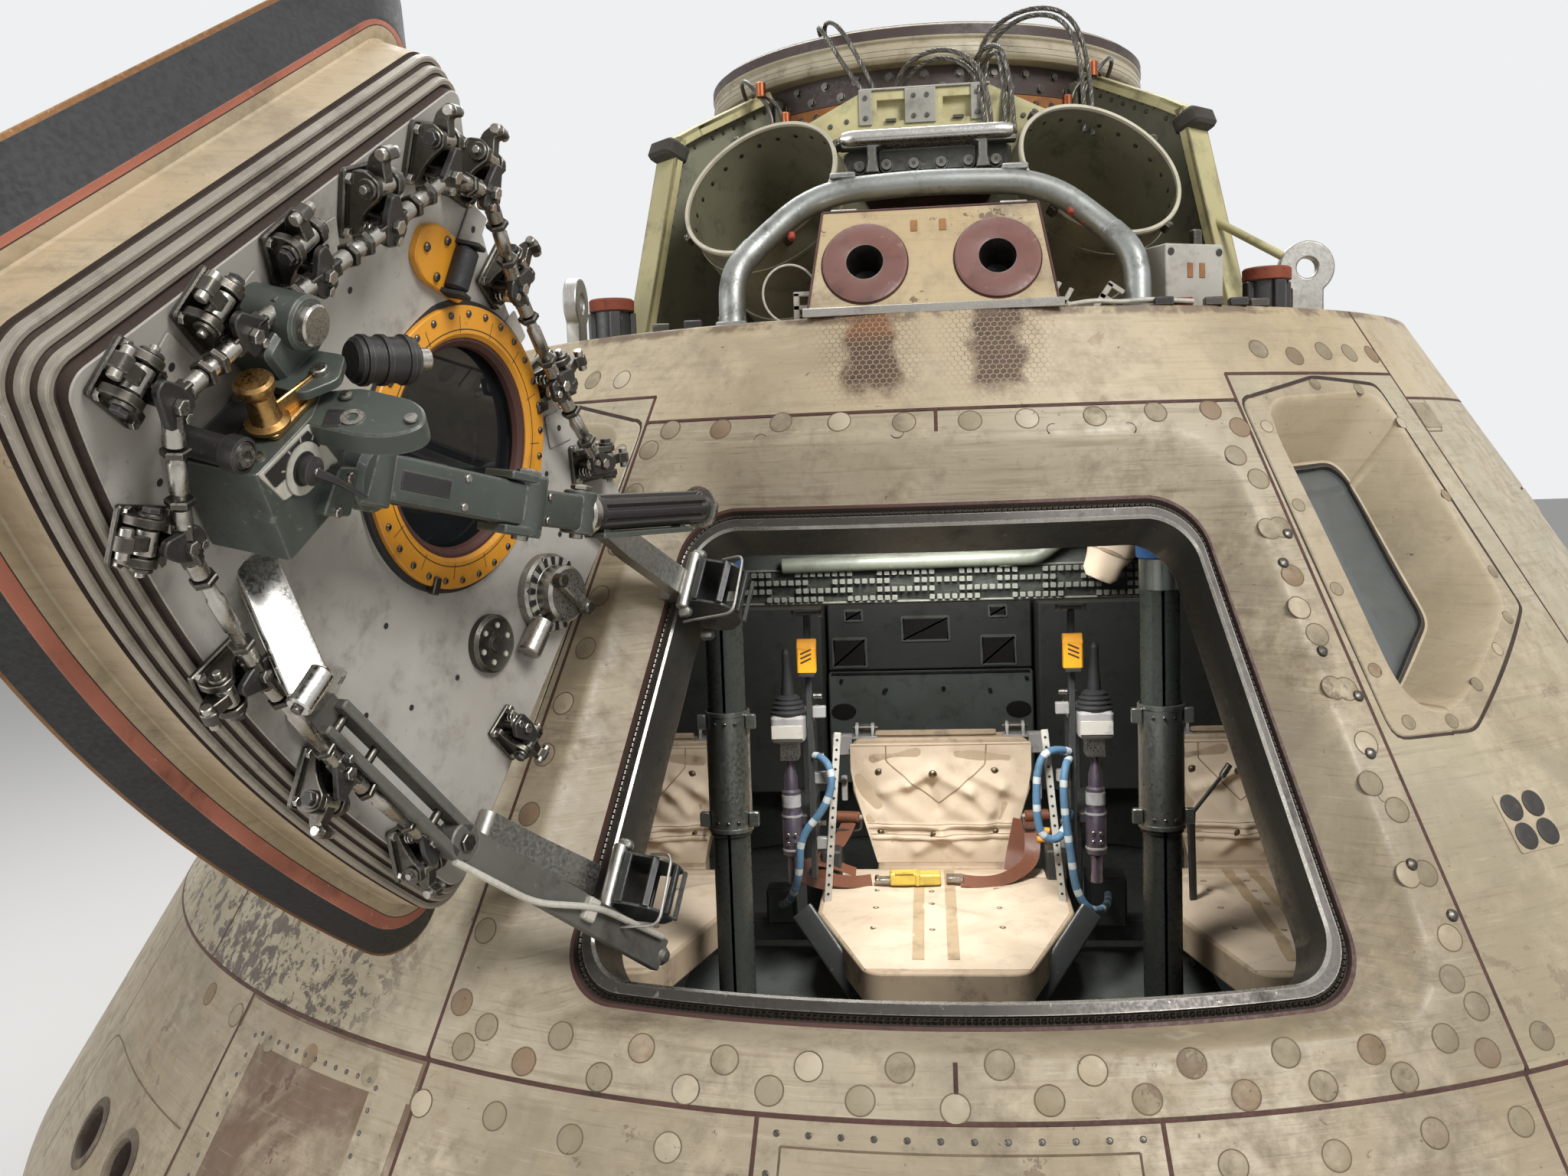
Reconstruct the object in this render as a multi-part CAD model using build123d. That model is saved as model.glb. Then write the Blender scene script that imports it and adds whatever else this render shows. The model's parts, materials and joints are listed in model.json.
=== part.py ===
"""Three-seat space capsule with its side hatch swung open, as displayed after flight.

Millimetres, +Z up, origin on the capsule's axis at the lowest point of the heat shield.
The side hatch faces -Y. An azimuth is measured in degrees from -Y towards +X.
A place on the conical wall is given by its azimuth, the height of its foot on the outer
surface, and a depth measured inwards, square to that surface.
"""
from build123d import *
from math import atan2, cos, degrees, hypot, radians, sin, sqrt, tan
import os

os.makedirs("parts", exist_ok=True)

# Driving dimensions of the outer mould line
CONE_ANGLE = 33.0          # half angle of the cone
SHIELD_RADIUS = 4694.0     # spherical aft heat shield
CORNER_RADIUS = 196.0      # torus between shield and cone
CORNER_R = 1760.0          # centre circle of the corner
CORNER_Z = 554.7
APEX_Z = 3624.7            # where the cone's sides would meet
WALL = 150.0               # whole wall: ablator, gap and pressure shell
SHIELD_WALL = 90.0
REST_R = 300.0             # flat worn on the shield where the capsule rests
SHIELD_JOINT_Z = 600.0     # joint between the aft shield and the cabin wall
LOWER_SEAM_Z = 1094.0      # ring seam under the hatch
UPPER_SEAM_Z = 1943.0      # ring seam over the hatch
WINDOW_SEAM_Z = 1985.0     # the same seam where it rises over the forward windows
DECK_Z = 2100.0            # forward deck
FLOOR_Z = 665.0
FLOOR_THICK = 40.0

# Side hatch opening, as azimuth and foot heights at the outer edge and at the seal ledge
FLARE_AZ, FLARE_LOW, FLARE_HIGH = 22.3, 1168.0, 1895.0
LEDGE_AZ, LEDGE_LOW, LEDGE_HIGH, LEDGE_DEPTH = 20.5, 1190.0, 1835.0, 60.0
THROAT_AZ, THROAT_LOW, THROAT_HIGH = 19.3, 1222.0, 1803.0
CORNER_FILLET, THROAT_FILLET = 85.0, 60.0
FRAME_AZ = 25.2            # edge of the wall panel round the opening

# Side hatch
HATCH_GAP = 8.0            # round the throat
RIM_GAP, RIM_GAP_TOP = 10.0, 16.0   # round the flared rim, at its sides and foot, and at its top
HATCH_DEPTH = 157.0
HINGE_AZ, HINGE_DEPTH = -25.0, 40.0
OPEN_ANGLE = 99.0
HINGE_FEET = (1330.0, 1715.0)   # foot heights of the two hinges

# Forward compartment
TUNNEL_R, TUNNEL_BORE = 430.0, 372.0
RING_R, RING_LOW, RING_TOP = 473.0, 2630.0, 2700.0
GUSSET_AZ = 45.0
MORTAR_R, MORTAR_WALL, MORTAR_LENGTH = 151.0, 4.0, 255.0
MORTAR_CENTRE = (303.0, -682.0, 2368.0)

C, S = cos(radians(CONE_ANGLE)), sin(radians(CONE_ANGLE))


def cone_r(z, depth=0.0):
    """Radius of the conical wall at a height, at a depth under its outer surface."""
    return (APEX_Z - z) * tan(radians(CONE_ANGLE)) - depth / C


def foot(z, depth):
    """Radius and height of the point at a depth under the foot height z."""
    return cone_r(z) - depth * C, z - depth * S


def on_wall(az, z, depth=0.0):
    """Point on the wall at an azimuth and foot height, a depth inwards."""
    r, height = foot(z, depth)
    return Vector(r * sin(radians(az)), -r * cos(radians(az)), height)


def wall_frame(az, z, depth=0.0, spin=0.0):
    """Placement with X along the wall, Y up the slope and Z straight out of the wall."""
    out = Vector(C * sin(radians(az)), -C * cos(radians(az)), S)
    along = Vector(cos(radians(az)), sin(radians(az)), 0)
    return Plane(on_wall(az, z, depth), x_dir=along, z_dir=out).location * Rot(0, 0, spin)


HATCH_MIDDLE = wall_frame(0, 1530.0)


def inner_frame(az, z, depth=HATCH_DEPTH, spin=0.0):
    """Placement with Z pointing into the cabin and Y up the slope."""
    return wall_frame(az, z, depth) * Rot(0, 180, spin)


def turned(edges, start, end):
    """Turn a closed outline in the XZ plane about Z, between two azimuths."""
    body = revolve(make_face(edges), Axis.Z, end - start)
    return Rot(0, 0, start - 90) * body


def outline(points):
    """Closed outline through (radius, height) points."""
    return Polyline([(r, 0, z) for r, z in points], close=True)


def wall_panel(start, end, low, high, thick=WALL, outer=0.0):
    """Sector of the conical wall between two heights."""
    points = [(cone_r(low, outer), low), (cone_r(high, outer), high),
              (cone_r(high, thick), high), (cone_r(low, thick), low)]
    return turned(outline(points), start, end)


def plug_outline(shape_out, shape_in, depth_out, depth_in, level, radius):
    """Rounded outline of a plug on a plane square to the hatch's middle, at a level out from the skin.

    Each corner and each edge's middle lies on the line from its place at the outer depth to its place
    at the inner depth.
    """
    back = HATCH_MIDDLE.inverse()

    def at_level(share, end):
        """Where that line meets the plane, for a share of the half azimuth and an end of the height."""
        start = (back * Pos(*on_wall(share * shape_out[0], shape_out[end], depth_out))).position
        stop = (back * Pos(*on_wall(share * shape_in[0], shape_in[end], depth_in))).position
        point = start + (stop - start) * ((level - start.Z) / (stop.Z - start.Z))
        return point.X, point.Y

    left_low, mid_low, right_low = (at_level(share, 1) for share in (-1, 0, 1))
    left_high, mid_high, right_high = (at_level(share, 2) for share in (-1, 0, 1))
    edges = [ThreePointArc(left_low, mid_low, right_low), Line(right_low, right_high),
             ThreePointArc(right_high, mid_high, left_high), Line(left_high, left_low)]
    face = make_face(edges)
    return HATCH_MIDDLE * Pos(0, 0, level) * fillet(face.vertices(), radius)


def tapered_plug(shape_out, shape_in, depth_out, depth_in, radius):
    """Block that fills an opening in the wall, its edge running from one outline to another.

    A shape is (half azimuth, low foot, high foot). The depths are those of the two outlines and of the
    block's outer and inner faces.
    """
    levels = (90.0, -350.0)
    sides = loft([plug_outline(shape_out, shape_in, depth_out, depth_in, level, radius) for level in levels],
                 ruled=True)
    low, high, reach = shape_out[1] - 200, shape_out[2] + 200, shape_out[0] + 15
    shell = [foot(low, depth_out), foot(high, depth_out), foot(high, depth_in), foot(low, depth_in)]
    return turned(outline(shell), -reach, reach) & sides


def tube(points, radius, bends):
    """Round bar along straight runs joined by arcs."""
    path = FilletPolyline(*points, radius=bends)
    start = Plane(path @ 0, z_dir=path % 0)
    return sweep(start * Circle(radius), path=path)


parts = {}
hatch = {}
UP = (Align.CENTER, Align.CENTER, Align.MIN)
DOWN = (Align.CENTER, Align.CENTER, Align.MAX)


def gathered(pieces):
    """One piece as it is, or several as a compound of their solids."""
    if len(pieces) == 1:
        return pieces[0]
    return Compound(children=[solid for piece in pieces for solid in piece.solids()])


def put(name, *pieces):
    """Keep one node made of one or more separate solids."""
    parts[name] = gathered(pieces)


def put_hatch(name, *pieces):
    """Keep a node of the hatch, drawn closed."""
    hatch[name] = gathered(pieces)


# Aft heat shield: a shallow dish with a rolled edge
shield_edge_r = CORNER_R + sqrt(CORNER_RADIUS ** 2 - (SHIELD_JOINT_Z - CORNER_Z) ** 2)
reach = SHIELD_RADIUS - CORNER_RADIUS
tangent_r = CORNER_R * SHIELD_RADIUS / reach
tangent_z = SHIELD_RADIUS - sqrt(SHIELD_RADIUS ** 2 - tangent_r ** 2)


def dish_z(r, radius=SHIELD_RADIUS):
    """Height of a sphere centred over the origin, at a radius from the axis."""
    return SHIELD_RADIUS - sqrt(radius ** 2 - r ** 2)


rest_drop = dish_z(REST_R)
rest_mid_r = (REST_R + tangent_r) / 2
rest_mid_z = dish_z(rest_mid_r) - rest_drop * (tangent_r - rest_mid_r) / (tangent_r - REST_R)
corner_mid = (CORNER_R + CORNER_RADIUS * cos(radians(-28)), CORNER_Z + CORNER_RADIUS * sin(radians(-28)))
inner_r = 1740.0
inner_sphere = SHIELD_RADIUS - SHIELD_WALL
shield_outline = [
    Line((0, 0, 0), (REST_R, 0, 0)),
    ThreePointArc((REST_R, 0, 0), (rest_mid_r, 0, rest_mid_z), (tangent_r, 0, tangent_z)),
    ThreePointArc((tangent_r, 0, tangent_z), (corner_mid[0], 0, corner_mid[1]),
                  (shield_edge_r, 0, SHIELD_JOINT_Z)),
    Line((shield_edge_r, 0, SHIELD_JOINT_Z), (shield_edge_r - SHIELD_WALL, 0, SHIELD_JOINT_Z)),
    Line((shield_edge_r - SHIELD_WALL, 0, SHIELD_JOINT_Z), (inner_r, 0, dish_z(inner_r, inner_sphere))),
    ThreePointArc((inner_r, 0, dish_z(inner_r, inner_sphere)),
                  (inner_r / 2, 0, dish_z(inner_r / 2, inner_sphere)), (0, 0, SHIELD_WALL)),
    Line((0, 0, SHIELD_WALL), (0, 0, 0)),
]
parts["aft_heat_shield"] = revolve(make_face(shield_outline), Axis.Z)

# Lower wall: rolled corner, then the cone up to the first ring seam
cone_start_z = CORNER_Z + CORNER_RADIUS * S
inner_low_z = APEX_Z - (inner_r + WALL / C) / tan(radians(CONE_ANGLE))


def lower_panel(start, end):
    """Sector of the lower wall with the rolled corner at its foot."""
    mid = radians(20)
    corner_top = (cone_r(cone_start_z), 0, cone_start_z)
    on_corner = (CORNER_R + CORNER_RADIUS * cos(mid), 0, CORNER_Z + CORNER_RADIUS * sin(mid))
    edges = [
        ThreePointArc((shield_edge_r, 0, SHIELD_JOINT_Z), on_corner, corner_top),
        Polyline(corner_top, (cone_r(LOWER_SEAM_Z), 0, LOWER_SEAM_Z),
                 (cone_r(LOWER_SEAM_Z, WALL), 0, LOWER_SEAM_Z), (inner_r, 0, inner_low_z),
                 (inner_r, 0, SHIELD_JOINT_Z), (shield_edge_r, 0, SHIELD_JOINT_Z)),
    ]
    return turned(edges, start, end)


LOWER_PANELS = (  # name, start azimuth, end azimuth
    ("lower_panel_centre", -8.3, 8.3),
    ("lower_panel_right_inner", 8.3, 25.0),
    ("lower_panel_left_inner", -25.0, -8.3),
    ("lower_panel_left_bare", -40.0, -25.0),
    ("lower_panel_right", 25.0, 85.0),
    ("lower_panel_left", -85.0, -40.0),
    ("lower_panel_rear_right", 85.0, 180.0),
    ("lower_panel_rear_left", -180.0, -85.0),
)
for name, start, end in LOWER_PANELS:
    parts[name] = lower_panel(start, end)

# Roll thruster ports sunk in the lower wall
PORTS = (  # node, azimuth, foot, radius, depth
    ("lower_panel_left", -50.7, 810.0, 42.0, 110.0),
    ("lower_panel_left", -45.0, 826.0, 38.0, 90.0),
    ("lower_panel_right", 50.7, 810.0, 42.0, 110.0),
    ("lower_panel_right", 45.0, 826.0, 38.0, 90.0),
)
for node, az, z, radius, depth in PORTS:
    parts[node] -= wall_frame(az, z, depth) * Cylinder(radius, depth + 60, align=UP)

# Cabin floor over the aft shield
parts["cabin_floor"] = Pos(0, 0, FLOOR_Z) * Cylinder(inner_r, FLOOR_THICK, align=DOWN)

# Middle wall between the ring seams
WINDOW_END_AZ, SIDE_END_AZ = 47.0, 100.0
MIDDLE_PANELS = (  # name, start azimuth, end azimuth, top
    ("hatch_frame", -FRAME_AZ, FRAME_AZ, UPPER_SEAM_Z),
    ("window_wall_right", FRAME_AZ, WINDOW_END_AZ, WINDOW_SEAM_Z),
    ("window_wall_left", -WINDOW_END_AZ, -FRAME_AZ, WINDOW_SEAM_Z),
    ("side_wall_right", WINDOW_END_AZ, SIDE_END_AZ, UPPER_SEAM_Z),
    ("side_wall_left", -SIDE_END_AZ, -WINDOW_END_AZ, UPPER_SEAM_Z),
    ("rear_wall_right", SIDE_END_AZ, 180.0, UPPER_SEAM_Z),
    ("rear_wall_left", -180.0, -SIDE_END_AZ, UPPER_SEAM_Z),
)
for name, start, end, top in MIDDLE_PANELS:
    parts[name] = wall_panel(start, end, LOWER_SEAM_Z, top)

# Side hatch opening: a flare down to the seal ledge, then the throat
flare = (FLARE_AZ, FLARE_LOW, FLARE_HIGH)
ledge = (LEDGE_AZ, LEDGE_LOW, LEDGE_HIGH)
throat = (THROAT_AZ, THROAT_LOW, THROAT_HIGH)
outside = tuple(f + (f - s) * 0.5 for f, s in zip(flare, ledge))
parts["hatch_frame"] -= tapered_plug(outside, ledge, -LEDGE_DEPTH / 2, LEDGE_DEPTH, CORNER_FILLET)
parts["hatch_frame"] -= tapered_plug(throat, throat, LEDGE_DEPTH - 5, WALL + 30, THROAT_FILLET)


def inset(shape, gap, top_gap):
    """The opening's shape drawn in by a gap at its sides and foot, and by another at its top."""
    az, low, high = shape
    return az - degrees(gap / cone_r(1500)), low + gap * C, high - top_gap * C


# Windows: tapered reveals with the pane at their bottom
WINDOW_PLANE_Z = 1720.0
FORWARD_WINDOW = ((28.0, 1937.0), (42.9, 1948.0), (41.9, 1618.0), (31.3, 1492.0), (28.2, 1500.0))
SIDE_WINDOW_AZ, SIDE_WINDOW_Z, SIDE_WINDOW_WIDE = 72.0, 1590.0, 330.0
REVEAL_SCALE = 0.80
PANE_DEPTH, PANE_THICK = 118.0, 12.0


def window_cut(place, corners, radius):
    """Tapered reveal and straight hole for a window drawn on the wall's tangent plane, and its pane."""
    face = make_face(Polyline([(x, y) for x, y in corners], close=True))
    centre = face.center()
    face = Pos(-centre.X, -centre.Y) * face
    place = place * Pos(centre.X, centre.Y)
    wide = fillet(face.vertices(), radius)
    narrow = scale(wide, by=(REVEAL_SCALE, REVEAL_SCALE, 1))
    outer = scale(wide, by=(1.06, 1.06, 1))
    reveal = loft([Pos(0, 0, 40) * outer, Pos(0, 0, -PANE_DEPTH + 10) * narrow], ruled=True)
    hole = extrude(Pos(0, 0, -WALL - 60) * narrow, amount=WALL + 60 - PANE_DEPTH + 12)
    pane = extrude(Pos(0, 0, -PANE_DEPTH) * scale(narrow, by=(0.998, 0.998, 1)), amount=-PANE_THICK)
    return place * (reveal + hole), place * pane


def flat_corners(corners, place):
    """Corners given on the wall, as X and Y of a tangent plane."""
    back = place.inverse()
    return [((back * Pos(*on_wall(az, z))).position.X, (back * Pos(*on_wall(az, z))).position.Y)
            for az, z in corners]


panes = []
for side, sign in (("right", 1), ("left", -1)):
    place = wall_frame(sign * 35.3, WINDOW_PLANE_Z)
    corners = flat_corners([(sign * az, z) for az, z in FORWARD_WINDOW], place)
    cut, pane = window_cut(place, corners, 42.0)
    parts[f"window_wall_{side}"] -= cut
    panes.append(pane)
    place = wall_frame(sign * SIDE_WINDOW_AZ, SIDE_WINDOW_Z)
    half = SIDE_WINDOW_WIDE / 2
    cut, pane = window_cut(place, [(-half, -half), (half, -half), (half, half), (-half, half)], 45.0)
    parts[f"side_wall_{side}"] -= cut
    panes.append(pane)
put("window_panes", *panes)

# Forward deck, cut into four sectors that carry the band over the upper seam
DECK_THICK = 50.0


def deck_sector(start, end, low):
    """Sector of the deck and of the wall band below its edge."""
    deck_low = DECK_Z - DECK_THICK
    points = [(cone_r(low), low), (cone_r(DECK_Z), DECK_Z), (TUNNEL_R, DECK_Z), (TUNNEL_R, deck_low),
              (cone_r(deck_low, WALL), deck_low), (cone_r(low, WALL), low)]
    return turned(outline(points), start, end)


def fused(pieces):
    """Join pieces into one solid."""
    body = pieces[0]
    for piece in pieces[1:]:
        body += piece
    return body


parts["deck_front"] = fused([deck_sector(-FRAME_AZ, FRAME_AZ, UPPER_SEAM_Z),
                             deck_sector(FRAME_AZ, WINDOW_END_AZ, WINDOW_SEAM_Z),
                             deck_sector(-WINDOW_END_AZ, -FRAME_AZ, WINDOW_SEAM_Z)])
parts["deck_right"] = deck_sector(WINDOW_END_AZ, 135, UPPER_SEAM_Z)
parts["deck_left"] = deck_sector(-135, -WINDOW_END_AZ, UPPER_SEAM_Z)
parts["deck_rear"] = deck_sector(135, 225, UPPER_SEAM_Z)

# Tunnel with its top ring
TUNNEL_LOW = 1990.0
parts["tunnel"] = turned(outline([(TUNNEL_BORE, TUNNEL_LOW), (TUNNEL_R, TUNNEL_LOW), (TUNNEL_R, RING_LOW),
                                  (TUNNEL_BORE, RING_LOW)]), 0, 360)
RING_PROFILE = (  # radius, height: chamfers and a groove round the middle
    (TUNNEL_BORE, RING_LOW), (RING_R - 6, RING_LOW), (RING_R, RING_LOW + 8), (RING_R, RING_LOW + 30),
    (RING_R - 5, RING_LOW + 34), (RING_R - 5, RING_LOW + 38), (RING_R, RING_LOW + 42), (RING_R, RING_TOP - 6),
    (RING_R - 8, RING_TOP), (TUNNEL_BORE, RING_TOP),
)
parts["top_ring"] = turned(outline(RING_PROFILE), 0, 360)
# Forward hatch, a dished plug that closes the foot of the tunnel
plug = turned(outline([(0, 2000), (330, 2000), (TUNNEL_BORE, 2014), (TUNNEL_BORE, 2040), (330, 2052),
                       (0, 2070)]), 0, 360)
parts["forward_hatch"] = plug + Pos(0, 0, 2065) * (Cylinder(60, 50) + Pos(0, 0, 20) * Box(260, 30, 24))

# Four gussets: a web with a wide cap along its sloping edge
GUSSET_PROFILE = ((TUNNEL_R, 2100), (800, 2100), (700, 2500), (655, 2525), (473, 2615), (TUNNEL_R, 2615))
WEB_THICK, CAP_WIDE, CAP_THICK = 10.0, 64.0, 8.0
above_deck = Pos(0, 0, DECK_Z) * Box(2000, 2000, 900, align=UP)


def gusset(az):
    """Web between the tunnel and the forward cone, with a cap strip on its outer edge."""
    web = extrude(make_face(outline(GUSSET_PROFILE)), WEB_THICK / 2, both=True)
    caps = []
    for (r0, z0), (r1, z1) in zip(GUSSET_PROFILE[1:4], GUSSET_PROFILE[2:5]):
        run = Vector(r1 - r0, 0, z1 - z0)
        side = Plane(((r0 + r1) / 2, 0, (z0 + z1) / 2), x_dir=run.normalized(), z_dir=(0, 1, 0))
        caps.append(side.location * Box(run.length + CAP_THICK, CAP_THICK, CAP_WIDE))
    return Rot(0, 0, az - 90) * (fused([web] + caps) & above_deck)


put("gussets", *[gusset(az) for az in (GUSSET_AZ, -GUSSET_AZ, 180 - GUSSET_AZ, GUSSET_AZ - 180)])

# Two mortar tubes that fire square to the cone, open at the mouth, each on a saddle
SADDLE_X, SADDLE_Y, SADDLE_SIZE = 225.0, -540.0, (130.0, 110.0, 110.0)
MORTAR_AZ = degrees(atan2(MORTAR_CENTRE[0], -MORTAR_CENTRE[1]))


def mortar_place(sign):
    """Placement of a mortar's mouth, Z along its axis."""
    x, y, z = MORTAR_CENTRE
    az = radians(MORTAR_AZ)
    return Plane((sign * x, y, z), z_dir=(sign * C * sin(az), -C * cos(az), S)).location


cans = []
for sign in (1, -1):
    place = mortar_place(sign)
    can = Cylinder(MORTAR_R, MORTAR_LENGTH, align=DOWN)
    bore = Cylinder(MORTAR_R - MORTAR_WALL, MORTAR_LENGTH - 25, align=DOWN)
    saddle = Pos(sign * SADDLE_X, SADDLE_Y, DECK_Z) * Box(*SADDLE_SIZE, align=UP)
    cans.append(place * (can - bore) + (saddle - place * can))
put("mortars", *cans)

# Pitch thruster housing with two nozzle rings
PANEL_LOW, PANEL_HIGH, PANEL_SINK = 2100.0, 2283.0, 12.0
NOZZLE_X, NOZZLE_Z, NOZZLE_OUT, NOZZLE_HOLE = 107.0, 2188.0, 62.0, 31.0
panel_front = -cone_r(PANEL_LOW) + PANEL_SINK
panel_rise = PANEL_HIGH - PANEL_LOW
panel_back = panel_front + panel_rise * tan(radians(CONE_ANGLE)) + 70
PANEL_DEEP = 70.0
side_view = make_face(Polyline([(0, panel_front, PANEL_LOW), (0, panel_back, PANEL_LOW),
                                (0, panel_back, PANEL_HIGH), (0, panel_back - PANEL_DEEP, PANEL_HIGH)],
                               close=True))
front_view = make_face(Polyline([(-200, 0, PANEL_LOW), (200, 0, PANEL_LOW), (178, 0, PANEL_HIGH),
                                 (-178, 0, PANEL_HIGH)], close=True))
panel = extrude(side_view, 300, both=True) & extrude(front_view, 1500, both=True)
rings = []
for sign in (1, -1):
    mouth = Plane((sign * NOZZLE_X, -cone_r(NOZZLE_Z) + PANEL_SINK, NOZZLE_Z), x_dir=(1, 0, 0),
                  z_dir=(0, -C, S)).location
    seat = Cylinder(NOZZLE_OUT - 8, 60, align=DOWN)
    panel -= mouth * seat
    cone_hole = Pos(0, 0, 14) * Cone(20, NOZZLE_HOLE + 4, 66, align=DOWN)
    lip = chamfer(Cylinder(NOZZLE_OUT, 12, align=UP).edges().group_by(Axis.Z)[-1], 3)
    rings.append(mouth * (lip + seat - cone_hole))
put("thruster_panel", panel)
put("thruster_nozzles", *rings)

# Grab rail over the thruster housing
RAIL_R = 17.0
RAIL_POINTS = [(-330, -888, 2101), (-309, -811, 2236), (-190, -786, 2336), (0, -794, 2342), (190, -786, 2336),
               (309, -811, 2236), (330, -888, 2101)]
RAIL_FOOT_R, RAIL_FOOT = 30.0, 8.0
feet = [Pos(x, y, DECK_Z) * Cylinder(RAIL_FOOT_R, RAIL_FOOT, align=UP) for x, y, _ in RAIL_POINTS[::6]]
put("grab_rail", fused([tube(RAIL_POINTS, RAIL_R, [60, 70, 400, 70, 60]) & above_deck] + feet))

# Bracket with a looped bar on a bolted base, and the channel that carries it off the tunnel
LOOP_HALF, LOOP_R, LOOP_BEND = 125.0, 13.0, 28.0
BASE_Y, BASE_Z, BASE_SIZE = -628.0, 2448.0, (300.0, 30.0, 60.0)
LOOP_BOLTS, BOLT_STEP, BOLT_R = 6, 50.0, 13.0
bar_points = [(-LOOP_HALF, -640, 2470), (-LOOP_HALF, -700, 2470), (LOOP_HALF, -700, 2470),
              (LOOP_HALF, -640, 2470)]
loop = tube(bar_points, LOOP_R, [LOOP_BEND, LOOP_BEND])
base = Pos(0, BASE_Y, BASE_Z) * Box(*BASE_SIZE)
bolts = [Pos(-LOOP_HALF + BOLT_STEP * i, BASE_Y - 18, 2436) * Rot(90, 0, 0) * Cylinder(BOLT_R, 14)
         for i in range(LOOP_BOLTS)]
put("loop_bracket", fused([loop, base] + bolts))
CHANNEL = ((-240, 2440), (-240, 2478), (-115, 2540), (115, 2540), (240, 2478), (240, 2440), (150, 2415),
           (-150, 2415))
channel = make_face(Polyline([(x, BASE_Y + BASE_SIZE[1] / 2, z) for x, z in CHANNEL], close=True))
channel = extrude(channel, amount=300, dir=(0, 1, 0)) - Cylinder(TUNNEL_R, 6000)
for x in (-58, 62):
    channel -= Pos(x, BASE_Y, 2505) * Box(62, 60, 38)
for sign in (1, -1):
    channel -= mortar_place(sign) * Cylinder(MORTAR_R + 2, 800)
put("deck_channel", channel.solids().sort_by(SortBy.VOLUME)[-1])

# Deck fittings: leg sockets of the escape tower, lifting eyes, and an equipment box
SOCKET_AZ, SOCKET_RADIUS = 38.0, 930.0
sockets = []
for az in (SOCKET_AZ, -SOCKET_AZ, 180 - SOCKET_AZ, SOCKET_AZ - 180):
    base = Pos(SOCKET_RADIUS * sin(radians(az)), -SOCKET_RADIUS * cos(radians(az)), DECK_Z)
    cup = Cylinder(32, 50, align=UP) + Pos(0, 0, 50) * Cylinder(38, 22, align=UP)
    sockets.append(base * (cup - Pos(0, 0, 30) * Cylinder(24, 60, align=UP)))
put("leg_sockets", *sockets)
EYE_AZ, EYE_RADIUS, EYE_OUT, EYE_HOLE, EYE_Z, EYE_THICK = 45.5, 925.0, 47.0, 18.0, 2180.0, 26.0
eyes = []
for sign in (1, -1):
    az = radians(sign * EYE_AZ)
    place = Pos(EYE_RADIUS * sin(az), -EYE_RADIUS * cos(az), 0) * Rot(0, 0, 0 if sign > 0 else 90)
    eye = Pos(0, 0, EYE_Z) * Rot(90, 0, 0) * Cylinder(EYE_OUT, EYE_THICK)
    stem = Pos(0, 0, DECK_Z) * Box(56, EYE_THICK, EYE_Z - DECK_Z, align=UP)
    eyes.append(place * (eye + stem - Pos(0, 0, EYE_Z) * Rot(90, 0, 0) * Cylinder(EYE_HOLE, 60)))
put("lifting_eyes", *eyes)
put("deck_box", Pos(412, -800, DECK_Z) * Rot(0, 0, 27) * Box(115, 90, 105, align=UP))

# Cabin: couches on their frame, crew struts, arm rests with hand controls, console, duct, equipment bay
COUCH_Z, COUCH_THICK = 880.0, 70.0
HEAD_Y, SHOULDER_Y, SEAT_Y, SEAT_THICK = -620.0, -260.0, 60.0, 70.0
HEAD_SHARE, SEAT_HIGH, SEAT_TOP_SHARE, SEAT_FOOT_SHARE = 0.56, 390.0, 0.76, 0.56
BAY_R, BAY_TOP = 1130.0, 1450.0


def couch(x, wide):
    """Back pan lying flat and narrowing to the head, and a seat pan standing at its foot."""
    half, head = wide / 2, wide / 2 * HEAD_SHARE
    back = make_face(Polyline((-half, SEAT_Y), (-half, SHOULDER_Y), (-head, HEAD_Y), (head, HEAD_Y),
                              (half, SHOULDER_Y), (half, SEAT_Y), close=True))
    back = extrude(fillet(back.vertices().sort_by(Axis.Y)[:4], 50), -COUCH_THICK)
    top, foot = half * SEAT_TOP_SHARE, half * SEAT_FOOT_SHARE
    front = make_face(Polyline((-foot, -COUCH_THICK), (foot, -COUCH_THICK), (foot, 20),
                               (top, SEAT_HIGH / 2), (top, SEAT_HIGH - COUCH_THICK),
                               (-top, SEAT_HIGH - COUCH_THICK), (-top, SEAT_HIGH / 2), (-foot, 20),
                               close=True))
    front = fillet(front.vertices().sort_by(Axis.Y)[-2:], 24)
    seat = Pos(0, SEAT_Y, 0) * Rot(90, 0, 0) * extrude(front, -SEAT_THICK)
    return Pos(x, 0, COUCH_Z) * (back + seat)


COUCH_WIDE, SIDE_COUCH_X, SIDE_COUCH_WIDE = 560.0, 705.0, 440.0
put("couch_centre", couch(0, COUCH_WIDE))
put("couches_side", couch(SIDE_COUCH_X, SIDE_COUCH_WIDE), couch(-SIDE_COUCH_X, SIDE_COUCH_WIDE))
BEAM_Y = (-560.0, 90.0)
BEAM_TOP = COUCH_Z - COUCH_THICK - 60
RAIL_X = [couch_x + side for couch_x in (-SIDE_COUCH_X, 0.0, SIDE_COUCH_X) for side in (-110.0, 110.0)]
rails = [Pos(x, -240, COUCH_Z - COUCH_THICK) * Box(60, 760, 60, align=DOWN) for x in RAIL_X]
cross = [Pos(0, y, BEAM_TOP) * Box(1700, 60, 50, align=DOWN) for y in BEAM_Y]
posts = [Pos(x, y, FLOOR_Z) * Box(50, 50, BEAM_TOP - 50 - FLOOR_Z, align=UP)
         for x in (-600, 0, 600) for y in BEAM_Y]
put("couch_frame", fused(rails + cross + posts))
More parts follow.
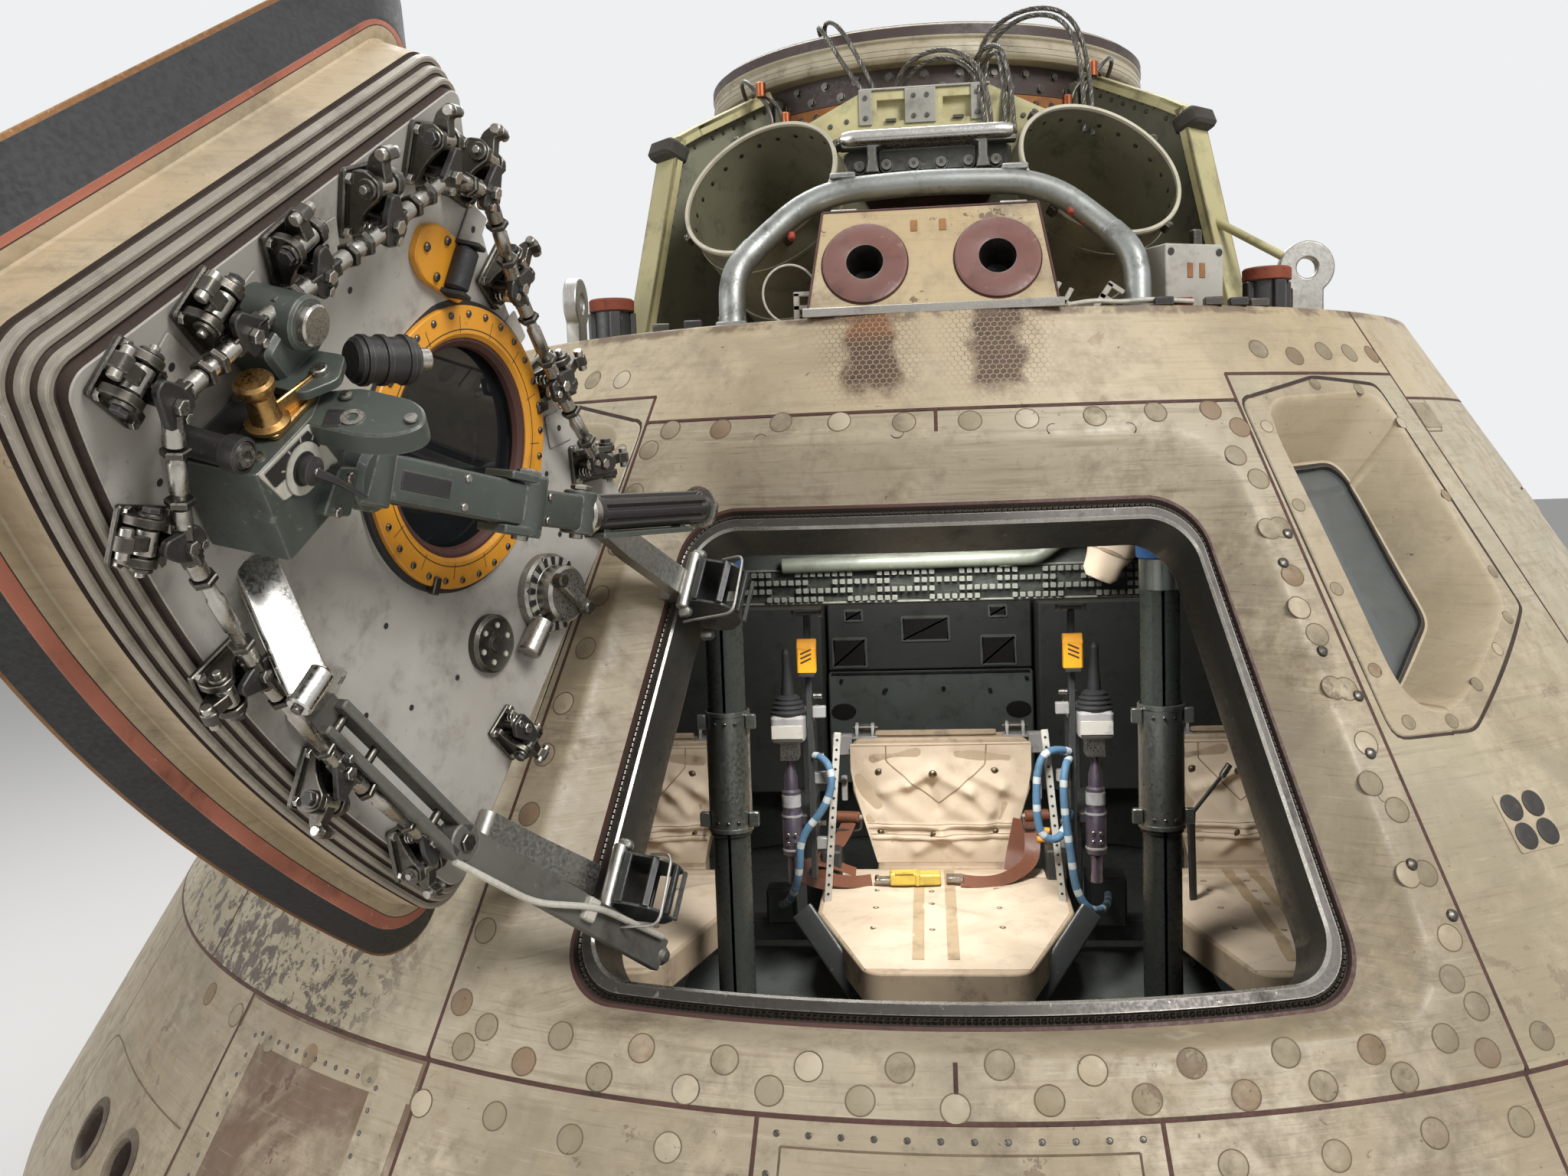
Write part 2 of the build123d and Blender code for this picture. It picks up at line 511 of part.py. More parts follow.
STRUT_X, STRUT_Y, STRUT_R, STRUT_TOP = 430.0, -480.0, 38.0, 1790.0
SLEEVE_LOW, SLEEVE_HIGH, SLEEVE_R = 1120.0, 1330.0, 42.0
struts = []
for sign in (1, -1):
    leg = Cylinder(STRUT_R, STRUT_TOP - FLOOR_Z, align=UP)
    sleeve = Pos(0, 0, SLEEVE_LOW - FLOOR_Z) * Cylinder(SLEEVE_R, SLEEVE_HIGH - SLEEVE_LOW, align=UP)
    struts.append(Pos(sign * STRUT_X, STRUT_Y, FLOOR_Z) * (leg + sleeve))
put("struts", *struts)
ARM_POST, ARM_GRIP, ARM_MAST = (315.0, 90.0), (336.0, -190.0), (290.0, -170.0)
DAMPER = ((13.0, 925.0, 990.0), (21.0, 990.0, 1090.0), (15.0, 1090.0, 1210.0))  # radius, foot, top
GRIP_BODY_Z, GRIP_BODY_HIGH, MAST_LOW, MAST_TOP = 1250.0, 65.0, 930.0, 1545.0


def arm_rest(sign):
    """Upright arm rest: post off the beam, mast with a switch box, and a hand control over its damper."""
    (post_x, post_y), (grip_x, grip_y), (mast_x, mast_y) = ARM_POST, ARM_GRIP, ARM_MAST
    arms = [Pos(sign * (post_x + 5), (post_y + grip_y) / 2 + 15, z) * Box(56, post_y - grip_y - 20, 26)
            for z in (1060.0, GRIP_BODY_Z + 20)]
    body = [
        Pos(sign * post_x, post_y, BEAM_TOP) * Box(40, 50, GRIP_BODY_Z + 50 - BEAM_TOP, align=UP),
        Pos(sign * mast_x, mast_y, MAST_LOW) * Box(16, 30, MAST_TOP - MAST_LOW, align=UP),
        Pos(sign * mast_x, mast_y, MAST_TOP - 12) * Rot(0, 90, 0) * Cylinder(5, 66),
        Pos(sign * mast_x, mast_y - 30, 1410) * Box(42, 34, 72, align=UP),
        Pos(sign * grip_x, grip_y, GRIP_BODY_Z) * Box(78, 84, GRIP_BODY_HIGH, align=UP),
        Pos(sign * grip_x, grip_y, GRIP_BODY_Z - 42) * Box(46, 52, 46, align=UP),
        Pos(sign * grip_x, grip_y, GRIP_BODY_Z + GRIP_BODY_HIGH) * Cone(38, 24, 34, align=UP),
        Pos(sign * grip_x, grip_y, GRIP_BODY_Z + GRIP_BODY_HIGH + 20) * Rot(-8, 0, 0)
        * Cone(17, 10, 112, align=UP),
    ]
    damper = [Pos(sign * grip_x, grip_y, low) * Cylinder(radius, top - low, align=UP)
              for radius, low, top in DAMPER]
    return fused(arms + body + damper)


put("arm_rests", arm_rest(1), arm_rest(-1))
bay = [(cone_r(FLOOR_Z, WALL + 6), FLOOR_Z), (cone_r(BAY_TOP, WALL + 6), BAY_TOP),
       (BAY_R, BAY_TOP), (BAY_R, FLOOR_Z)]
put("equipment_bay", turned(outline(bay), 140, 220))
CONSOLE_HALF = 650.0
CONSOLE = ((-250, 1560), (-330, 1572), (-338, 1640), (-318, 1690), (-262, 1815), (-190, 1815), (-190, 1560))
console = extrude(make_face(Polyline([(0, y, z) for y, z in CONSOLE], close=True)), CONSOLE_HALF, both=True)
put("display_console", console)
DUCT_R = 16.0
DUCT_POINTS = [(-320, -354, 1655), (205, -354, 1660), (265, -350, 1702), (360, -345, 1706)]
duct = tube(DUCT_POINTS, DUCT_R, [60, 60])
clips = [Pos(x, -340, 1656) * Box(24, 40, 26) for x in (-260, -60, 140)]
put("duct", fused([duct] + clips) - console)

# Side hatch, modelled closed and then swung open about its hinge line
gap_flare, gap_ledge = (inset(shape, RIM_GAP, RIM_GAP_TOP) for shape in (flare, ledge))
gap_throat = inset(throat, HATCH_GAP, HATCH_GAP)
SHIELD_DEPTH = LEDGE_DEPTH - HATCH_GAP
hatch["hatch_shield"] = tapered_plug(gap_flare, gap_ledge, 0, SHIELD_DEPTH, CORNER_FILLET)
hatch["hatch_panel"] = tapered_plug(gap_throat, gap_throat, SHIELD_DEPTH, HATCH_DEPTH, THROAT_FILLET - 10)

# Round window through the hatch, with its flange ring
HATCH_WINDOW = (-1.5, 1610.0)
RING_OUT, GLASS_R, RING_THICK = 172.0, 130.0, 12.0
ring_face = Pos(0, 0, 6)
bore = wall_frame(*HATCH_WINDOW) * Cylinder(GLASS_R, 500)
inner = inner_frame(*HATCH_WINDOW) * ring_face
hatch["hatch_shield"] -= bore
hatch["hatch_panel"] -= bore
hatch["hatch_panel"] -= inner * Cylinder(RING_OUT + 6, 60, align=UP)
seat = Cylinder(RING_OUT, RING_THICK, align=UP) - Cylinder(GLASS_R, 60)
hatch["hatch_window_ring"] = inner * seat
hatch["hatch_glass"] = inner_frame(*HATCH_WINDOW) * Pos(0, 0, -70) * Cylinder(GLASS_R - 0.3, 14)


def bar_place(start, end, up):
    """Placement at a bar's start with Z along it and Y as near to a given direction as it can be."""
    run = end - start
    return Plane(start, x_dir=up.cross(run), z_dir=run).location


def between(start, end, section, up=Vector(0.1, 0.2, 1)):
    """Bar with a given section from one point to another."""
    return bar_place(start, end, up) * extrude(section, amount=(end - start).length)


# Latches round the edge of the hatch, joined by a chain of push rods
LATCHES = (  # azimuth, foot, size
    (-12.5, 1750.0, 1.04), (-4.5, 1760.0, 1.12), (4.5, 1760.0, 1.08), (12.5, 1750.0, 1.12),
    (15.6, 1690.0, 1.08), (15.9, 1590.0, 1.12), (16.2, 1490.0, 1.08), (16.4, 1390.0, 1.10),
    (16.2, 1300.0, 1.12), (10.5, 1262.0, 1.08), (2.5, 1260.0, 1.06), (-5.5, 1260.0, 1.10),
    (-13.0, 1264.0, 1.08), (-16.3, 1430.0, 0.96),
)
LATCH_MIDDLE, LATCH_LIFT = 1510.0, 1.5
LINKED = 12                # rods join this many latches, from the hinge side of the top edge
CHEEK = ((-25, 4), (24, 4), (33, 10), (34, 24), (27, 36), (14, 37), (2, 26), (-12, 18), (-25, 14))
DOG = ((6, 14), (22, 12), (32, 14), (36, 24), (33, 34), (26, 34), (12, 32))
CRANK = ((-12, -30), (10, -32), (20, -18), (12, -2), (4, 16), (-8, 16), (-14, -4))
CHEEK_X, CHEEK_THICK, DOG_THICK = 16.5, 8.0, 13.0
ROLLER_R, ROLLER_Y, ROLLER_Z = 8.8, 20.0, 26.0
POST_R, POST_Y, POST_HIGH, CRANK_Z, CRANK_THICK = 6.2, -12.0, 49.0, 36.0, 7.0
ROD_R, ROD_Z, SLEEVE_SHARE = 6.8, 28.0, 0.3


def side_plate(points, thick, x=0.0):
    """Plate whose outline lies in the YZ plane, centred at X."""
    return Pos(x, 0, 0) * extrude(make_face(Polyline([(0, y, z) for y, z in points], close=True)), thick / 2,
                                  both=True)


def make_latch():
    """Base, two cheeks, the roller and the dog between them, and the crank that the rods turn."""
    base = Pos(0, 2, 0) * Box(52, 62, 6, align=UP)
    cheeks = [side_plate(CHEEK, CHEEK_THICK, x) for x in (-CHEEK_X, CHEEK_X)]
    roller = Pos(0, ROLLER_Y, ROLLER_Z) * Rot(0, 90, 0) * Cylinder(ROLLER_R, 2 * CHEEK_X + 18)
    post = Pos(0, POST_Y, 0) * Cylinder(POST_R, POST_HIGH, align=UP)
    crank = Pos(0, 0, CRANK_Z) * extrude(make_face(Polyline(*CRANK, close=True)), CRANK_THICK)
    return fused([base, *cheeks, roller, side_plate(DOG, DOG_THICK), post, crank])


one_latch = make_latch()
latches, rods, knuckles = [], [], []
for az, z, size in LATCHES:
    spin = degrees(atan2((z - LATCH_MIDDLE) / C, -radians(az) * cone_r(z))) - 90
    place = inner_frame(az, z, HATCH_DEPTH, spin) * Pos(0, 0, LATCH_LIFT)
    latches.append(place * scale(one_latch, by=size))
    knuckles.append((place * Pos(0, POST_Y * size, ROD_Z * size)).position)
put_hatch("hatch_latches", *latches)
for start, end in zip(knuckles[:LINKED], knuckles[1:]):
    run = (end - start).normalized() * (POST_R - 0.5)
    middle, sleeve = (start + end) / 2, (end - start) * (SLEEVE_SHARE / 2)
    rods.append(between(start + run, end - run, Circle(ROD_R))
                + between(middle - sleeve, middle + sleeve, Circle(ROD_R * 1.28)))
put_hatch("hatch_rods", *rods)

# Latch gearbox: faceted case, round cover, square based knob, dial and motor
GEAR = ((-120, -60), (-60, -95), (90, -80), (130, -20), (110, 70), (20, 100), (-100, 60))
GEAR_HIGH, GEAR_TAPER = 78.0, 8.0
gear_place = inner_frame(10.5, 1415.0, HATCH_DEPTH + 4, 20)
case = extrude(make_face(Polyline(*GEAR, close=True)), GEAR_HIGH, taper=GEAR_TAPER)
cover = Cylinder(62, 36, align=UP)
cover = Pos(-52, 6, 70) * chamfer(cover.edges().group_by(Axis.Z)[-1], 8)
knob = Pos(46, 10, 70) * (Box(56, 56, 17, align=UP) + Cylinder(20, 55, align=UP)
                          + Pos(0, 0, 43) * Cylinder(24, 12, align=UP))
dial = Pos(-15, 62, 60) * Cylinder(44, 24, align=UP)
motor = Pos(85, 40, 48) * Rot(0, 78, 0) * Cylinder(28, 85, align=UP)
put_hatch("hatch_gearbox", gear_place * fused([case, cover, knob, dial, motor]))

# Pump handle: two cranked arms with barrel joints, and a fluted grip under a flat plate
ARM_ROOT, ARM_MID = on_wall(6.5, 1440.0, 235.0), on_wall(-2.5, 1560.0, 285.0)
GRIP_ROOT, GRIP_END = on_wall(-8.0, 1625.0, 285.0), on_wall(-19.0, 1755.0, 285.0)
ARM_UP = on_wall(-2.5, 1560.0, 100.0) - on_wall(-2.5, 1560.0, 0.0)
GRIP_R, FLUTES, FLUTE_R = 23.5, 8, 5.0
lower_arm = between(ARM_ROOT, ARM_MID, RectangleRounded(50, 34, 6), ARM_UP)
upper_arm = between(ARM_MID, GRIP_ROOT, RectangleRounded(44, 30, 6), ARM_UP)
barrels = [bar_place(start, end, ARM_UP) * Pos(0, 0, at) * Rot(0, 90, 0) * Cylinder(radius, wide)
           for start, end, at, radius, wide in (
               (ARM_ROOT, ARM_MID, 6, 25, 64),
               (ARM_MID, ARM_ROOT, 6, 24, 82),
               (GRIP_ROOT, ARM_MID, 22, 21, 54),
           )]
root_stem = Cylinder(26, 60, align=UP) + Pos(0, 0, 43) * Cylinder(38, 30, align=UP)
root_stem = inner_frame(6.5, 1440.0, 180.0) * root_stem
grip_section = Circle(GRIP_R)
for i in range(FLUTES):
    grip_section -= Rot(0, 0, 360 / FLUTES * i) * Pos(GRIP_R, 0) * Circle(FLUTE_R)
run = (GRIP_END - GRIP_ROOT).normalized()
grip_long = (GRIP_END - GRIP_ROOT).length
grip = [between(GRIP_ROOT, GRIP_END, grip_section, ARM_UP),
        between(GRIP_END, GRIP_END + run * 10, Circle(30)),
        between(GRIP_END + run * 10, GRIP_END + run * 45, Circle(8)),
        between(GRIP_ROOT - run * 14, GRIP_ROOT, Circle(27))]
on_grip = bar_place(GRIP_ROOT, GRIP_END, ARM_UP)
top_plate = [on_grip * Pos(0, 31, grip_long * 0.46) * Box(34, 7, grip_long * 0.8),
             on_grip * Pos(0, 25, grip_long * 0.14) * Box(18, 10, 12),
             on_grip * Pos(0, 25, grip_long * 0.80) * Box(18, 10, 12)]
handle = fused([lower_arm, upper_arm, root_stem] + barrels + grip + top_plate)
put_hatch("pump_handle", handle)

# Pressure valve with its dial, a blank disc, the window's bracket and a V-shaped bracket
valve = fused([Cylinder(54, 17, align=UP), Pos(0, 0, 17) * Cylinder(38, 27, align=UP),
               Pos(0, 0, 44) * Box(76, 14, 14, align=UP),
               Pos(0, -44, 20) * Rot(90, 0, 0) * Cylinder(16, 50, align=UP)])
disc = inner_frame(-12.0, 1495.0) * Cylinder(38, 16, align=UP)
put_hatch("pressure_valve", inner_frame(-14.5, 1590.0) * valve, disc)
plate = Box(120, 62, 10, align=UP) + Pos(20, 0, 10) * Rot(90, 0, 0) * Cylinder(14, 50)
put_hatch("window_bracket", inner_frame(8.8, 1690.0, HATCH_DEPTH, 35) * plate)
V_FEET = ((5.0, 1345.0), (-3.5, 1335.0))
V_TIP = on_wall(1.5, 1275.0, 245.0)
VEE_WIDE, VEE_THICK = 46.0, 12.0
vee_up = on_wall(0, 1345.0) - on_wall(0, 1275.0)
vee = [between(on_wall(*place, HATCH_DEPTH), V_TIP, Rectangle(VEE_THICK, VEE_WIDE), vee_up)
       for place in V_FEET]
knuckle = bar_place(V_TIP - vee_up.normalized() * (VEE_WIDE / 2), V_TIP, ARM_UP)
knuckle = knuckle * Cylinder(14, VEE_WIDE, align=UP)
put_hatch("vee_bracket", fused(vee + [knuckle]))

# Hinges: goose-neck arms on the hatch turn on pins in pockets behind the jamb
PIN_R, PIN_PLAY, ARM_WIDE, POCKET_WIDE = 9.0, 0.06, 40.0, 62.0
ARM_OPEN = ((0, 0), (42, -22), (112, -26), (130, -4), (111, 115), (109, 205))
POCKET = ((-68, -190), (-68, -40), (-34, 26), (56, 26), (76, 4), (152, 4), (152, -190))
arms, pins, pockets = [], [], []
for z in HINGE_FEET:
    place = wall_frame(HINGE_AZ, z, HINGE_DEPTH) * Rot(90, 0, 0)
    pieces = [extrude(Circle(18), ARM_WIDE / 2, both=True)]
    for (x0, y0), (x1, y1) in zip(ARM_OPEN, ARM_OPEN[1:]):
        long = hypot(x1 - x0, y1 - y0)
        turn = degrees(atan2(y1 - y0, x1 - x0))
        bar = Pos((x0 + x1) / 2, (y0 + y1) / 2) * Rot(0, 0, turn) * SlotCenterToCenter(long, 24)
        pieces.append(extrude(bar, ARM_WIDE / 2, both=True))
    neck = fused(pieces) - Cylinder(PIN_R + PIN_PLAY, 200)
    arms.append(place * neck)
    boss = Cylinder(16, POCKET_WIDE) - Cylinder(40, ARM_WIDE + 2)
    pins.append(place * (Cylinder(PIN_R, POCKET_WIDE) + boss))
    pockets.append(place * extrude(make_face(Polyline(*POCKET, close=True)), POCKET_WIDE / 2, both=True))
for pocket in pockets:
    for name in ("hatch_frame", "window_wall_left"):
        parts[name] -= pocket
put("hinge_pins", *pins)
put("hinge_arms", *arms)

# Stay: twin rails on the hatch and a flat bar, open at its hull end
STAY_WIDE, STAY_THICK, RAIL_APART, RAIL_WIDE = 44.0, 18.0, 34.0, 12.0
hinge_foot = on_wall(HINGE_AZ, HINGE_FEET[0], HINGE_DEPTH)
hinge_dir = on_wall(HINGE_AZ, HINGE_FEET[1], HINGE_DEPTH) - hinge_foot
hinge_line = Axis(hinge_foot, hinge_dir)
stay_end = Vertex(*on_wall(-16.2, 1262.0, 118.0)).rotate(hinge_line, OPEN_ANGLE)
stay_end = Vector(stay_end.X, stay_end.Y, stay_end.Z)
RAIL_START, STAY_BEND = on_wall(-3.0, 1300.0, HATCH_DEPTH + 30), on_wall(-14.0, 1285.0, HATCH_DEPTH + 52)
stay_up = on_wall(-8.0, 1290.0, 100.0) - on_wall(-8.0, 1290.0, 0.0)
on_rails = bar_place(RAIL_START, STAY_BEND, stay_up)
rails_long = (STAY_BEND - RAIL_START).length
twin = [on_rails * Pos(x, 0, 0) * Box(RAIL_WIDE, 30, rails_long, align=UP)
        for x in (-RAIL_APART / 2, RAIL_APART / 2)]
bend = on_rails * Pos(0, 0, rails_long)
eyes = [bend * Rot(90, 0, 0) * Cylinder(24, 30), Pos(*stay_end) * Sphere(14)]
flat_bar = between(STAY_BEND, stay_end, RectangleRounded(STAY_WIDE, STAY_THICK, 5), stay_up)
foot_block = between(on_wall(-3.0, 1300.0, HATCH_DEPTH), RAIL_START, Rectangle(46, 50), vee_up)
put_hatch("stay_bar", fused(twin + eyes + [flat_bar, foot_block]))

# Fittings of the hatch are cut to sit against what carries them
SEATED = (  # node, what it sits against
    ("hatch_latches", ("hatch_panel", "hatch_window_ring")),
    ("hatch_gearbox", ("hatch_panel", "hatch_window_ring", "hatch_latches")),
    ("pressure_valve", ("hatch_panel", "hatch_latches")),
    ("window_bracket", ("hatch_panel", "hatch_window_ring", "hatch_latches")),
    ("pump_handle", ("hatch_gearbox",)),
    ("vee_bracket", ("hatch_panel", "hatch_latches")),
    ("stay_bar", ("hatch_panel", "hatch_latches", "vee_bracket")),
    ("hatch_rods", ("hatch_latches", "hatch_gearbox", "pressure_valve", "vee_bracket", "stay_bar",
                    "hatch_panel")),
)
for name, supports in SEATED:
    pieces = []
    for solid in hatch[name].solids():
        for support in supports:
            for block in hatch[support].solids():
                if solid.bounding_box().overlaps(block.bounding_box()):
                    solid = solid - block
        pieces += solid.solids()
    put_hatch(name, *pieces)

for name, piece in hatch.items():
    put(name, piece.rotate(hinge_line, -OPEN_ANGLE))

arms = [(arm - parts["hatch_panel"]).solids().sort_by(SortBy.VOLUME)[-1] for arm in arms]
parts["hinge_arms"] = Compound(children=arms)

print("hinge at", [round(v / 1000, 5) for v in hinge_foot])
print("hinge axis", [round(v, 5) for v in hinge_dir.normalized()])
for name, piece in parts.items():
    solids = piece.solids()
    export_step(Compound(children=list(solids)) if len(solids) > 1 else solids[0], f"parts/{name}.step")
print(len(parts), "nodes")
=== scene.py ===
# %% [markdown]
# A three-seat space capsule that has flown and landed: a blunt cone with a scorched heat shield below, a
# deck full of recovery gear above, and a side hatch that stands wide open. The solids come from the packed
# CAD model. This lesson dresses them: each skin, band and fitting is a surface worked out with numpy, in
# metres, in the same frame as the solids.

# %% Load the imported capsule
import json
import math

import bmesh
import bpy
import numpy as np
from mathutils import Matrix

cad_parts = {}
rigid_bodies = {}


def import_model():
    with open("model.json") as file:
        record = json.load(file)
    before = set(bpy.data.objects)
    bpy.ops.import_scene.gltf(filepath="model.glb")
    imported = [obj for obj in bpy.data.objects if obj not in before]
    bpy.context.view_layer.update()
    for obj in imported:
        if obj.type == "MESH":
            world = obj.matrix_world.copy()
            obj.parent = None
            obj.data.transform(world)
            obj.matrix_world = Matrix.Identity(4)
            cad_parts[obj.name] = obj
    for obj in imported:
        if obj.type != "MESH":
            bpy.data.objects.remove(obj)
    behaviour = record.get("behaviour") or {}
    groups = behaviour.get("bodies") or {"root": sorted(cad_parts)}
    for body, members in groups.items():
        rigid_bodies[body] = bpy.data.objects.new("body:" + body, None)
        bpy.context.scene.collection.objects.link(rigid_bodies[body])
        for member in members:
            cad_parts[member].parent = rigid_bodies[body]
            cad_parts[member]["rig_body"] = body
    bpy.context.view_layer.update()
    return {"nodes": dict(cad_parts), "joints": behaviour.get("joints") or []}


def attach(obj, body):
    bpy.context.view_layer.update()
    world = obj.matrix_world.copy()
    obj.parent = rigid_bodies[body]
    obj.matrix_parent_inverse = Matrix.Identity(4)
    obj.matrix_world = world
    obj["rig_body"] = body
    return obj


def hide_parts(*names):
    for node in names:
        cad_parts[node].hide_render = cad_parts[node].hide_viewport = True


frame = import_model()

random = np.random.default_rng(7)

# %% [markdown]
# Nearly everything sits on one cone, so the first helper answers one question: where is the point at this
# azimuth, at this height on the outer skin, and this deep in the wall? Azimuth runs in degrees from -Y,
# where the hatch is, towards +X. With that, a bolt circle or a seam is a short list of angles and heights.

# %% Places on the conical wall
CONE = math.radians(33)
APEX = 3.6247
WALL = 0.150
C, S, T = math.cos(CONE), math.sin(CONE), math.tan(CONE)


def cone_r(z):
    """Radius of the wall: the drop from the cone's tip times tan 33 degrees."""
    return (APEX - z) * T


def on_wall(azimuth, foot, depth=0.0):
    """Points on the cone. The radius is that of the foot less depth times cos 33, the height is the foot's
    less depth times sin 33, because a depth is measured square to the wall."""
    angle, z, d = np.broadcast_arrays(np.radians(azimuth), foot, depth)
    r = cone_r(z) - d * C
    return np.stack([r * np.sin(angle), -r * np.cos(angle), z - d * S], -1)


def placed(x, y, z, origin):
    """Four by four matrix whose columns are three directions and an origin."""
    made = np.eye(4)
    made[:3, 0], made[:3, 1], made[:3, 2], made[:3, 3] = x, y, z, origin
    return made


def turn(axis, degrees):
    """Four by four matrix that turns about X, Y or Z."""
    return np.array(Matrix.Rotation(math.radians(degrees), 4, axis))


def move(x, y=0.0, z=0.0):
    """Four by four matrix that shifts."""
    return np.array(Matrix.Translation((x, y, z)))


def stretch(x, y, z):
    """Four by four matrix that scales along the three axes."""
    return np.diag([x, y, z, 1.0])


def wall_matrix(azimuth, foot, depth=0.0, spin=0.0):
    """Placement on the wall: X runs along it, Y up the slope and Z straight out."""
    sine, cosine = math.sin(math.radians(azimuth)), math.cos(math.radians(azimuth))
    return placed((cosine, sine, 0), (-S * sine, S * cosine, C), (C * sine, -C * cosine, S),
                  on_wall(azimuth, foot, depth)) @ turn("Z", spin)


HATCH_DEPTH = 0.157


def inner_matrix(azimuth, foot, depth=HATCH_DEPTH, spin=0.0):
    """Placement on the hatch's inner face: Z points into the cabin and Y up the slope."""
    return wall_matrix(azimuth, foot, depth) @ turn("Y", 180) @ turn("Z", spin)


def swing(angle=-99.0):
    """The hatch's own turn about its hinge line, from closed to open."""
    joint = frame["joints"][0]
    place = Matrix.Translation(joint["pos_m"])
    return np.array(place @ Matrix.Rotation(math.radians(angle), 4, joint["axis"]) @ place.inverted())


OPEN = swing()
print("radius at the hatch's middle:", round(float(cone_r(1.55)), 3), "m")

# %% [markdown]
# The camera comes before the shapes, so that every piece can be judged where it will be seen. Its place was
# found by fitting the capsule's known outline to the photograph: it stands about 1.9 m up and less than two
# metres from the hatch, which is why the lens is wide and the open hatch looms so large.

# %% Camera at the photograph's angle
PHOTO_WIDE = 2048
FOCAL_PIXELS = 1775.3
camera_data = bpy.data.cameras.new("camera")
camera = bpy.data.objects.new("camera", camera_data)
bpy.context.scene.collection.objects.link(camera)
camera_data.sensor_width = 36.0
camera_data.lens = camera_data.sensor_width * FOCAL_PIXELS / PHOTO_WIDE
camera_data.clip_start, camera_data.clip_end = 0.05, 200.0
yaw, pitch, roll = np.radians([-6.10, -5.23, -2.02])
forward = np.array([math.sin(yaw) * math.cos(pitch), math.cos(yaw) * math.cos(pitch), math.sin(pitch)])
level = np.array([math.cos(yaw), -math.sin(yaw), 0.0])
upright = np.cross(level, forward)
CAMERA_PLACE = (-0.017, -3.176, 1.869)
look = placed(math.cos(roll) * level + math.sin(roll) * upright,
              -math.sin(roll) * level + math.cos(roll) * upright, -forward, CAMERA_PLACE)
camera.matrix_world = Matrix(look)
bpy.context.scene.camera = camera
bpy.context.scene.view_settings.view_transform = "Standard"
print("lens:", round(camera_data.lens, 2), "mm")

# %% [markdown]
# Plain studio light: one broad lamp from the upper right, where the photograph has its brightest spots, a
# weaker one from the left, and an even glow from the world. The world looks white to the camera and to
# glossy rays, but lights the object only softly.

# %% Floor, lamps and world


def lamp(name, place, target, size, power):
    """Square area lamp that faces a point."""
    data = bpy.data.lights.new(name, "AREA")
    data.size, data.energy = size, power
    made = bpy.data.objects.new(name, data)
    bpy.context.scene.collection.objects.link(made)
    aim = Matrix.Translation(place).to_translation() - Matrix.Translation(target).to_translation()
    made.matrix_world = Matrix.Translation(place) @ aim.to_track_quat("Z", "Y").to_matrix().to_4x4()
    return made


LAMPS = (  # name, place, target, size, power
    ("key", (3.2, -5.0, 6.0), (0.0, -0.6, 1.5), 2.4, 420.0),
    ("fill", (-5.5, -4.5, 3.0), (-0.4, -0.8, 1.5), 4.0, 150.0),
    ("top", (-1.0, 2.5, 6.5), (0.0, 0.0, 2.0), 3.5, 200.0),
    ("rear", (1.0, 7.0, 4.0), (0.0, 0.0, 1.2), 5.0, 230.0),
)
for row in LAMPS:
    lamp(*row)

WORLD_LIGHT, WORLD_SEEN = 0.42, 1.0
world = bpy.data.worlds.new("studio")
bpy.context.scene.world = world
world.use_nodes = True
world_nodes, world_links = world.node_tree.nodes, world.node_tree.links
background = world_nodes["Background"]
background.inputs["Color"].default_value = (0.86, 0.87, 0.88, 1)
path = world_nodes.new("ShaderNodeLightPath")
seen = world_nodes.new("ShaderNodeMath")
seen.operation = "MAXIMUM"
world_links.new(path.outputs["Is Camera Ray"], seen.inputs[0])
world_links.new(path.outputs["Is Transmission Ray"], seen.inputs[1])
seen_glossy = world_nodes.new("ShaderNodeMath")
seen_glossy.operation = "MAXIMUM"
world_links.new(seen.outputs[0], seen_glossy.inputs[0])
world_links.new(path.outputs["Is Glossy Ray"], seen_glossy.inputs[1])
strength = world_nodes.new("ShaderNodeMapRange")
world_links.new(seen_glossy.outputs[0], strength.inputs["Value"])
strength.inputs["To Min"].default_value = WORLD_LIGHT
strength.inputs["To Max"].default_value = WORLD_SEEN
world_links.new(strength.outputs[0], background.inputs["Strength"])

floor_mesh = bpy.data.meshes.new("floor")
FLOOR_HALF = 40.0
floor_mesh.from_pydata([(-FLOOR_HALF, -FLOOR_HALF, 0), (FLOOR_HALF, -FLOOR_HALF, 0),
                        (FLOOR_HALF, FLOOR_HALF, 0), (-FLOOR_HALF, FLOOR_HALF, 0)], [], [(0, 1, 2, 3)])
floor = bpy.data.objects.new("floor", floor_mesh)
bpy.context.scene.collection.objects.link(floor)
floor_finish = bpy.data.materials.new("studio floor")
floor_finish.use_nodes = True
floor_finish.node_tree.nodes["Principled BSDF"].inputs["Base Color"].default_value = (0.72, 0.71, 0.69, 1)
floor_finish.node_tree.nodes["Principled BSDF"].inputs["Roughness"].default_value = 0.85
floor_mesh.materials.append(floor_finish)
print("lamps:", [row[0] for row in LAMPS])

# %% [markdown]
# A shape is a table of points and a few tables of faces, each with the number of its finish. Shapes can be
# placed, repeated and added up before anything becomes a Blender object, so a latch with forty parts, or two
# hundred bolts, still ends as one joined mesh.

# %% Shapes as plain arrays


def unit(vectors):
    """Each vector over its own length."""
    return vectors / np.linalg.norm(vectors, axis=-1, keepdims=True)


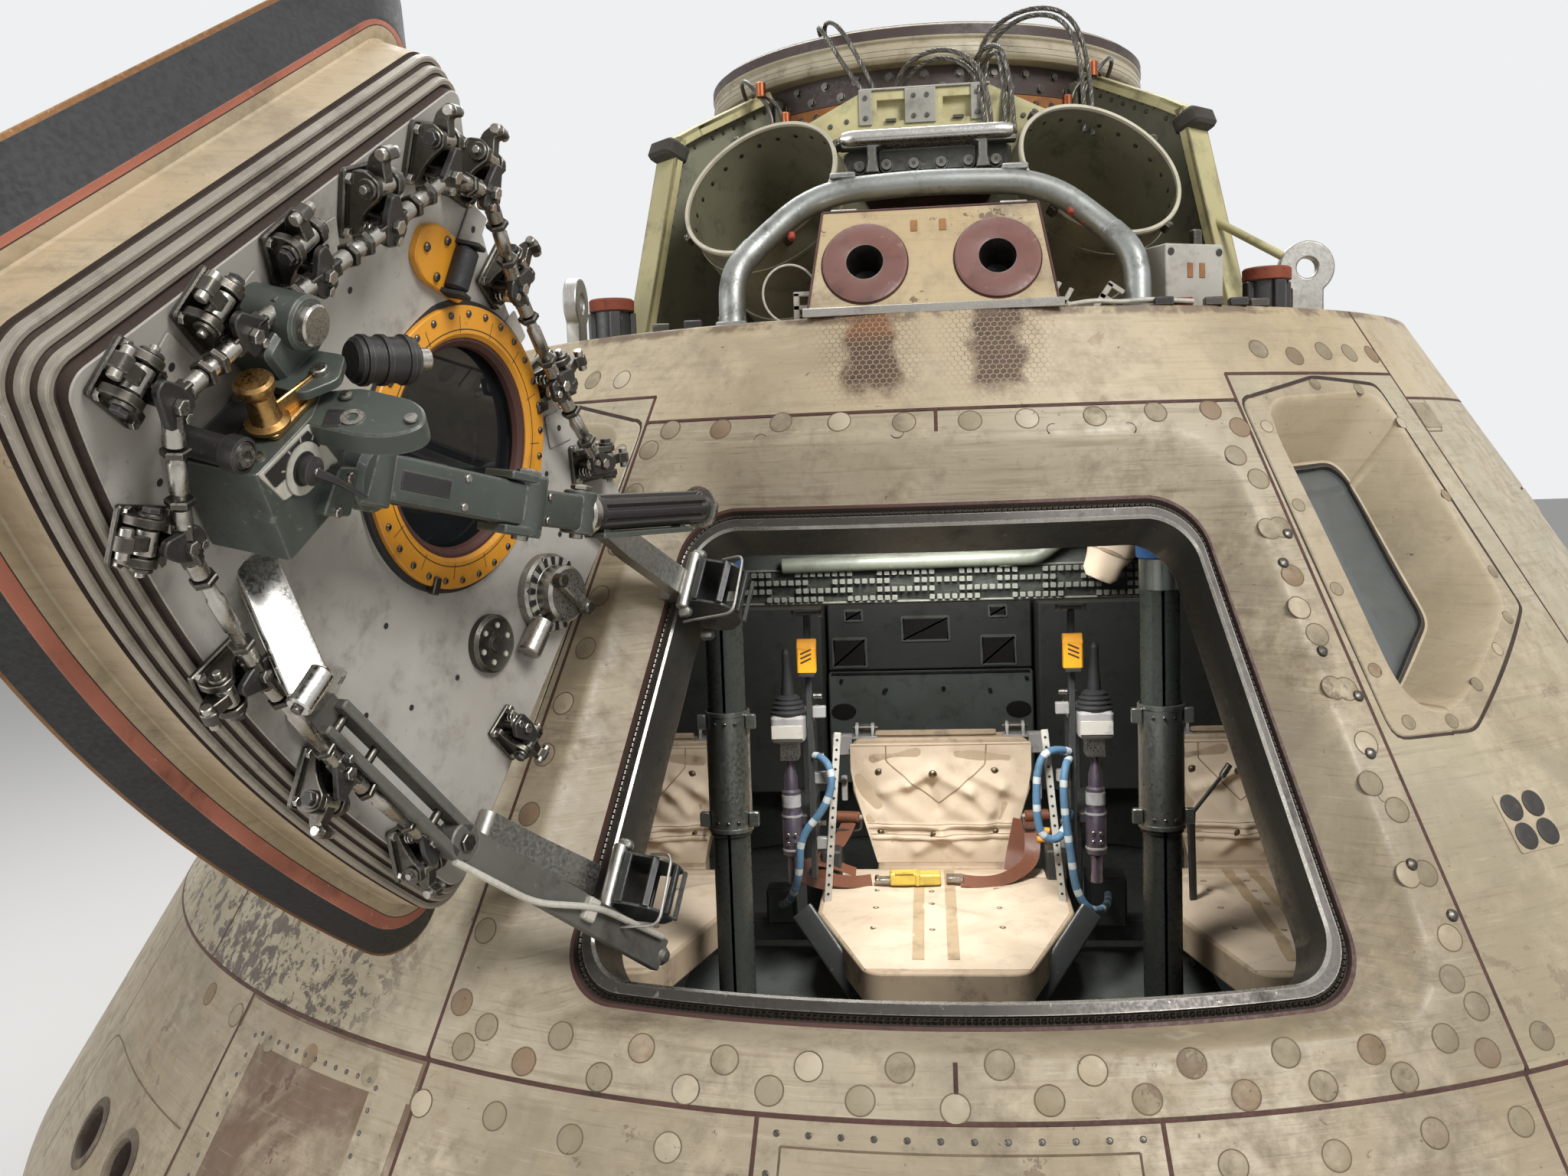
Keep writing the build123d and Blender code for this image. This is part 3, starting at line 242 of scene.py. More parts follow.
class Shape:
    """Points (n by 3), and faces as a list of (corner numbers, finish number)."""

    def __init__(self, points, faces):
        """Keep the table of points and the list of face tables."""
        self.points = np.asarray(points, float).reshape(-1, 3)
        self.faces = faces

    def __add__(self, other):
        """Both shapes as one: the second one's corner numbers move up by the first one's count of points."""
        shift = len(self.points)
        return Shape(np.vstack([self.points, other.points]),
                     self.faces + [(corners + shift, number) for corners, number in other.faces])

    def at(self, *matrices):
        """The shape placed by one matrix or by several, the last one first."""
        points = self.points
        for matrix in reversed(matrices):
            points = points @ matrix[:3, :3].T + matrix[:3, 3]
        return Shape(points, self.faces)

    def repeated(self, places):
        """One copy at each of many matrices, worked out in one product."""
        places = np.asarray(places)
        points = np.einsum("nij,pj->npi", places[:, :3, :3], self.points) + places[:, None, :3, 3]
        shift = (np.arange(len(places)) * len(self.points))[:, None, None]
        return Shape(points, [((corners + shift).reshape(-1, corners.shape[1]), number)
                              for corners, number in self.faces])


def total(shapes):
    """Several shapes as one."""
    shapes = list(shapes)
    made = shapes[0]
    for shape in shapes[1:]:
        made = made + shape
    return made


def volume(points, corners):
    """Signed volume under a table of faces: the sum of triple products of each face's fan."""
    fan = points[corners]
    first, rest = fan[:, :1], fan[:, 1:]
    return float(np.einsum("nki,nki->", np.repeat(first, rest.shape[1] - 1, 1),
                           np.cross(rest[:, :-1], rest[:, 1:]))) / 6


def loft(rings, caps=True, finish=0):
    """Skin over rings of equal counts: a quad joins the same step of two neighbouring rings, and a flat
    face closes each end. A closed solid is turned to face outwards by the sign of its volume."""
    rings = np.asarray(rings, float)
    rows, count = rings.shape[:2]
    number = np.arange(rows * count).reshape(rows, count)
    following = np.roll(number, -1, 1)
    quads = np.stack([number[:-1], following[:-1], following[1:], number[1:]], -1).reshape(-1, 4)
    faces = [(quads, finish)]
    if caps:
        ends = number[[0, -1]]
        ends[0] = ends[0][::-1]
        faces.append((ends, finish))
    points = rings.reshape(-1, 3)
    middle = points.mean(0)
    if sum(volume(points - middle, corners) for corners, _ in faces) < 0:
        faces = [(corners[:, ::-1], mark) for corners, mark in faces]
    return Shape(points, faces)


def flipped(shape):
    """The same shape with its faces turned over."""
    return Shape(shape.points, [(corners[:, ::-1], number) for corners, number in shape.faces])


def circle(radius, count=24):
    """Points round a circle, as two columns."""
    angle = np.arange(count) * 2 * np.pi / count
    return np.stack([radius * np.cos(angle), radius * np.sin(angle)], -1)


def welded(shape, reach=1e-6):
    """Points that fall together become one, so that a surface carried right round has no open seam."""
    keys = np.round(shape.points / reach).astype(np.int64)
    _, first, back = np.unique(keys, axis=0, return_index=True, return_inverse=True)
    return Shape(shape.points[first],
                 [(back.reshape(-1)[corners], number) for corners, number in shape.faces])


def joined(rings, finish=0):
    """Skin over rings of which the last joins the first."""
    return welded(loft(np.concatenate([rings, rings[:1]]), caps=False, finish=finish))


def spun(profile, count):
    """Profile of (radius, height) at even angles round Z: radius times cosine and sine, and the height."""
    profile = np.asarray(profile, float)
    return np.concatenate([profile[:, None, :1] * circle(1.0, count),
                           np.repeat(profile[:, None, 1:], count, 1)], -1)


def lathe(profile, count=32, finish=0):
    """Profile of (radius, height) carried round Z. Both ends are closed by a flat face."""
    return loft(spun(profile, count), finish=finish)


def ring(profile, count=48, finish=0):
    """Closed profile of (radius, height) carried round Z: a washer, hoop or flange."""
    return joined(spun(profile, count).swapaxes(0, 1), finish)


def inset(outline, gap):
    """Closed outline drawn in by a gap: each point moves along the mean of its two edge normals, by the gap
    over the cosine of half the turn."""
    ahead = unit(np.roll(outline, -1, 0) - outline)
    normal = np.stack([-ahead[:, 1], ahead[:, 0]], -1)
    mean = unit(normal + np.roll(normal, 1, 0))
    cosine = np.clip((mean * normal).sum(1, keepdims=True), 0.35, 1)
    x, y = outline.T
    area = 0.5 * (x * np.roll(y, -1) - y * np.roll(x, -1)).sum()
    return outline + mean / cosine * gap * np.sign(area)


def corner_cut(before, here, after, radius, share, steps):
    """Curve that cuts a corner. It starts and ends one radius from it, or at a share of the side where that
    is less, and is (1 - t) squared of the start, 2 t (1 - t) of the corner and t squared of the end."""
    start, end = (here + unit(side) * min(radius, share * np.linalg.norm(side))
                  for side in (before - here, after - here))
    t = np.linspace(0, 1, steps + 1)[:, None]
    return (1 - t) ** 2 * start + 2 * t * (1 - t) * here + t ** 2 * end


def rounded(corners, radius, steps=4):
    """Closed outline with each corner cut."""
    corners = np.asarray(corners, float)
    neighbours = zip(np.roll(corners, 1, 0), corners, np.roll(corners, -1, 0))
    return np.concatenate([corner_cut(*three, radius, 0.45, steps) for three in neighbours])


def oblong(wide, high, corner, steps):
    """Outline of a rounded rectangle about the middle."""
    return rounded([(-wide / 2, -high / 2), (wide / 2, -high / 2), (wide / 2, high / 2),
                    (-wide / 2, high / 2)], corner, steps)


def slab(outline, low, high, bevel=0.001, finish=0):
    """Plate of a flat outline between two heights, its edges broken by a small bevel."""
    outline = np.asarray(outline, float)
    drawn = inset(outline, bevel)
    rows = [(drawn, low), (outline, low + bevel), (outline, high - bevel), (drawn, high)]
    return loft([np.column_stack([flat, np.full(len(flat), z)]) for flat, z in rows], finish=finish)


def block(x, y, z, bevel=0.0015, finish=0, corner=None):
    """Box with broken edges, centred in X and Y and standing on Z 0."""
    outline = oblong(x, y, bevel, 1) if corner is None else oblong(x, y, corner, 4)
    return slab(outline, 0, z, bevel, finish)


def rod(radius, low, high, bevel=0.001, count=20, finish=0):
    """Round bar along Z with broken ends."""
    return lathe([(radius - bevel, low), (radius, low + bevel), (radius, high - bevel),
                  (radius - bevel, high)], count, finish)


def hexagon(across, low, high, finish=0):
    """Hexagonal head or nut."""
    return slab(circle(across / math.sqrt(3), 6), low, high, across * 0.05, finish)


def from_to(start, end):
    """Placement with its origin at a start point and Z towards an end point."""
    start, end = np.asarray(start, float), np.asarray(end, float)
    z = unit(end - start)
    x = unit(np.cross((0, 0, 1) if abs(z[2]) < 0.9 else (0, 1, 0), z))
    return placed(x, np.cross(z, x), z, start)


def bent(points, radius, steps=8):
    """Path of a rigid tube: straight runs joined by bends that start one radius from each corner."""
    points = np.asarray(points, float)
    bends = [corner_cut(*three, radius, 0.48, steps) for three in zip(points[:-2], points[1:-1], points[2:])]
    return np.concatenate([points[:1], *bends, points[-1:]])


UP, INWARD = np.array([0, 0, 1.0]), np.array([0, 1.0, 0])


def carried(ahead):
    """Normals passed on from direction to direction with no twist: each is the last one less its part along
    the new direction."""
    normals = np.empty_like(ahead)
    last = np.cross(ahead[0], [0.31, 0.17, 0.93])
    for i, direction in enumerate(ahead):
        last = unit(last - direction * (last @ direction))
        normals[i] = last
    return normals


def sweep(route, section, normal=None, finish=0, sizes=None, loop=False):
    """Section of (x, y) carried along a route. A given normal is kept square to the route: it loses its part
    along each direction. With none given, the frame is passed on with no twist."""
    route = np.asarray(route, float)
    ahead = unit(np.roll(route, -1, 0) - np.roll(route, 1, 0) if loop else np.gradient(route, axis=0))
    if normal is None:
        normals = carried(ahead)
    else:
        normals = np.broadcast_to(normal, route.shape)
        normals = unit(normals - ahead * (normals * ahead).sum(1, keepdims=True))
    sides = np.cross(normals, ahead)
    sizes = np.ones(len(route)) if sizes is None else np.asarray(sizes)
    section = np.asarray(section, float)[None] * sizes[:, None, None]
    rings = route[:, None] + sides[:, None] * section[..., :1] + normals[:, None] * section[..., 1:]
    return joined(rings, finish) if loop else loft(rings, finish=finish)


print("box of the shape kit:", block(1, 1, 1).points.shape)

# %% [markdown]
# One function turns a shape into a piece that rides on a body. Curved faces are shaded smooth and edges
# sharper than a chosen angle stay crisp. A second function takes a solid whose form is already right, joins
# its loose triangles in a copy, and rounds its edges a little, because a real edge always catches light.

# %% From arrays to pieces
SMOOTH = math.radians(32)


def piece(name, shape, body, finishes, stands_for=()):
    """Mesh object at the origin, made with foreach_set, that rides on a body."""
    mesh = bpy.data.meshes.new(name)
    corners = np.concatenate([table.ravel() for table, _ in shape.faces]).astype(np.int32)
    sizes = np.concatenate([np.full(len(table), table.shape[1]) for table, _ in shape.faces])
    marks = np.concatenate([np.full(len(table), number) for table, number in shape.faces])
    mesh.vertices.add(len(shape.points))
    mesh.vertices.foreach_set("co", shape.points.astype(np.float32).ravel())
    mesh.loops.add(len(corners))
    mesh.loops.foreach_set("vertex_index", corners)
    mesh.polygons.add(len(sizes))
    mesh.polygons.foreach_set("loop_start", np.concatenate([[0], np.cumsum(sizes)[:-1]]).astype(np.int32))
    mesh.polygons.foreach_set("material_index", marks.astype(np.int32))
    mesh.update(calc_edges=True)
    mesh.validate()
    mesh.polygons.foreach_set("use_smooth", np.ones(len(mesh.polygons), bool))
    mesh.set_sharp_from_angle(angle=SMOOTH)
    for finish in finishes:
        mesh.materials.append(finish)
    made = bpy.data.objects.new(name, mesh)
    bpy.context.scene.collection.objects.link(made)
    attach(made, body)
    if stands_for:
        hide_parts(*stands_for)
    print(f"{name}: {len(shape.points)} points")
    return made


def dressed(node, finish, slot, bevel=0.002, segments=2):
    """A CAD node's form with joined faces, rounded edges and smooth curves, in the node's place."""
    source = frame["nodes"][node]
    mesh = bpy.data.meshes.new(node + "_form")
    work = bmesh.new()
    work.from_mesh(source.data)
    bmesh.ops.remove_doubles(work, verts=work.verts, dist=1e-5)
    bmesh.ops.dissolve_limit(work, angle_limit=math.radians(0.6), verts=work.verts, edges=work.edges)
    work.to_mesh(mesh)
    work.free()
    mesh.polygons.foreach_set("use_smooth", np.ones(len(mesh.polygons), bool))
    mesh.set_sharp_from_angle(angle=SMOOTH)
    mesh.materials.clear()
    mesh.materials.append(finish)
    mesh.polygons.foreach_set("material_index", np.zeros(len(mesh.polygons), np.int32))
    made = bpy.data.objects.new(node + "_form", mesh)
    bpy.context.scene.collection.objects.link(made)
    edge = made.modifiers.new("rounded edges", "BEVEL")
    edge.width, edge.segments, edge.limit_method, edge.angle_limit = bevel, segments, "ANGLE", SMOOTH
    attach(made, source["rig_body"])
    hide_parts(node)
    return made


print("smooth below", round(math.degrees(SMOOTH)), "degrees")

# %% [markdown]
# Finishes are made from nodes. A small helper keeps the wiring readable: each method adds one node and gives
# back its output. Effects that many finishes share, such as worn edges and old paint, are node groups with
# their own inputs, so that each finish only sets its colours and amounts.

# %% Helper for node trees


class Graph:
    """Adds nodes to one tree. Each method gives back the new node's output."""

    def __init__(self, tree):
        """Keep the tree that the nodes go into."""
        self.tree = tree

    def feed(self, target, inputs):
        """Link outputs to a node's inputs, and set plain values there."""
        for key, value in dict(inputs).items():
            if isinstance(value, bpy.types.NodeSocket):
                self.tree.links.new(value, target.inputs[key])
            else:
                target.inputs[key].default_value = value

    def node(self, kind, inputs=(), out=0, **options):
        """Any node, with its options and inputs."""
        made = self.tree.nodes.new(kind)
        for key, value in options.items():
            setattr(made, key, value)
        self.feed(made, inputs)
        return made.outputs[out]

    def coords(self, scale=(1, 1, 1)):
        """The object's own coordinates times a scale."""
        place = self.node("ShaderNodeTexCoord", out="Object")
        return self.node("ShaderNodeMapping", {"Vector": place, "Scale": scale})

    def noise(self, vector, scale, detail=4.0, rough=0.55, bend=0.0):
        """Cloudy value from 0 to 1, about 0.5 on average."""
        return self.node("ShaderNodeTexNoise", {"Vector": vector, "Scale": scale, "Detail": detail,
                                                "Roughness": rough, "Distortion": bend})

    def math(self, kind, a, b=0.0, c=0.0):
        """One arithmetic step on one, two or three values."""
        return self.node("ShaderNodeMath", {0: a, 1: b, 2: c}, operation=kind)

    def between(self, value, low, high, start=0.0, end=1.0):
        """Value carried from one span to another, smooth at both ends and held past them."""
        return self.node("ShaderNodeMapRange", {"Value": value, 1: low, 2: high, 3: start, 4: end},
                         interpolation_type="SMOOTHSTEP")

    def mix(self, share, a, b, kind="MIX"):
        """Colour a times one less the share, plus the share times b, or another blend of the two."""
        return self.node("ShaderNodeMix", {0: share, 6: a, 7: b}, out=2, data_type="RGBA", blend_type=kind)

    def bump(self, height, strength=0.3, distance=0.001):
        """Normal tilted by the slope of a height."""
        return self.node("ShaderNodeBump", {"Height": height, "Strength": strength, "Distance": distance})

    def split(self, vector):
        """The three parts of a vector."""
        return self.node("ShaderNodeSeparateXYZ", {0: vector}).node.outputs


def rgb(red, green, blue):
    """A colour written as on screen, from 0 to 255, in the renderer's linear values: each share s becomes
    ((s + 0.055) / 1.055) to the power 2.4."""
    share = np.array([red, green, blue]) / 255
    linear = np.where(share <= 0.04045, share / 12.92, ((share + 0.055) / 1.055) ** 2.4)
    return (*[float(x) for x in linear], 1.0)


def group(name, inputs, outputs):
    """New shader node group with named sockets, and the graph that fills it."""
    tree = bpy.data.node_groups.new(name, "ShaderNodeTree")
    kinds = {"value": "NodeSocketFloat", "colour": "NodeSocketColor", "vector": "NodeSocketVector"}
    for label, kind, default in inputs:
        socket = tree.interface.new_socket(label, in_out="INPUT", socket_type=kinds[kind])
        socket.default_value = default
    for label, kind in outputs:
        tree.interface.new_socket(label, in_out="OUTPUT", socket_type=kinds[kind])
    graph = Graph(tree)
    given = tree.nodes.new("NodeGroupInput").outputs
    result = tree.nodes.new("NodeGroupOutput")
    return graph, given, result


def blank(name):
    """New material, its graph and its shader."""
    made = bpy.data.materials.new(name)
    made.use_nodes = True
    return made, Graph(made.node_tree), made.node_tree.nodes["Principled BSDF"]


print("beige in linear values:", [round(x, 3) for x in rgb(186, 171, 143)])

# %% [markdown]
# Worn paint and metal share one recipe. The tone drifts slowly over the piece, dirt gathers in blotches,
# small chips open the paint, and edges are rubbed. Where the edges are is found by comparing the true normal
# with one that a Bevel node has rounded off: they differ only near an edge.

# %% Group: worn surface


def make_worn():
    """Group for old paint or metal."""
    g, given, result = group(
        "worn surface",
        [("Colour", "colour", (0.5, 0.5, 0.5, 1)), ("Bare", "colour", (0.3, 0.3, 0.3, 1)),
         ("Dirt colour", "colour", (0.05, 0.04, 0.03, 1)), ("Roughness", "value", 0.5),
         ("Wear", "value", 0.5), ("Dirt", "value", 0.4), ("Scale", "value", 1.0), ("Edge", "value", 0.003)],
        [("Colour", "colour"), ("Roughness", "value"), ("Height", "value"), ("Bare share", "value")])
    place = g.node("ShaderNodeTexCoord", out="Object")
    place = g.node("ShaderNodeVectorMath", {0: place, 3: given["Scale"]}, operation="SCALE")
    tone = g.noise(place, 5.0, 4.0)
    blotch = g.between(g.noise(place, 17.0, 7.0, 0.65), 0.5, 0.72)
    fine = g.noise(place, 160.0, 5.0, 0.6)
    chips = g.between(g.noise(place, 70.0, 6.0, 0.7, 0.4), 0.64, 0.67)
    rounded_normal = g.node("ShaderNodeBevel", {"Radius": given["Edge"]}, samples=4)
    true_normal = g.node("ShaderNodeNewGeometry", out="Normal")
    alike = g.node("ShaderNodeVectorMath", {0: rounded_normal, 1: true_normal}, out="Value",
                   operation="DOT_PRODUCT")
    edge = g.between(g.math("MULTIPLY", g.math("SUBTRACT", 1.0, alike), g.between(fine, 0.35, 0.6, 0.3, 1.6)),
                     0.02, 0.12)
    bare = g.math("MULTIPLY", g.math("MAXIMUM", edge, g.math("MULTIPLY", chips, 0.8)), given["Wear"])
    toned = g.mix(g.between(tone, 0.35, 0.65), g.mix(1.0, given["Colour"], (0.82, 0.80, 0.78, 1), "MULTIPLY"),
                  given["Colour"])
    dirty = g.mix(g.math("MULTIPLY", blotch, given["Dirt"]), toned, given["Dirt colour"])
    rough = g.math("ADD", given["Roughness"], g.between(fine, 0.3, 0.7, -0.08, 0.1))
    rough = g.math("ADD", rough, g.math("MULTIPLY", blotch, 0.12))
    height = g.math("SUBTRACT", g.math("MULTIPLY", fine, 0.5), g.math("MULTIPLY", bare, 0.6))
    g.feed(result, {"Colour": g.mix(bare, dirty, given["Bare"]), "Roughness": rough, "Height": height,
                    "Bare share": bare})
    return g.tree


WORN = make_worn()


def worn(name, colour, bare, dirt_colour=(38, 32, 26), rough=0.5, wear=0.5, dirt=0.4, scale=1.0,
         edge=0.003, metal=0.0, bare_metal=0.0):
    """Material from the worn surface group, colours written as on screen."""
    made, g, shader = blank(name)
    look = g.node("ShaderNodeGroup", {
        "Colour": rgb(*colour), "Bare": rgb(*bare), "Dirt colour": rgb(*dirt_colour), "Roughness": rough,
        "Wear": wear, "Dirt": dirt, "Scale": scale, "Edge": edge}, node_tree=WORN).node.outputs
    if metal != bare_metal:
        metal = g.between(look["Bare share"], 0.0, 1.0, metal, bare_metal)
    g.feed(shader, {"Base Color": look["Colour"], "Roughness": look["Roughness"], "Metallic": metal,
                    "Normal": g.bump(look["Height"], 0.25, 0.0006)})
    return made


steel = worn("dark steel", (92, 88, 82), (150, 146, 138), rough=0.38, wear=0.8, dirt=0.5, metal=1.0,
             bare_metal=1.0, scale=2.0, edge=0.0015)
bright_steel = worn("bright steel", (178, 174, 166), (205, 202, 196), rough=0.3, wear=0.6, dirt=0.35,
                    metal=1.0, bare_metal=1.0, scale=2.0, edge=0.0015)
black_parts = worn("black fittings", (40, 38, 36), (120, 116, 110), rough=0.42, wear=0.8, dirt=0.3, scale=2.0,
                   edge=0.0015, bare_metal=1.0)
polished = worn("polished aluminium", (205, 203, 198), (225, 224, 220), rough=0.24, wear=0.4, dirt=0.25,
                metal=1.0, bare_metal=1.0, scale=1.6, edge=0.002)
worn_aluminium = worn("worn aluminium", (178, 176, 170), (214, 212, 206), rough=0.42, wear=0.7, dirt=0.45,
                      metal=1.0, bare_metal=1.0, scale=1.3, edge=0.002)
grey_paint = worn("light grey paint", (176, 172, 163), (120, 108, 92), rough=0.48, wear=0.55, dirt=0.35)
amber = worn("amber flange", (222, 152, 44), (150, 120, 70), rough=0.4, wear=0.6, dirt=0.25, edge=0.002)
chromate = worn("yellow green primer", (188, 180, 134), (156, 144, 112), rough=0.5, wear=0.6, dirt=0.45)
rust = worn("rust", (124, 58, 34), (70, 36, 24), rough=0.8, wear=0.4, dirt=0.6, scale=3.0)
cabin_grey = worn("cabin grey", (84, 88, 84), (140, 138, 130), rough=0.5, wear=0.6, dirt=0.45, bare_metal=0.8)
dark_frame = worn("dark frame", (52, 54, 53), (128, 126, 120), rough=0.4, wear=0.8, dirt=0.3, bare_metal=1.0)
rubber_and_hole_shade = worn("rubber_and_hole_shade", (30, 30, 31), (60, 58, 55), rough=0.62, wear=0.4, dirt=0.3)
white_band = worn("white dial", (196, 192, 180), (90, 86, 78), rough=0.45, wear=0.5, dirt=0.3)
brass = worn("brass", (168, 132, 82), (206, 176, 120), rough=0.32, wear=0.6, dirt=0.4, metal=1.0,
             bare_metal=1.0, scale=2.0, edge=0.0015)
print("plain finishes:", len(bpy.data.materials))

# %% [markdown]
# The outer skin is a cork-and-resin ablator that has been through re-entry: warm beige, streaked along the
# flow, blotched grey and brown, flaked in places. The group below makes that from four noises of very
# different size. A second group draws honeycomb: near the thrusters the filler has burnt out and the cell
# walls show. Hexagons come from two interleaved grids of rectangles: a point belongs to the nearer centre,
# and its distance to the cell wall is half a cell less the larger of its two hexagon distances.

# %% Groups: honeycomb and weathered skin


def make_honeycomb():
    """Group that gives 1 on the walls of hexagonal cells in the X and Y of its vector."""
    g, given, result = group("honeycomb", [("Vector", "vector", (0, 0, 0)), ("Cell", "value", 0.012),
                                           ("Wall", "value", 0.12)], [("Walls", "value")])
    place = g.node("ShaderNodeVectorMath", {0: given["Vector"], 3: g.math("DIVIDE", 1.0, given["Cell"])},
                   operation="SCALE")
    half = (0.5, 0.5 * math.sqrt(3), 0.5)
    options = {"operation": "WRAP"}
    near = g.node("ShaderNodeVectorMath", {0: place, 1: half, 2: tuple(-h for h in half)}, **options)
    shifted = g.node("ShaderNodeVectorMath", {0: place, 1: half}, operation="ADD")
    other = g.node("ShaderNodeVectorMath", {0: shifted, 1: half, 2: tuple(-h for h in half)}, **options)
    walls = []
    for centre in (near, other):
        x, y, _ = g.split(g.node("ShaderNodeVectorMath", {0: centre}, operation="ABSOLUTE"))
        slanted = g.math("MULTIPLY_ADD", y, math.sqrt(3) / 2, g.math("MULTIPLY", x, 0.5))
        walls.append(g.math("SUBTRACT", 0.5, g.math("MAXIMUM", x, slanted)))
    inside = g.math("MAXIMUM", walls[0], walls[1])
    g.feed(result, {"Walls": g.node("ShaderNodeMapRange", {"Value": inside, 1: given["Wall"], 2: 0.0},
                                    interpolation_type="SMOOTHSTEP")})
    return g.tree


def make_skin():
    """Group for flown ablator: drifting tone, streaks, blotches, dark specks and pale scratches."""
    g, given, result = group(
        "weathered ablator",
        [("Colour", "colour", (0.5, 0.43, 0.31, 1)), ("Grime", "value", 0.5), ("Streaks", "value", 0.5),
         ("Flakes", "value", 0.3), ("Roughness", "value", 0.5)],
        [("Colour", "colour"), ("Roughness", "value"), ("Height", "value")])
    place = g.coords()
    broad = g.noise(place, 1.6, 4.0, 0.55, 0.3)
    cloud = g.noise(place, 5.5, 7.0, 0.62, 0.5)
    mottle = g.noise(place, 30.0, 7.0, 0.7)
    grain = g.noise(place, 190.0, 4.0, 0.7)
    drawn = g.noise(g.coords((3.0, 3.0, 75.0)), 1.4, 6.0, 0.65, 0.4)
    fibre = g.noise(g.coords((9.0, 9.0, 260.0)), 1.2, 5.0, 0.7)
    specks = g.between(g.noise(place, 85.0, 5.0, 0.75, 0.6), 0.655, 0.70)
    flakes = g.between(g.math("ADD", g.noise(place, 11.0, 9.0, 0.72, 0.2), g.math("MULTIPLY", broad, 0.25)),
                       0.745, 0.765)
    tone = g.mix(g.between(broad, 0.35, 0.65), given["Colour"],
                 g.mix(1.0, given["Colour"], rgb(236, 230, 218), "MULTIPLY"))
    tone = g.mix(g.between(cloud, 0.48, 0.68, 0.0, 0.55), tone, rgb(205, 188, 160))
    grime = g.math("MULTIPLY", g.between(g.math("ADD", g.math("MULTIPLY", cloud, 0.6),
                                                g.math("MULTIPLY", mottle, 0.4)), 0.47, 0.66, 0.0, 0.8),
                   given["Grime"])
    tone = g.mix(grime, tone, rgb(84, 74, 58))
    smudge = g.math("MULTIPLY", g.between(g.noise(place, 3.1, 6.0, 0.66, 0.9), 0.47, 0.66, 0.0, 0.62),
                    given["Grime"])
    tone = g.mix(smudge, tone, rgb(112, 102, 84))
    streaks = g.math("MULTIPLY", g.between(drawn, 0.52, 0.68), given["Streaks"])
    tone = g.mix(g.math("MULTIPLY", streaks, 0.55), tone, rgb(112, 96, 72))
    dark = g.math("MULTIPLY", g.between(fibre, 0.43, 0.34, 0.0, 0.5), given["Streaks"])
    tone = g.mix(dark, tone, rgb(96, 84, 64))
    pale = g.math("MULTIPLY", g.between(fibre, 0.58, 0.68, 0.0, 0.25), given["Streaks"])
    tone = g.mix(pale, tone, rgb(222, 212, 192))
    tone = g.mix(g.math("MULTIPLY", specks, 0.75), tone, rgb(62, 52, 42))
    open_share = g.math("MULTIPLY", flakes, given["Flakes"])
    tone = g.mix(open_share, tone, rgb(92, 62, 46))
    rough = g.math("ADD", given["Roughness"], g.between(mottle, 0.3, 0.7, -0.12, 0.14))
    rough = g.math("ADD", rough, g.math("MULTIPLY", grime, 0.12))
    height = g.math("ADD", g.math("MULTIPLY", grain, 0.25), g.math("MULTIPLY", mottle, 0.5))
    height = g.math("ADD", height, g.math("MULTIPLY", fibre, 0.35))
    height = g.math("SUBTRACT", height, g.math("MULTIPLY", open_share, 1.2))
    height = g.math("SUBTRACT", height, g.math("MULTIPLY", specks, 0.5))
    g.feed(result, {"Colour": tone, "Roughness": rough, "Height": height})
    return g.tree


HONEYCOMB, SKIN = make_honeycomb(), make_skin()


def skin(name, colour, grime=0.5, streaks=0.5, flakes=0.3, rough=0.5, bump=0.5, extra=None):
    """Ablator material. extra(graph, colour, height) may paint more over it and gives both back."""
    made, g, shader = blank(name)
    look = g.node("ShaderNodeGroup", {"Colour": rgb(*colour), "Grime": grime, "Streaks": streaks,
                                      "Flakes": flakes, "Roughness": rough}, node_tree=SKIN).node.outputs
    tone, height = look["Colour"], look["Height"]
    if extra:
        tone, height = extra(g, tone, height)
    g.feed(shader, {"Base Color": tone, "Roughness": look["Roughness"],
                    "Normal": g.bump(height, bump, 0.0012)})
    return made


BURN_X, BURN_WIDE = 0.098, 0.052
CELL_SIZE, CELL_WALL = 0.0105, 0.11


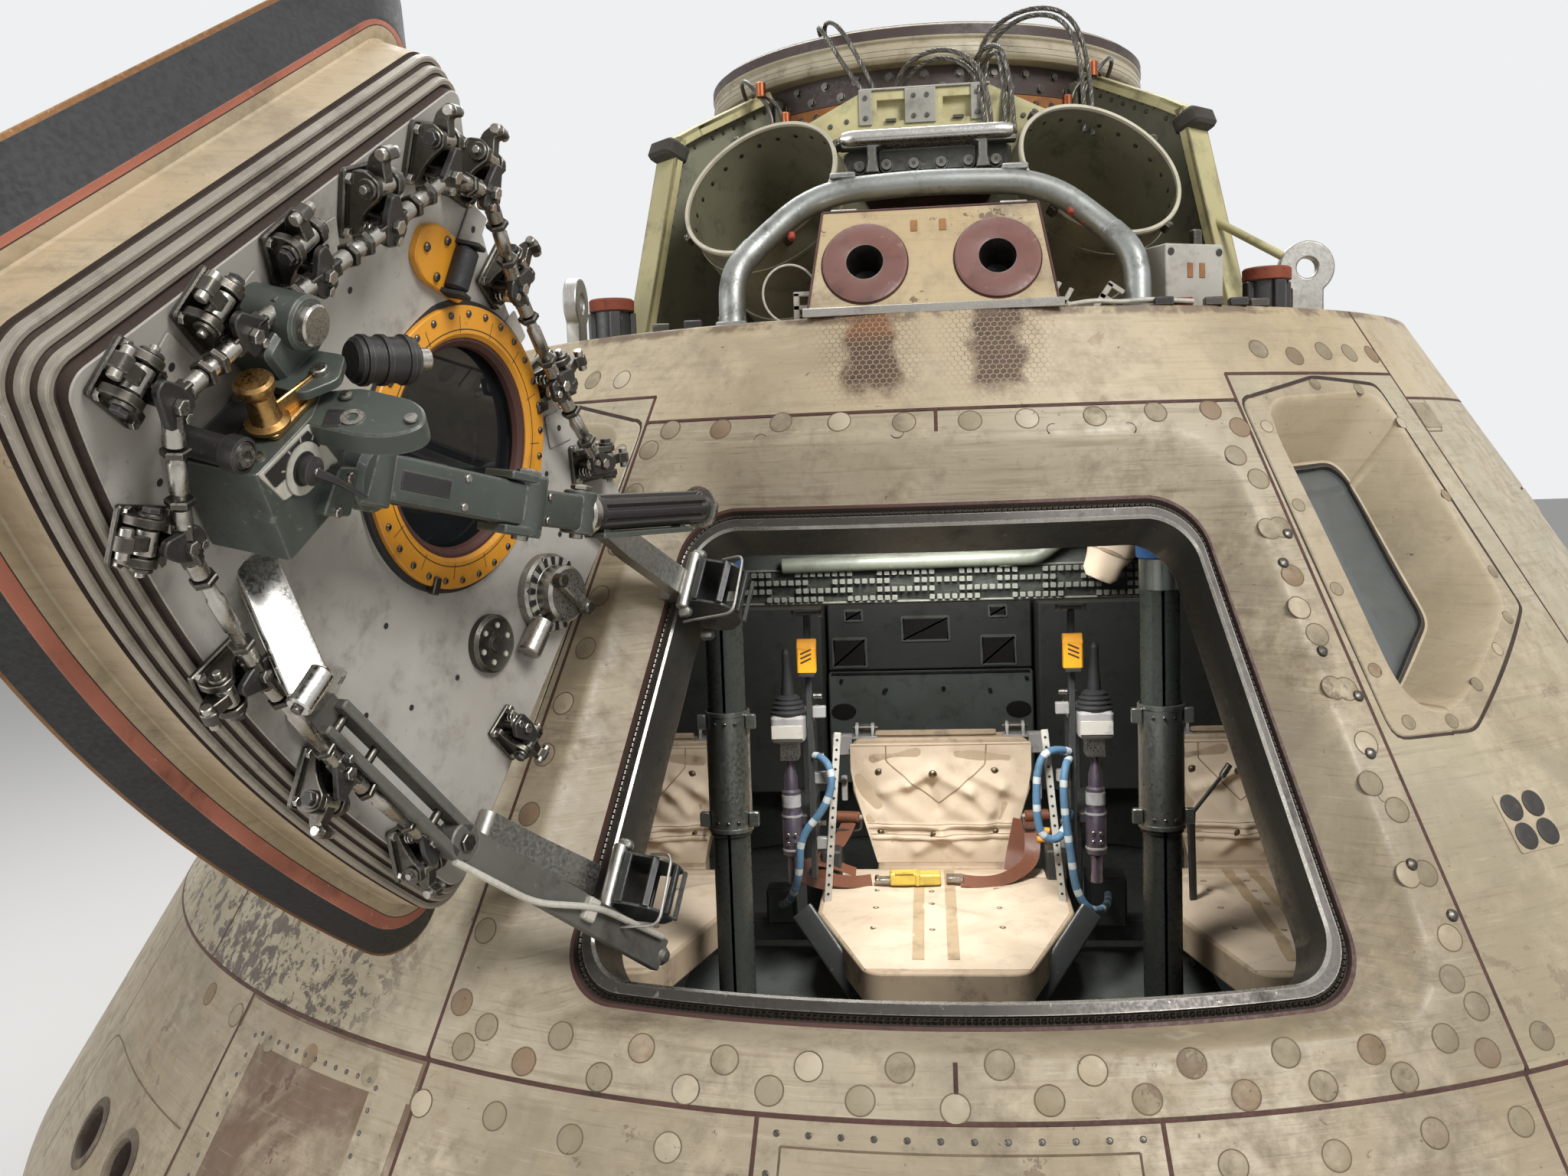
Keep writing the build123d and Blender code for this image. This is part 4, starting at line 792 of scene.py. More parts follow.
def burnt(g, tone, height):
    """Two scorched tongues under the thrusters, with open cells in and around them."""
    x, y, z = g.split(g.node("ShaderNodeTexCoord", out="Object"))
    ragged = g.math("MULTIPLY_ADD", g.noise(g.coords(), 26.0, 6.0, 0.7), 0.075, -0.037)
    side = g.math("ADD", g.math("ABSOLUTE", g.math("SUBTRACT", g.math("ABSOLUTE", x), BURN_X)), ragged)
    front = g.between(y, -0.7, -0.8)
    fall = g.math("ADD", z, ragged)
    tongue = g.math("MULTIPLY", g.between(side, BURN_WIDE, BURN_WIDE * 0.55), g.between(fall, 1.955, 1.99))
    tongue = g.math("MULTIPLY", tongue, front)
    halo = g.math("MULTIPLY", g.between(side, BURN_WIDE * 2.2, BURN_WIDE * 0.7), g.between(fall, 1.93, 2.03))
    halo = g.math("MULTIPLY", halo, front)
    flat = g.node("ShaderNodeCombineXYZ", {0: x, 1: g.math("DIVIDE", z, C)})
    walls = g.node("ShaderNodeGroup", {"Vector": flat, "Cell": CELL_SIZE, "Wall": CELL_WALL}, out="Walls",
                   node_tree=HONEYCOMB)
    char = g.mix(g.noise(g.coords(), 60.0, 6.0), rgb(46, 37, 31), rgb(92, 66, 48))
    rusty = g.math("MULTIPLY", g.between(z, 2.045, 2.085), g.between(x, 0.0, -0.03))
    char = g.mix(g.math("MULTIPLY", rusty, 0.7), char, rgb(128, 78, 44))
    tone = g.mix(g.math("MULTIPLY", g.math("MULTIPLY", walls, halo), 0.8), tone, rgb(98, 76, 54))
    tone = g.mix(tongue, tone, char)
    tone = g.mix(g.math("MULTIPLY", g.math("MULTIPLY", walls, tongue), 0.75), tone, rgb(176, 152, 116))
    rim = g.math("MULTIPLY", g.between(g.math("MULTIPLY_ADD", ragged, 0.25, z), 2.083, 2.091),
                 g.between(g.noise(g.coords(), 9.0, 6.0, 0.7), 0.42, 0.56))
    tone = g.mix(g.math("MULTIPLY", rim, 0.8), tone, rgb(92, 74, 58))
    height = g.math("ADD", height, g.math("MULTIPLY", g.math("MULTIPLY", walls, halo), 0.8))
    return tone, g.math("SUBTRACT", height, g.math("MULTIPLY", tongue, 0.8))


def flaked(g, tone, height):
    """Coat that has flaked off low on the left front, where a dark ground shows in ragged spots."""
    x, y, z = g.split(g.node("ShaderNodeTexCoord", out="Object"))
    side = g.math("MULTIPLY", g.between(x, -0.66, -0.86), g.between(y, -1.44, -1.38))
    high = g.math("MULTIPLY", g.between(z, 1.34, 1.16), g.between(z, 0.98, 1.06))
    spots = g.math("ADD", g.noise(g.coords(), 36.0, 9.0, 0.75, 0.3),
                   g.math("MULTIPLY", g.noise(g.coords(), 4.0), 0.3))
    spots = g.between(spots, 0.675, 0.695)
    bare = g.math("MULTIPLY", g.math("MULTIPLY", side, high), spots)
    tone = g.mix(g.math("MULTIPLY", bare, 0.9), tone, rgb(70, 58, 48))
    return tone, g.math("SUBTRACT", height, bare)


ablator = skin("weathered ablator", (170, 160, 137), extra=flaked)
frame_skin = skin("hatch surround", (168, 156, 134), grime=0.75, streaks=0.75, flakes=0.15)
deck_skin = skin("deck band", (182, 167, 139), grime=0.5, streaks=0.35, flakes=0.25, extra=burnt)
bay_skin = skin("window surround", (172, 159, 136), grime=0.65, streaks=0.4, flakes=0.15)
reveal_skin = skin("window reveal", (184, 170, 144), grime=0.3, streaks=0.3, flakes=0.1, rough=0.6)
lower_skin = skin("lower ablator", (158, 145, 122), grime=0.75, streaks=0.6, flakes=0.55)
bare_skin = skin("bare substrate", (104, 82, 62), grime=0.7, streaks=0.5, flakes=0.9, rough=0.6)
rear_skin = skin("lee side ablator", (190, 176, 150), grime=0.45, streaks=0.55, flakes=0.35)
plug_skin = skin("plug", (146, 135, 112), grime=0.95, streaks=0.1, flakes=0.5, rough=0.6)
# Dark brown for seams and small drawn marks, and also painted shade: it darkens the gap behind the hatch
# seal, the steps between the hatch's ribs, the hatch window's bore and the throats of the roll ports, where
# shade falls.
dark_marks_and_recess_shade = worn("dark marks and painted recess shade", (58, 44, 35), (40, 30, 24), rough=0.8, wear=0.2, dirt=0.6)
seal_red = worn("red-brown seal", (74, 42, 34), (60, 30, 24), rough=0.6, wear=0.4, dirt=0.5)
char = skin("charred shield", (62, 50, 41), grime=0.9, streaks=0.5, flakes=0.7, rough=0.75, bump=0.9)
print("skins ready, honeycomb cell", CELL_SIZE * 1000, "mm")

# %% [markdown]
# The panel round the hatch is the face of the whole capsule. It is one closed shell: the outer skin rolls
# over a soft shoulder, falls down a flare to the seal, steps over the flange and runs through the throat to
# the inside of the cabin. Every stage of that journey is a loop round the opening with straight sides and
# rounded corners, at its own depth, so the shell is a loft over a table of loops.

# %% Loops round the hatch opening
SIDE_STEPS, CORNER_STEPS = 30, 14


def opening_outline(azimuth, low, high, corner):
    """Azimuths and feet round a rounded loop. Corners are arcs in the wall's own surface: the radius is
    divided by the local radius of the cone for the azimuth, and multiplied by cos 33 for the foot."""
    quarter = np.linspace(0, np.pi / 2, CORNER_STEPS)
    angles, feet = [], []
    for number, (side, z) in enumerate(((1, low), (1, high), (-1, high), (-1, low))):
        theta = quarter + (number - 1) * np.pi / 2
        across = np.degrees(corner / cone_r(z))
        centre = side * (azimuth - across), z + (corner * C if z == low else -corner * C)
        angles.append(centre[0] + across * np.cos(theta))
        feet.append(centre[1] + corner * C * np.sin(theta))
    share = np.linspace(0, 1, SIDE_STEPS + 2)[1:-1]
    run_a = [a[-1] + share * (b[0] - a[-1]) for a, b in zip(angles, angles[1:] + angles[:1])]
    run_z = [a[-1] + share * (b[0] - a[-1]) for a, b in zip(feet, feet[1:] + feet[:1])]
    return (np.concatenate([x for pair in zip(angles, run_a) for x in pair]),
            np.concatenate([x for pair in zip(feet, run_z) for x in pair]))


def opening_loop(azimuth, low, high, corner, depth):
    """The same loop as points, at a depth in the wall."""
    return on_wall(*opening_outline(azimuth, low, high, corner), depth)


def banded(rings, marks):
    """Loft whose rows of faces carry their own finish numbers. Its last row joins the first."""
    made = joined(rings)
    quads = made.faces[0][0]
    marks = np.repeat(marks, len(quads) // len(rings))
    return Shape(made.points, [(quads[marks == number], int(number)) for number in np.unique(marks)])


def eased(start, end, drop, knee, count=14):
    """Rows from one loop to another whose depth starts level and then falls evenly: it is the square root of
    t squared plus the knee squared, less the knee, scaled to end at the full drop."""
    t = np.linspace(0, 1, count)
    fall = (np.sqrt(t ** 2 + knee ** 2) - knee) / (math.sqrt(1 + knee ** 2) - knee)
    return [tuple(a + (b - a) * step for a, b in zip(start, end)) + (drop[0] + (drop[1] - drop[0]) * f,)
            for step, f in zip(t, fall)]


SKIN_M, RED, GAP_SHADE_M, FLANGE, BRIGHT, THROAT_M, CABIN = range(7)
SHOULDER, LEDGE = (22.95, 1.155, 1.906, 0.104), (20.5, 1.190, 1.835, 0.088)
SURROUND = (  # half azimuth, low foot, high foot, corner, depth, finish of the row that follows
    (25.19, 1.0945, 1.9425, 0.004, WALL, SKIN_M),
    (25.19, 1.0945, 1.9425, 0.004, 0.004, SKIN_M),
    (25.10, 1.0970, 1.9400, 0.006, 0.000, SKIN_M),
    (24.00, 1.1250, 1.9230, 0.050, 0.000, SKIN_M),
    *[row + (SKIN_M,) for row in eased(SHOULDER, LEDGE, (0.0, 0.060), 0.22)][:-1],
    (*LEDGE, 0.060, RED),
    # The two rows after the red seal take the dark finish: painted shade down the gap between the seal and
    # the flange.
    (20.31, 1.1945, 1.8305, 0.086, 0.0605, GAP_SHADE_M),
    (20.25, 1.1970, 1.8280, 0.084, 0.068, GAP_SHADE_M),
    (19.93, 1.2050, 1.8200, 0.080, 0.068, FLANGE),
    (19.90, 1.2060, 1.8190, 0.080, 0.0620, FLANGE),
    (19.46, 1.2180, 1.8070, 0.074, 0.0625, BRIGHT),
    (19.32, 1.2215, 1.8035, 0.072, 0.0660, THROAT_M),
    (19.32, 1.2215, 1.8035, 0.072, 0.1000, THROAT_M),
    (19.32, 1.2215, 1.8035, 0.072, 0.1460, BRIGHT),
    (19.42, 1.2190, 1.8060, 0.074, WALL, CABIN),
)
flange_grey = worn("seal flange", (74, 70, 66), (150, 146, 138), rough=0.4, wear=0.7, dirt=0.5, metal=0.6,
                   bare_metal=1.0)
throat_grey = worn("throat", (96, 95, 90), (150, 148, 140), rough=0.38, wear=0.6, dirt=0.4, metal=0.7,
                   bare_metal=1.0)
surround = banded([opening_loop(*row[:5]) for row in SURROUND], [row[5] for row in SURROUND])
piece("hatch_surround", surround, "hull",
      [frame_skin, seal_red, dark_marks_and_recess_shade, flange_grey, bright_steel, throat_grey, cabin_grey],
      ["hatch_frame"])

# %% [markdown]
# Between the red seal and the flange lies a strip of small spring fingers. There are about four hundred, so
# each is a little bent tab of few faces, placed along the loop by one product of matrices.

# %% Spring fingers in the seal


def loop_frames(points, out):
    """One placement per point of a closed loop: X ahead along it, Z as given, and Y across."""
    ahead = unit(np.roll(points, -1, 0) - np.roll(points, 1, 0))
    z = unit(out - ahead * (out * ahead).sum(1, keepdims=True))
    made = np.zeros((len(points), 4, 4))
    made[:, :3, 0], made[:, :3, 1], made[:, :3, 2] = ahead, np.cross(z, ahead), z
    made[:, :3, 3], made[:, 3, 3] = points, 1
    return made


def wall_out(points):
    """Outward direction of the cone at points near it."""
    return unit(points * (1, 1, 0)) * C + (0, 0, S)


def distances(points):
    """Distance along a line from its first point to each: the lengths of its steps, added up."""
    return np.concatenate([[0], np.cumsum(np.linalg.norm(np.diff(points, axis=0), axis=1))])


def evenly(points, gap, loop=True):
    """Points at even distances along a polyline."""
    if loop:
        points = np.concatenate([points, points[:1]])
    along = distances(points)
    places = np.linspace(0, along[-1], max(2, round(along[-1] / gap)) + 1)
    if loop:
        places = places[:-1]
    return np.stack([np.interp(places, along, points[:, i]) for i in range(3)], -1)


finger_line = evenly(opening_loop(20.09, 1.2010, 1.8240, 0.082, 0.0668), 0.0085)
finger = Shape([(-.0028, -.0035, 0), (.0028, -.0035, 0), (.0028, 0, .0036), (-.0028, 0, .0036),
                (.0028, .0035, 0), (-.0028, .0035, 0)],
               [(np.array([[0, 1, 2, 3], [3, 2, 4, 5]]), 0), (np.array([[0, 3, 5], [1, 4, 2]]), 0)])
piece("spring_fingers", finger.repeated(loop_frames(finger_line, wall_out(finger_line))), "hull", [steel])

# %% [markdown]
# The window panels are loops too, but their outlines have five or seven corners and no common sides. Each
# outline is star shaped about the window's middle, so it can be told by one number for each direction: the
# distance at which a ray from the middle meets the nearest edge. Outlines told that way can be blended.

# %% Loops round a window


class Bay:
    """Flat map of the wall round a point: x is azimuth times the local radius, y is height over cos 33."""

    def __init__(self, azimuth, foot):
        """Keep the middle, and even directions round it."""
        self.azimuth, self.foot = azimuth, foot
        self.angles = np.linspace(0, 2 * np.pi, 240, endpoint=False)

    def flat(self, corners):
        """Places of azimuth and foot on the flat map."""
        corners = np.asarray(corners, float)
        return np.stack([np.radians(corners[:, 0] - self.azimuth) * cone_r(corners[:, 1]),
                         (corners[:, 1] - self.foot) / C], -1)

    def reach(self, corners, soften=0.0):
        """Distance to the outline in each direction. A ray from the middle along d meets the edge e that
        starts at p at p cross e over d cross e. A moving mean may soften it, which rounds corners."""
        p = self.flat(corners)
        edge = np.roll(p, -1, 0) - p
        d = np.stack([np.cos(self.angles), np.sin(self.angles)], -1)
        over = d[:, None, 0] * edge[None, :, 1] - d[:, None, 1] * edge[None, :, 0]
        far = (p[:, 0] * edge[:, 1] - p[:, 1] * edge[:, 0])[None] / over
        share = (d[:, None, 0] * p[None, :, 1] - d[:, None, 1] * p[None, :, 0]) / -over
        good = (far > 0) & (share > -1e-9) & (share < 1 + 1e-9)
        made = np.where(good, far, np.inf).min(1)
        if soften:
            width = max(1, int(soften / 360 * len(made)))
            kernel = np.hanning(2 * width + 3)[1:-1]
            padded = np.concatenate([made[-width:], made, made[:width]])
            made = np.convolve(padded, kernel / kernel.sum(), "valid")
        return made

    def loop(self, reach, depth):
        """Points on the wall at those distances, at a depth."""
        foot = self.foot + reach * np.sin(self.angles) * C
        return on_wall(self.azimuth + np.degrees(reach * np.cos(self.angles) / cone_r(foot)), foot, depth)

    def add_corners(self, corners):
        """Take in the exact directions of an outline's corners, so that they stay sharp."""
        p = self.flat(corners)
        exact = np.mod(np.arctan2(p[:, 1], p[:, 0]), 2 * np.pi)
        self.angles = np.unique(np.concatenate([self.angles, exact]))


WALL_ROWS = 7
MOUTH_SCALE, PANE_SCALE, PANE_DEPTH, SOFTEN = 1.035, 0.80, 0.106, 14


def window_bay(centre, border, seam, opening, edge_depth=WALL):
    """Wall panel with a framed, tapered window reveal: border, plate seam, shoulder, reveal and back."""
    bay = Bay(*centre)
    bay.add_corners(border)
    edge, plate, hole = bay.reach(border), bay.reach(seam, 3), bay.reach(opening, SOFTEN)
    between = np.linspace(0, 1, WALL_ROWS + 2)[1:-1]
    rows = [(edge, edge_depth, 0), (edge, 0.004, 0), (edge - 0.003, 0.0, 0)]
    rows += [(edge - 0.003 + (plate + 0.009 - edge) * share, 0.0, 0) for share in between]
    rows += [(plate + 0.006, 0.0, 0), (plate + 0.003, 0.0, 1), (plate, 0.0018, 1), (plate - 0.003, 0.0018, 2),
             (plate - 0.005, 0.0, 2)]
    mouth, pane = hole * MOUTH_SCALE, hole * PANE_SCALE
    for share, fall in ((0.0, 0.0), (0.06, 0.002), (0.14, 0.008), (0.24, 0.018), (0.5, 0.045),
                        (1.0, PANE_DEPTH)):
        rows.append((mouth + (pane - mouth) * share, fall, 3))
    rows += [(pane - 0.004, PANE_DEPTH + 0.002, 4), (pane - 0.012, PANE_DEPTH + 0.002, 4)]
    rim = mouth + 0.008
    rows += [(pane - 0.013, PANE_DEPTH + 0.016, 5), (pane + 0.003, PANE_DEPTH + 0.016, 5),
             (pane + (rim - pane) * 0.6, 0.062, 5)]
    rows += [(rim + (edge - rim) * share, edge_depth * 0.75, 5) for share in between]
    return banded([bay.loop(reach, depth) for reach, depth, _ in rows], [mark for _, _, mark in rows])


bay_finishes = [ablator, dark_marks_and_recess_shade, bay_skin, reveal_skin, flange_grey, cabin_grey]
FRONT_BORDER = ((25.21, 1.0945), (46.99, 1.0945), (46.99, 1.9845), (25.21, 1.9845))
FRONT_SEAM = ((25.6, 1.944), (34.7, 1.979), (43.3, 1.966), (43.8, 1.605), (40.1, 1.561), (32.1, 1.46),
              (25.9, 1.463))
FRONT_OPENING = ((28.0, 1.937), (42.9, 1.948), (41.9, 1.618), (31.3, 1.492), (28.2, 1.500))
SIDE_BORDER = ((47.01, 1.0945), (99.99, 1.0945), (99.99, 1.9425), (47.01, 1.9425))
SIDE_AZ, SIDE_FOOT, SIDE_HALF, PLATE_SCALE = 72, 1.59, 0.165, 1.34
half_az, half_foot = math.degrees(SIDE_HALF / cone_r(SIDE_FOOT)), SIDE_HALF * C
square = [(SIDE_AZ + across * half_az, SIDE_FOOT + up * half_foot)
          for across, up in ((-1, -1), (1, -1), (1, 1), (-1, 1))]
plate = [(SIDE_AZ + (az - SIDE_AZ) * PLATE_SCALE, SIDE_FOOT + (z - SIDE_FOOT) * PLATE_SCALE)
         for az, z in square]


def mirrored(corners, sign):
    """Azimuths times the sign, in the order that keeps the turning sense."""
    return [(sign * azimuth, foot) for azimuth, foot in corners][::sign]


for name, sign in (("right", 1), ("left", -1)):
    for bay, wall, centre, outlines, edge_depth in (
            ("window_bay", "window_wall", (35.0, 1.715), (FRONT_BORDER, FRONT_SEAM, FRONT_OPENING), 0.044),
            ("side_bay", "side_wall", (SIDE_AZ, SIDE_FOOT), (SIDE_BORDER, plate, square), WALL)):
        panel = window_bay((sign * centre[0], centre[1]), *[mirrored(line, sign) for line in outlines],
                           edge_depth)
        piece(f"{bay}_{name}", panel, "hull", bay_finishes, [f"{wall}_{name}"])

# %% [markdown]
# The remaining wall panels, the deck and the shield have no soft shapes, so their own solids serve: copies
# with joined faces, edges rounded by three millimetres so that every joint reads as a groove.

# %% Panels that keep their solid form
PANELS = (  # node, finish
    ("lower_panel_centre", lower_skin), ("lower_panel_right_inner", lower_skin),
    ("lower_panel_left_inner", lower_skin), ("lower_panel_right", lower_skin),
    ("lower_panel_left", lower_skin), ("lower_panel_rear_right", rear_skin),
    ("lower_panel_rear_left", rear_skin), ("rear_wall_right", rear_skin), ("rear_wall_left", rear_skin),
    ("deck_front", deck_skin), ("deck_right", deck_skin), ("deck_left", deck_skin), ("deck_rear", deck_skin),
)
for node, finish in PANELS:
    dressed(node, finish, "weathered_ablator", 0.003)
dressed("lower_panel_left_bare", bare_skin, "bare_substrate", 0.003)
dressed("aft_heat_shield", char, "charred_shield", 0.004)
PLAIN = (  # node, finish, slot, bevel
    ("forward_hatch", grey_paint, "brown_primer", 0.002), ("leg_sockets", dark_frame, "dark_steel", 0.0015),
    ("lifting_eyes", worn_aluminium, "worn_aluminium", 0.003), ("deck_box", grey_paint, "grey_paint", 0.003),
    ("couch_frame", dark_frame, "dark_frame", 0.003), ("struts", dark_frame, "strut_tube", 0.002),
    ("equipment_bay", cabin_grey, "cabin_grey", 0.004), ("display_console", cabin_grey, "cabin_grey", 0.004),
    ("cabin_floor", cabin_grey, "cabin_grey", 0.002), ("hinge_pins", steel, "dark_steel", 0.001),
    ("hinge_arms", worn_aluminium, "worn_aluminium", 0.002),
)
for row in PLAIN:
    dressed(*row)
print("dressed solids:", len(PANELS) + len(PLAIN) + 2)

# %% [markdown]
# The open hatch is drawn closed, where it is a plain copy of the opening, and then swung about its hinge
# line by one matrix. Its shell runs from the window's bore over the outer skin to the edge, down the flared
# edge with its black seal band, across the red ledge, up the side of the raised inner part, over three ribs,
# and across the inner face back to the window. Loops near the window turn into circles: each point moves
# along its own ray from the window's middle.

# %% Shell of the open hatch
WINDOW = (-1.5, 1.610)
WINDOW_HOLE, RING_OUT, RING_SEAT = 0.131, 0.172, 0.006


def window_rays(outline):
    """Direction cosines and distance from the window's middle to each place of an outline."""
    x = np.radians(outline[0] - WINDOW[0]) * cone_r(outline[1])
    y = (outline[1] - WINDOW[1]) / C
    far = np.hypot(x, y)
    return x / far, y / far, far


def toward_window(outline, radius, share, depth):
    """Loop on the wall that is a share of the way from an outline to the window's circle."""
    x, y, far = window_rays(outline)
    reach = far + (radius - far) * share
    foot = WINDOW[1] + y * reach * C
    return on_wall(WINDOW[0] + np.degrees(x * reach / cone_r(foot)), foot, depth)


def window_circle(outline, radius, depth):
    """Flat circle round the window at a depth under the tangent plane, with the outline's directions."""
    x, y, _ = window_rays(outline)
    place = wall_matrix(*WINDOW)
    points = np.stack([x * radius, y * radius, np.full(len(x), -depth)], -1)
    return points @ place[:3, :3].T + place[:3, 3]


INNER_AZ, INNER_LOW, INNER_HIGH, INNER_CORNER, INNER_RADIUS = 18.968, 1.2287, 1.7963, 0.050, 1.38


def raised(gap, depth, mark):
    """Row of the raised inner part: its outline drawn in by a gap, at a depth. The gap over the radius is
    taken from the azimuth, the gap times cos 33 from the feet."""
    return (INNER_AZ - math.degrees(gap / INNER_RADIUS), INNER_LOW + gap * C, INNER_HIGH - gap * C,
            INNER_CORNER - gap * 0.8, depth, mark)


def between_rows(start, end, share, mark):
    """Row that is a share of the way between two."""
    return tuple(a + (b - a) * share for a, b in zip(start[:5], end[:5])) + (mark,)


OUT, EDGE_HIGHLIGHT, BLACK, SALMON, BEIGE_M, LINE_AND_STEP_SHADE, RIB, FACE, BORE = range(9)
RIM, FOOT = (21.885, 1.1764, 1.8816, 0.085, 0.003), (20.085, 1.1984, 1.8216, 0.085, 0.052)
# Rows marked as lines take the dark finish: a thin dark line where the salmon ledge meets the beige side, and
# painted shade on the steps up to the first rib, between the ribs and up to the inner face. The bore rows
# round the window take it too, as painted shade down the hole.
EDGE_ROWS = [
    (21.72, 1.1798, 1.8792, 0.083, 0.0, OUT),
    *[between_rows(RIM, FOOT, share, mark) for share, mark in
      ((0.0, EDGE_HIGHLIGHT), (0.09, BLACK), (0.35, BLACK), (0.62, BLACK), (0.93, BLACK), (1.0, SALMON))],
    raised(-0.0180, 0.0525, LINE_AND_STEP_SHADE), raised(-0.0168, 0.0530, BEIGE_M), raised(-0.002, 0.0535, BEIGE_M),
    raised(0.0, 0.0560, BEIGE_M), raised(0.0, 0.1020, LINE_AND_STEP_SHADE),
    raised(0.004, 0.1035, LINE_AND_STEP_SHADE), raised(0.004, 0.1085, RIB),
]
for step, top in enumerate((0.120, 0.133, 0.146)):
    start = step * 0.010
    EDGE_ROWS += [raised(start, top - 0.009, RIB), raised(start, top - 0.0015, RIB),
                  raised(start + 0.002, top, RIB), raised(start + 0.0065, top, RIB),
                  raised(start + 0.0080, top - 0.002, LINE_AND_STEP_SHADE)]
EDGE_ROWS += [raised(0.031, 0.1440, LINE_AND_STEP_SHADE), raised(0.0315, 0.1555, FACE)]
face_row = raised(0.033, HATCH_DEPTH, FACE)
skin_outline, face_outline = opening_outline(*EDGE_ROWS[0][:4]), opening_outline(*face_row[:4])

rings, marks = [], []
for share in (1.0, 0.92, 0.75, 0.5, 0.25):
    rings.append(toward_window(skin_outline, WINDOW_HOLE, share, 0.0))
    marks.append(OUT)
for row in EDGE_ROWS + [face_row]:
    rings.append(opening_loop(*row[:5]))
    marks.append(row[5])
for share in (0.15, 0.4, 0.65, 0.88, 1.0):
    rings.append(toward_window(face_outline, RING_OUT + 0.008, share, HATCH_DEPTH))
    marks.append(FACE)
for radius, depth in ((RING_OUT + 0.006, HATCH_DEPTH + RING_SEAT), (WINDOW_HOLE, HATCH_DEPTH + RING_SEAT),
                      (WINDOW_HOLE, 0.10), (WINDOW_HOLE, 0.02)):
    rings.append(window_circle(face_outline, radius, depth))
    marks.append(BORE)
marks[-5] = FACE

hatch_paint = worn("hatch panel paint", (176, 172, 164), (112, 104, 92), (84, 76, 66), rough=0.46, wear=0.5,
                   dirt=0.45, edge=0.002)
salmon = worn("salmon seal land", (176, 108, 88), (204, 160, 138), (92, 60, 48), rough=0.55, wear=0.7,
              dirt=0.6)
# Painted highlight: a narrow band of bronze metal along the hatch's outer edge, standing in for the bright
# line that light draws along that edge.
edge_highlight_metal = worn("painted edge highlight", (134, 98, 66), (180, 150, 112), rough=0.4, wear=0.6, dirt=0.4, metal=0.8,
              bare_metal=1.0)
rib_grey = worn("seal ribs", (160, 153, 140), (196, 190, 180), rough=0.4, wear=0.7, dirt=0.4, metal=0.2,
                bare_metal=1.0, edge=0.0015)
beige_side = skin("hatch side", (188, 172, 146), grime=0.55, streaks=0.35, flakes=0.2, rough=0.5, bump=0.3)
shell = banded(rings, marks)
piece("hatch_shell", shell.at(OPEN), "hatch",
      [ablator, edge_highlight_metal, rubber_and_hole_shade, salmon, beige_side, dark_marks_and_recess_shade, rib_grey, hatch_paint, dark_marks_and_recess_shade],
      ["hatch_shield", "hatch_panel"])

# %% [markdown]
# The hatch is held by a ring of latches. Each one is a pair of cheeks with a roller between them, a dog that
# hooks over the jamb, and a bell crank that a push rod turns. All are alike, so one latch is drawn in its own
# frame, with Y towards the edge of the hatch, and placed fourteen times.

# %% Latches


def plate_yz(outline, thick, x=0.0, finish=0, bevel=0.0008):
    """Plate whose outline lies in the YZ plane, centred at X."""
    made = slab(outline, -thick / 2, thick / 2, bevel, finish)
    return made.at(placed((0, 1, 0), (0, 0, 1), (1, 0, 0), (x, 0, 0)))


def pin_x(radius, long, y, z, finish=0):
    """Round pin along X."""
    return rod(radius, -long / 2, long / 2, radius * 0.15, 16, finish).at(move(0, y, z), turn("Y", 90))


CHEEK = rounded([(-.025, .004), (.024, .004), (.033, .010), (.034, .024), (.027, .036), (.014, .037),
                 (.002, .026), (-.012, .018), (-.025, .014)], .004, 3)
DOG = rounded([(.006, .014), (.022, .012), (.044, .016), (.056, .026), (.055, .036), (.047, .040),
               (.042, .030), (.026, .034), (.012, .032)], .003, 3)
CRANK = rounded([(-.012, -.030), (.010, -.032), (.020, -.018), (.012, -.002), (.004, .016), (-.008, .016),
                 (-.014, -.004)], .005, 3)


def latch(turned_over=1.0):
    """One latch: base, cheeks, roller, dog, crank, rod pin and bolts. Finishes: dark steel, bright, black."""
    base = block(.052, .062, .006, .0012, 0, .004).at(move(0, .002, 0))
    feet = [hexagon(.009, .006, .011, 1).at(move(x, y, 0)) for x in (-.021, .021) for y in (-.023, .025)]
    cheeks = [plate_yz(CHEEK, .008, x, 0) for x in (-.0165, .0165)]
    bosses = [rod(.0095, 0, .004, .001, 18, 0).at(move(x, .020, .026), turn("Y", 90 if x > 0 else -90))
              for x in (-.0205, .0205)]
    roller = pin_x(.0088, .023, .020, .026, 1)
    axle = pin_x(.0040, .058, .020, .026, 1)
    nut = hexagon(.013, 0, .005, 2).at(move(turned_over * .0245, .020, .026), turn("Y", 90 * turned_over))
    dog = plate_yz(DOG, .013, 0.0, 0)
    tip = pin_x(.0055, .026, .049, .031, 1)
    crank = slab(CRANK, .036, .043, .001, 2)
    if turned_over < 0:
        crank = flipped(crank.at(stretch(-1, 1, 1)))
    stem = rod(.0062, .006, .040, .001, 16, 0).at(move(0, -.012, 0))
    cap = hexagon(.012, .043, .049, 1).at(move(0, -.012, 0))
    eye = rod(.0075, .030, .036, .001, 16, 1).at(move(turned_over * .001, -.024, 0))
    small = hexagon(.008, .043, .047, 1).at(move(turned_over * .003, -.026, 0))
    spring = sweep([(math.cos(a) * .0052 + turned_over * -.010, math.sin(a) * .0052 - .018, .007 + a * .00085)
                    for a in np.linspace(0, 8 * math.pi, 66)], circle(.0012, 6), finish=1)
    return total([base, *feet, *cheeks, *bosses, roller, axle, nut, dog, tip, crank, stem, cap, eye, small,
                  spring])


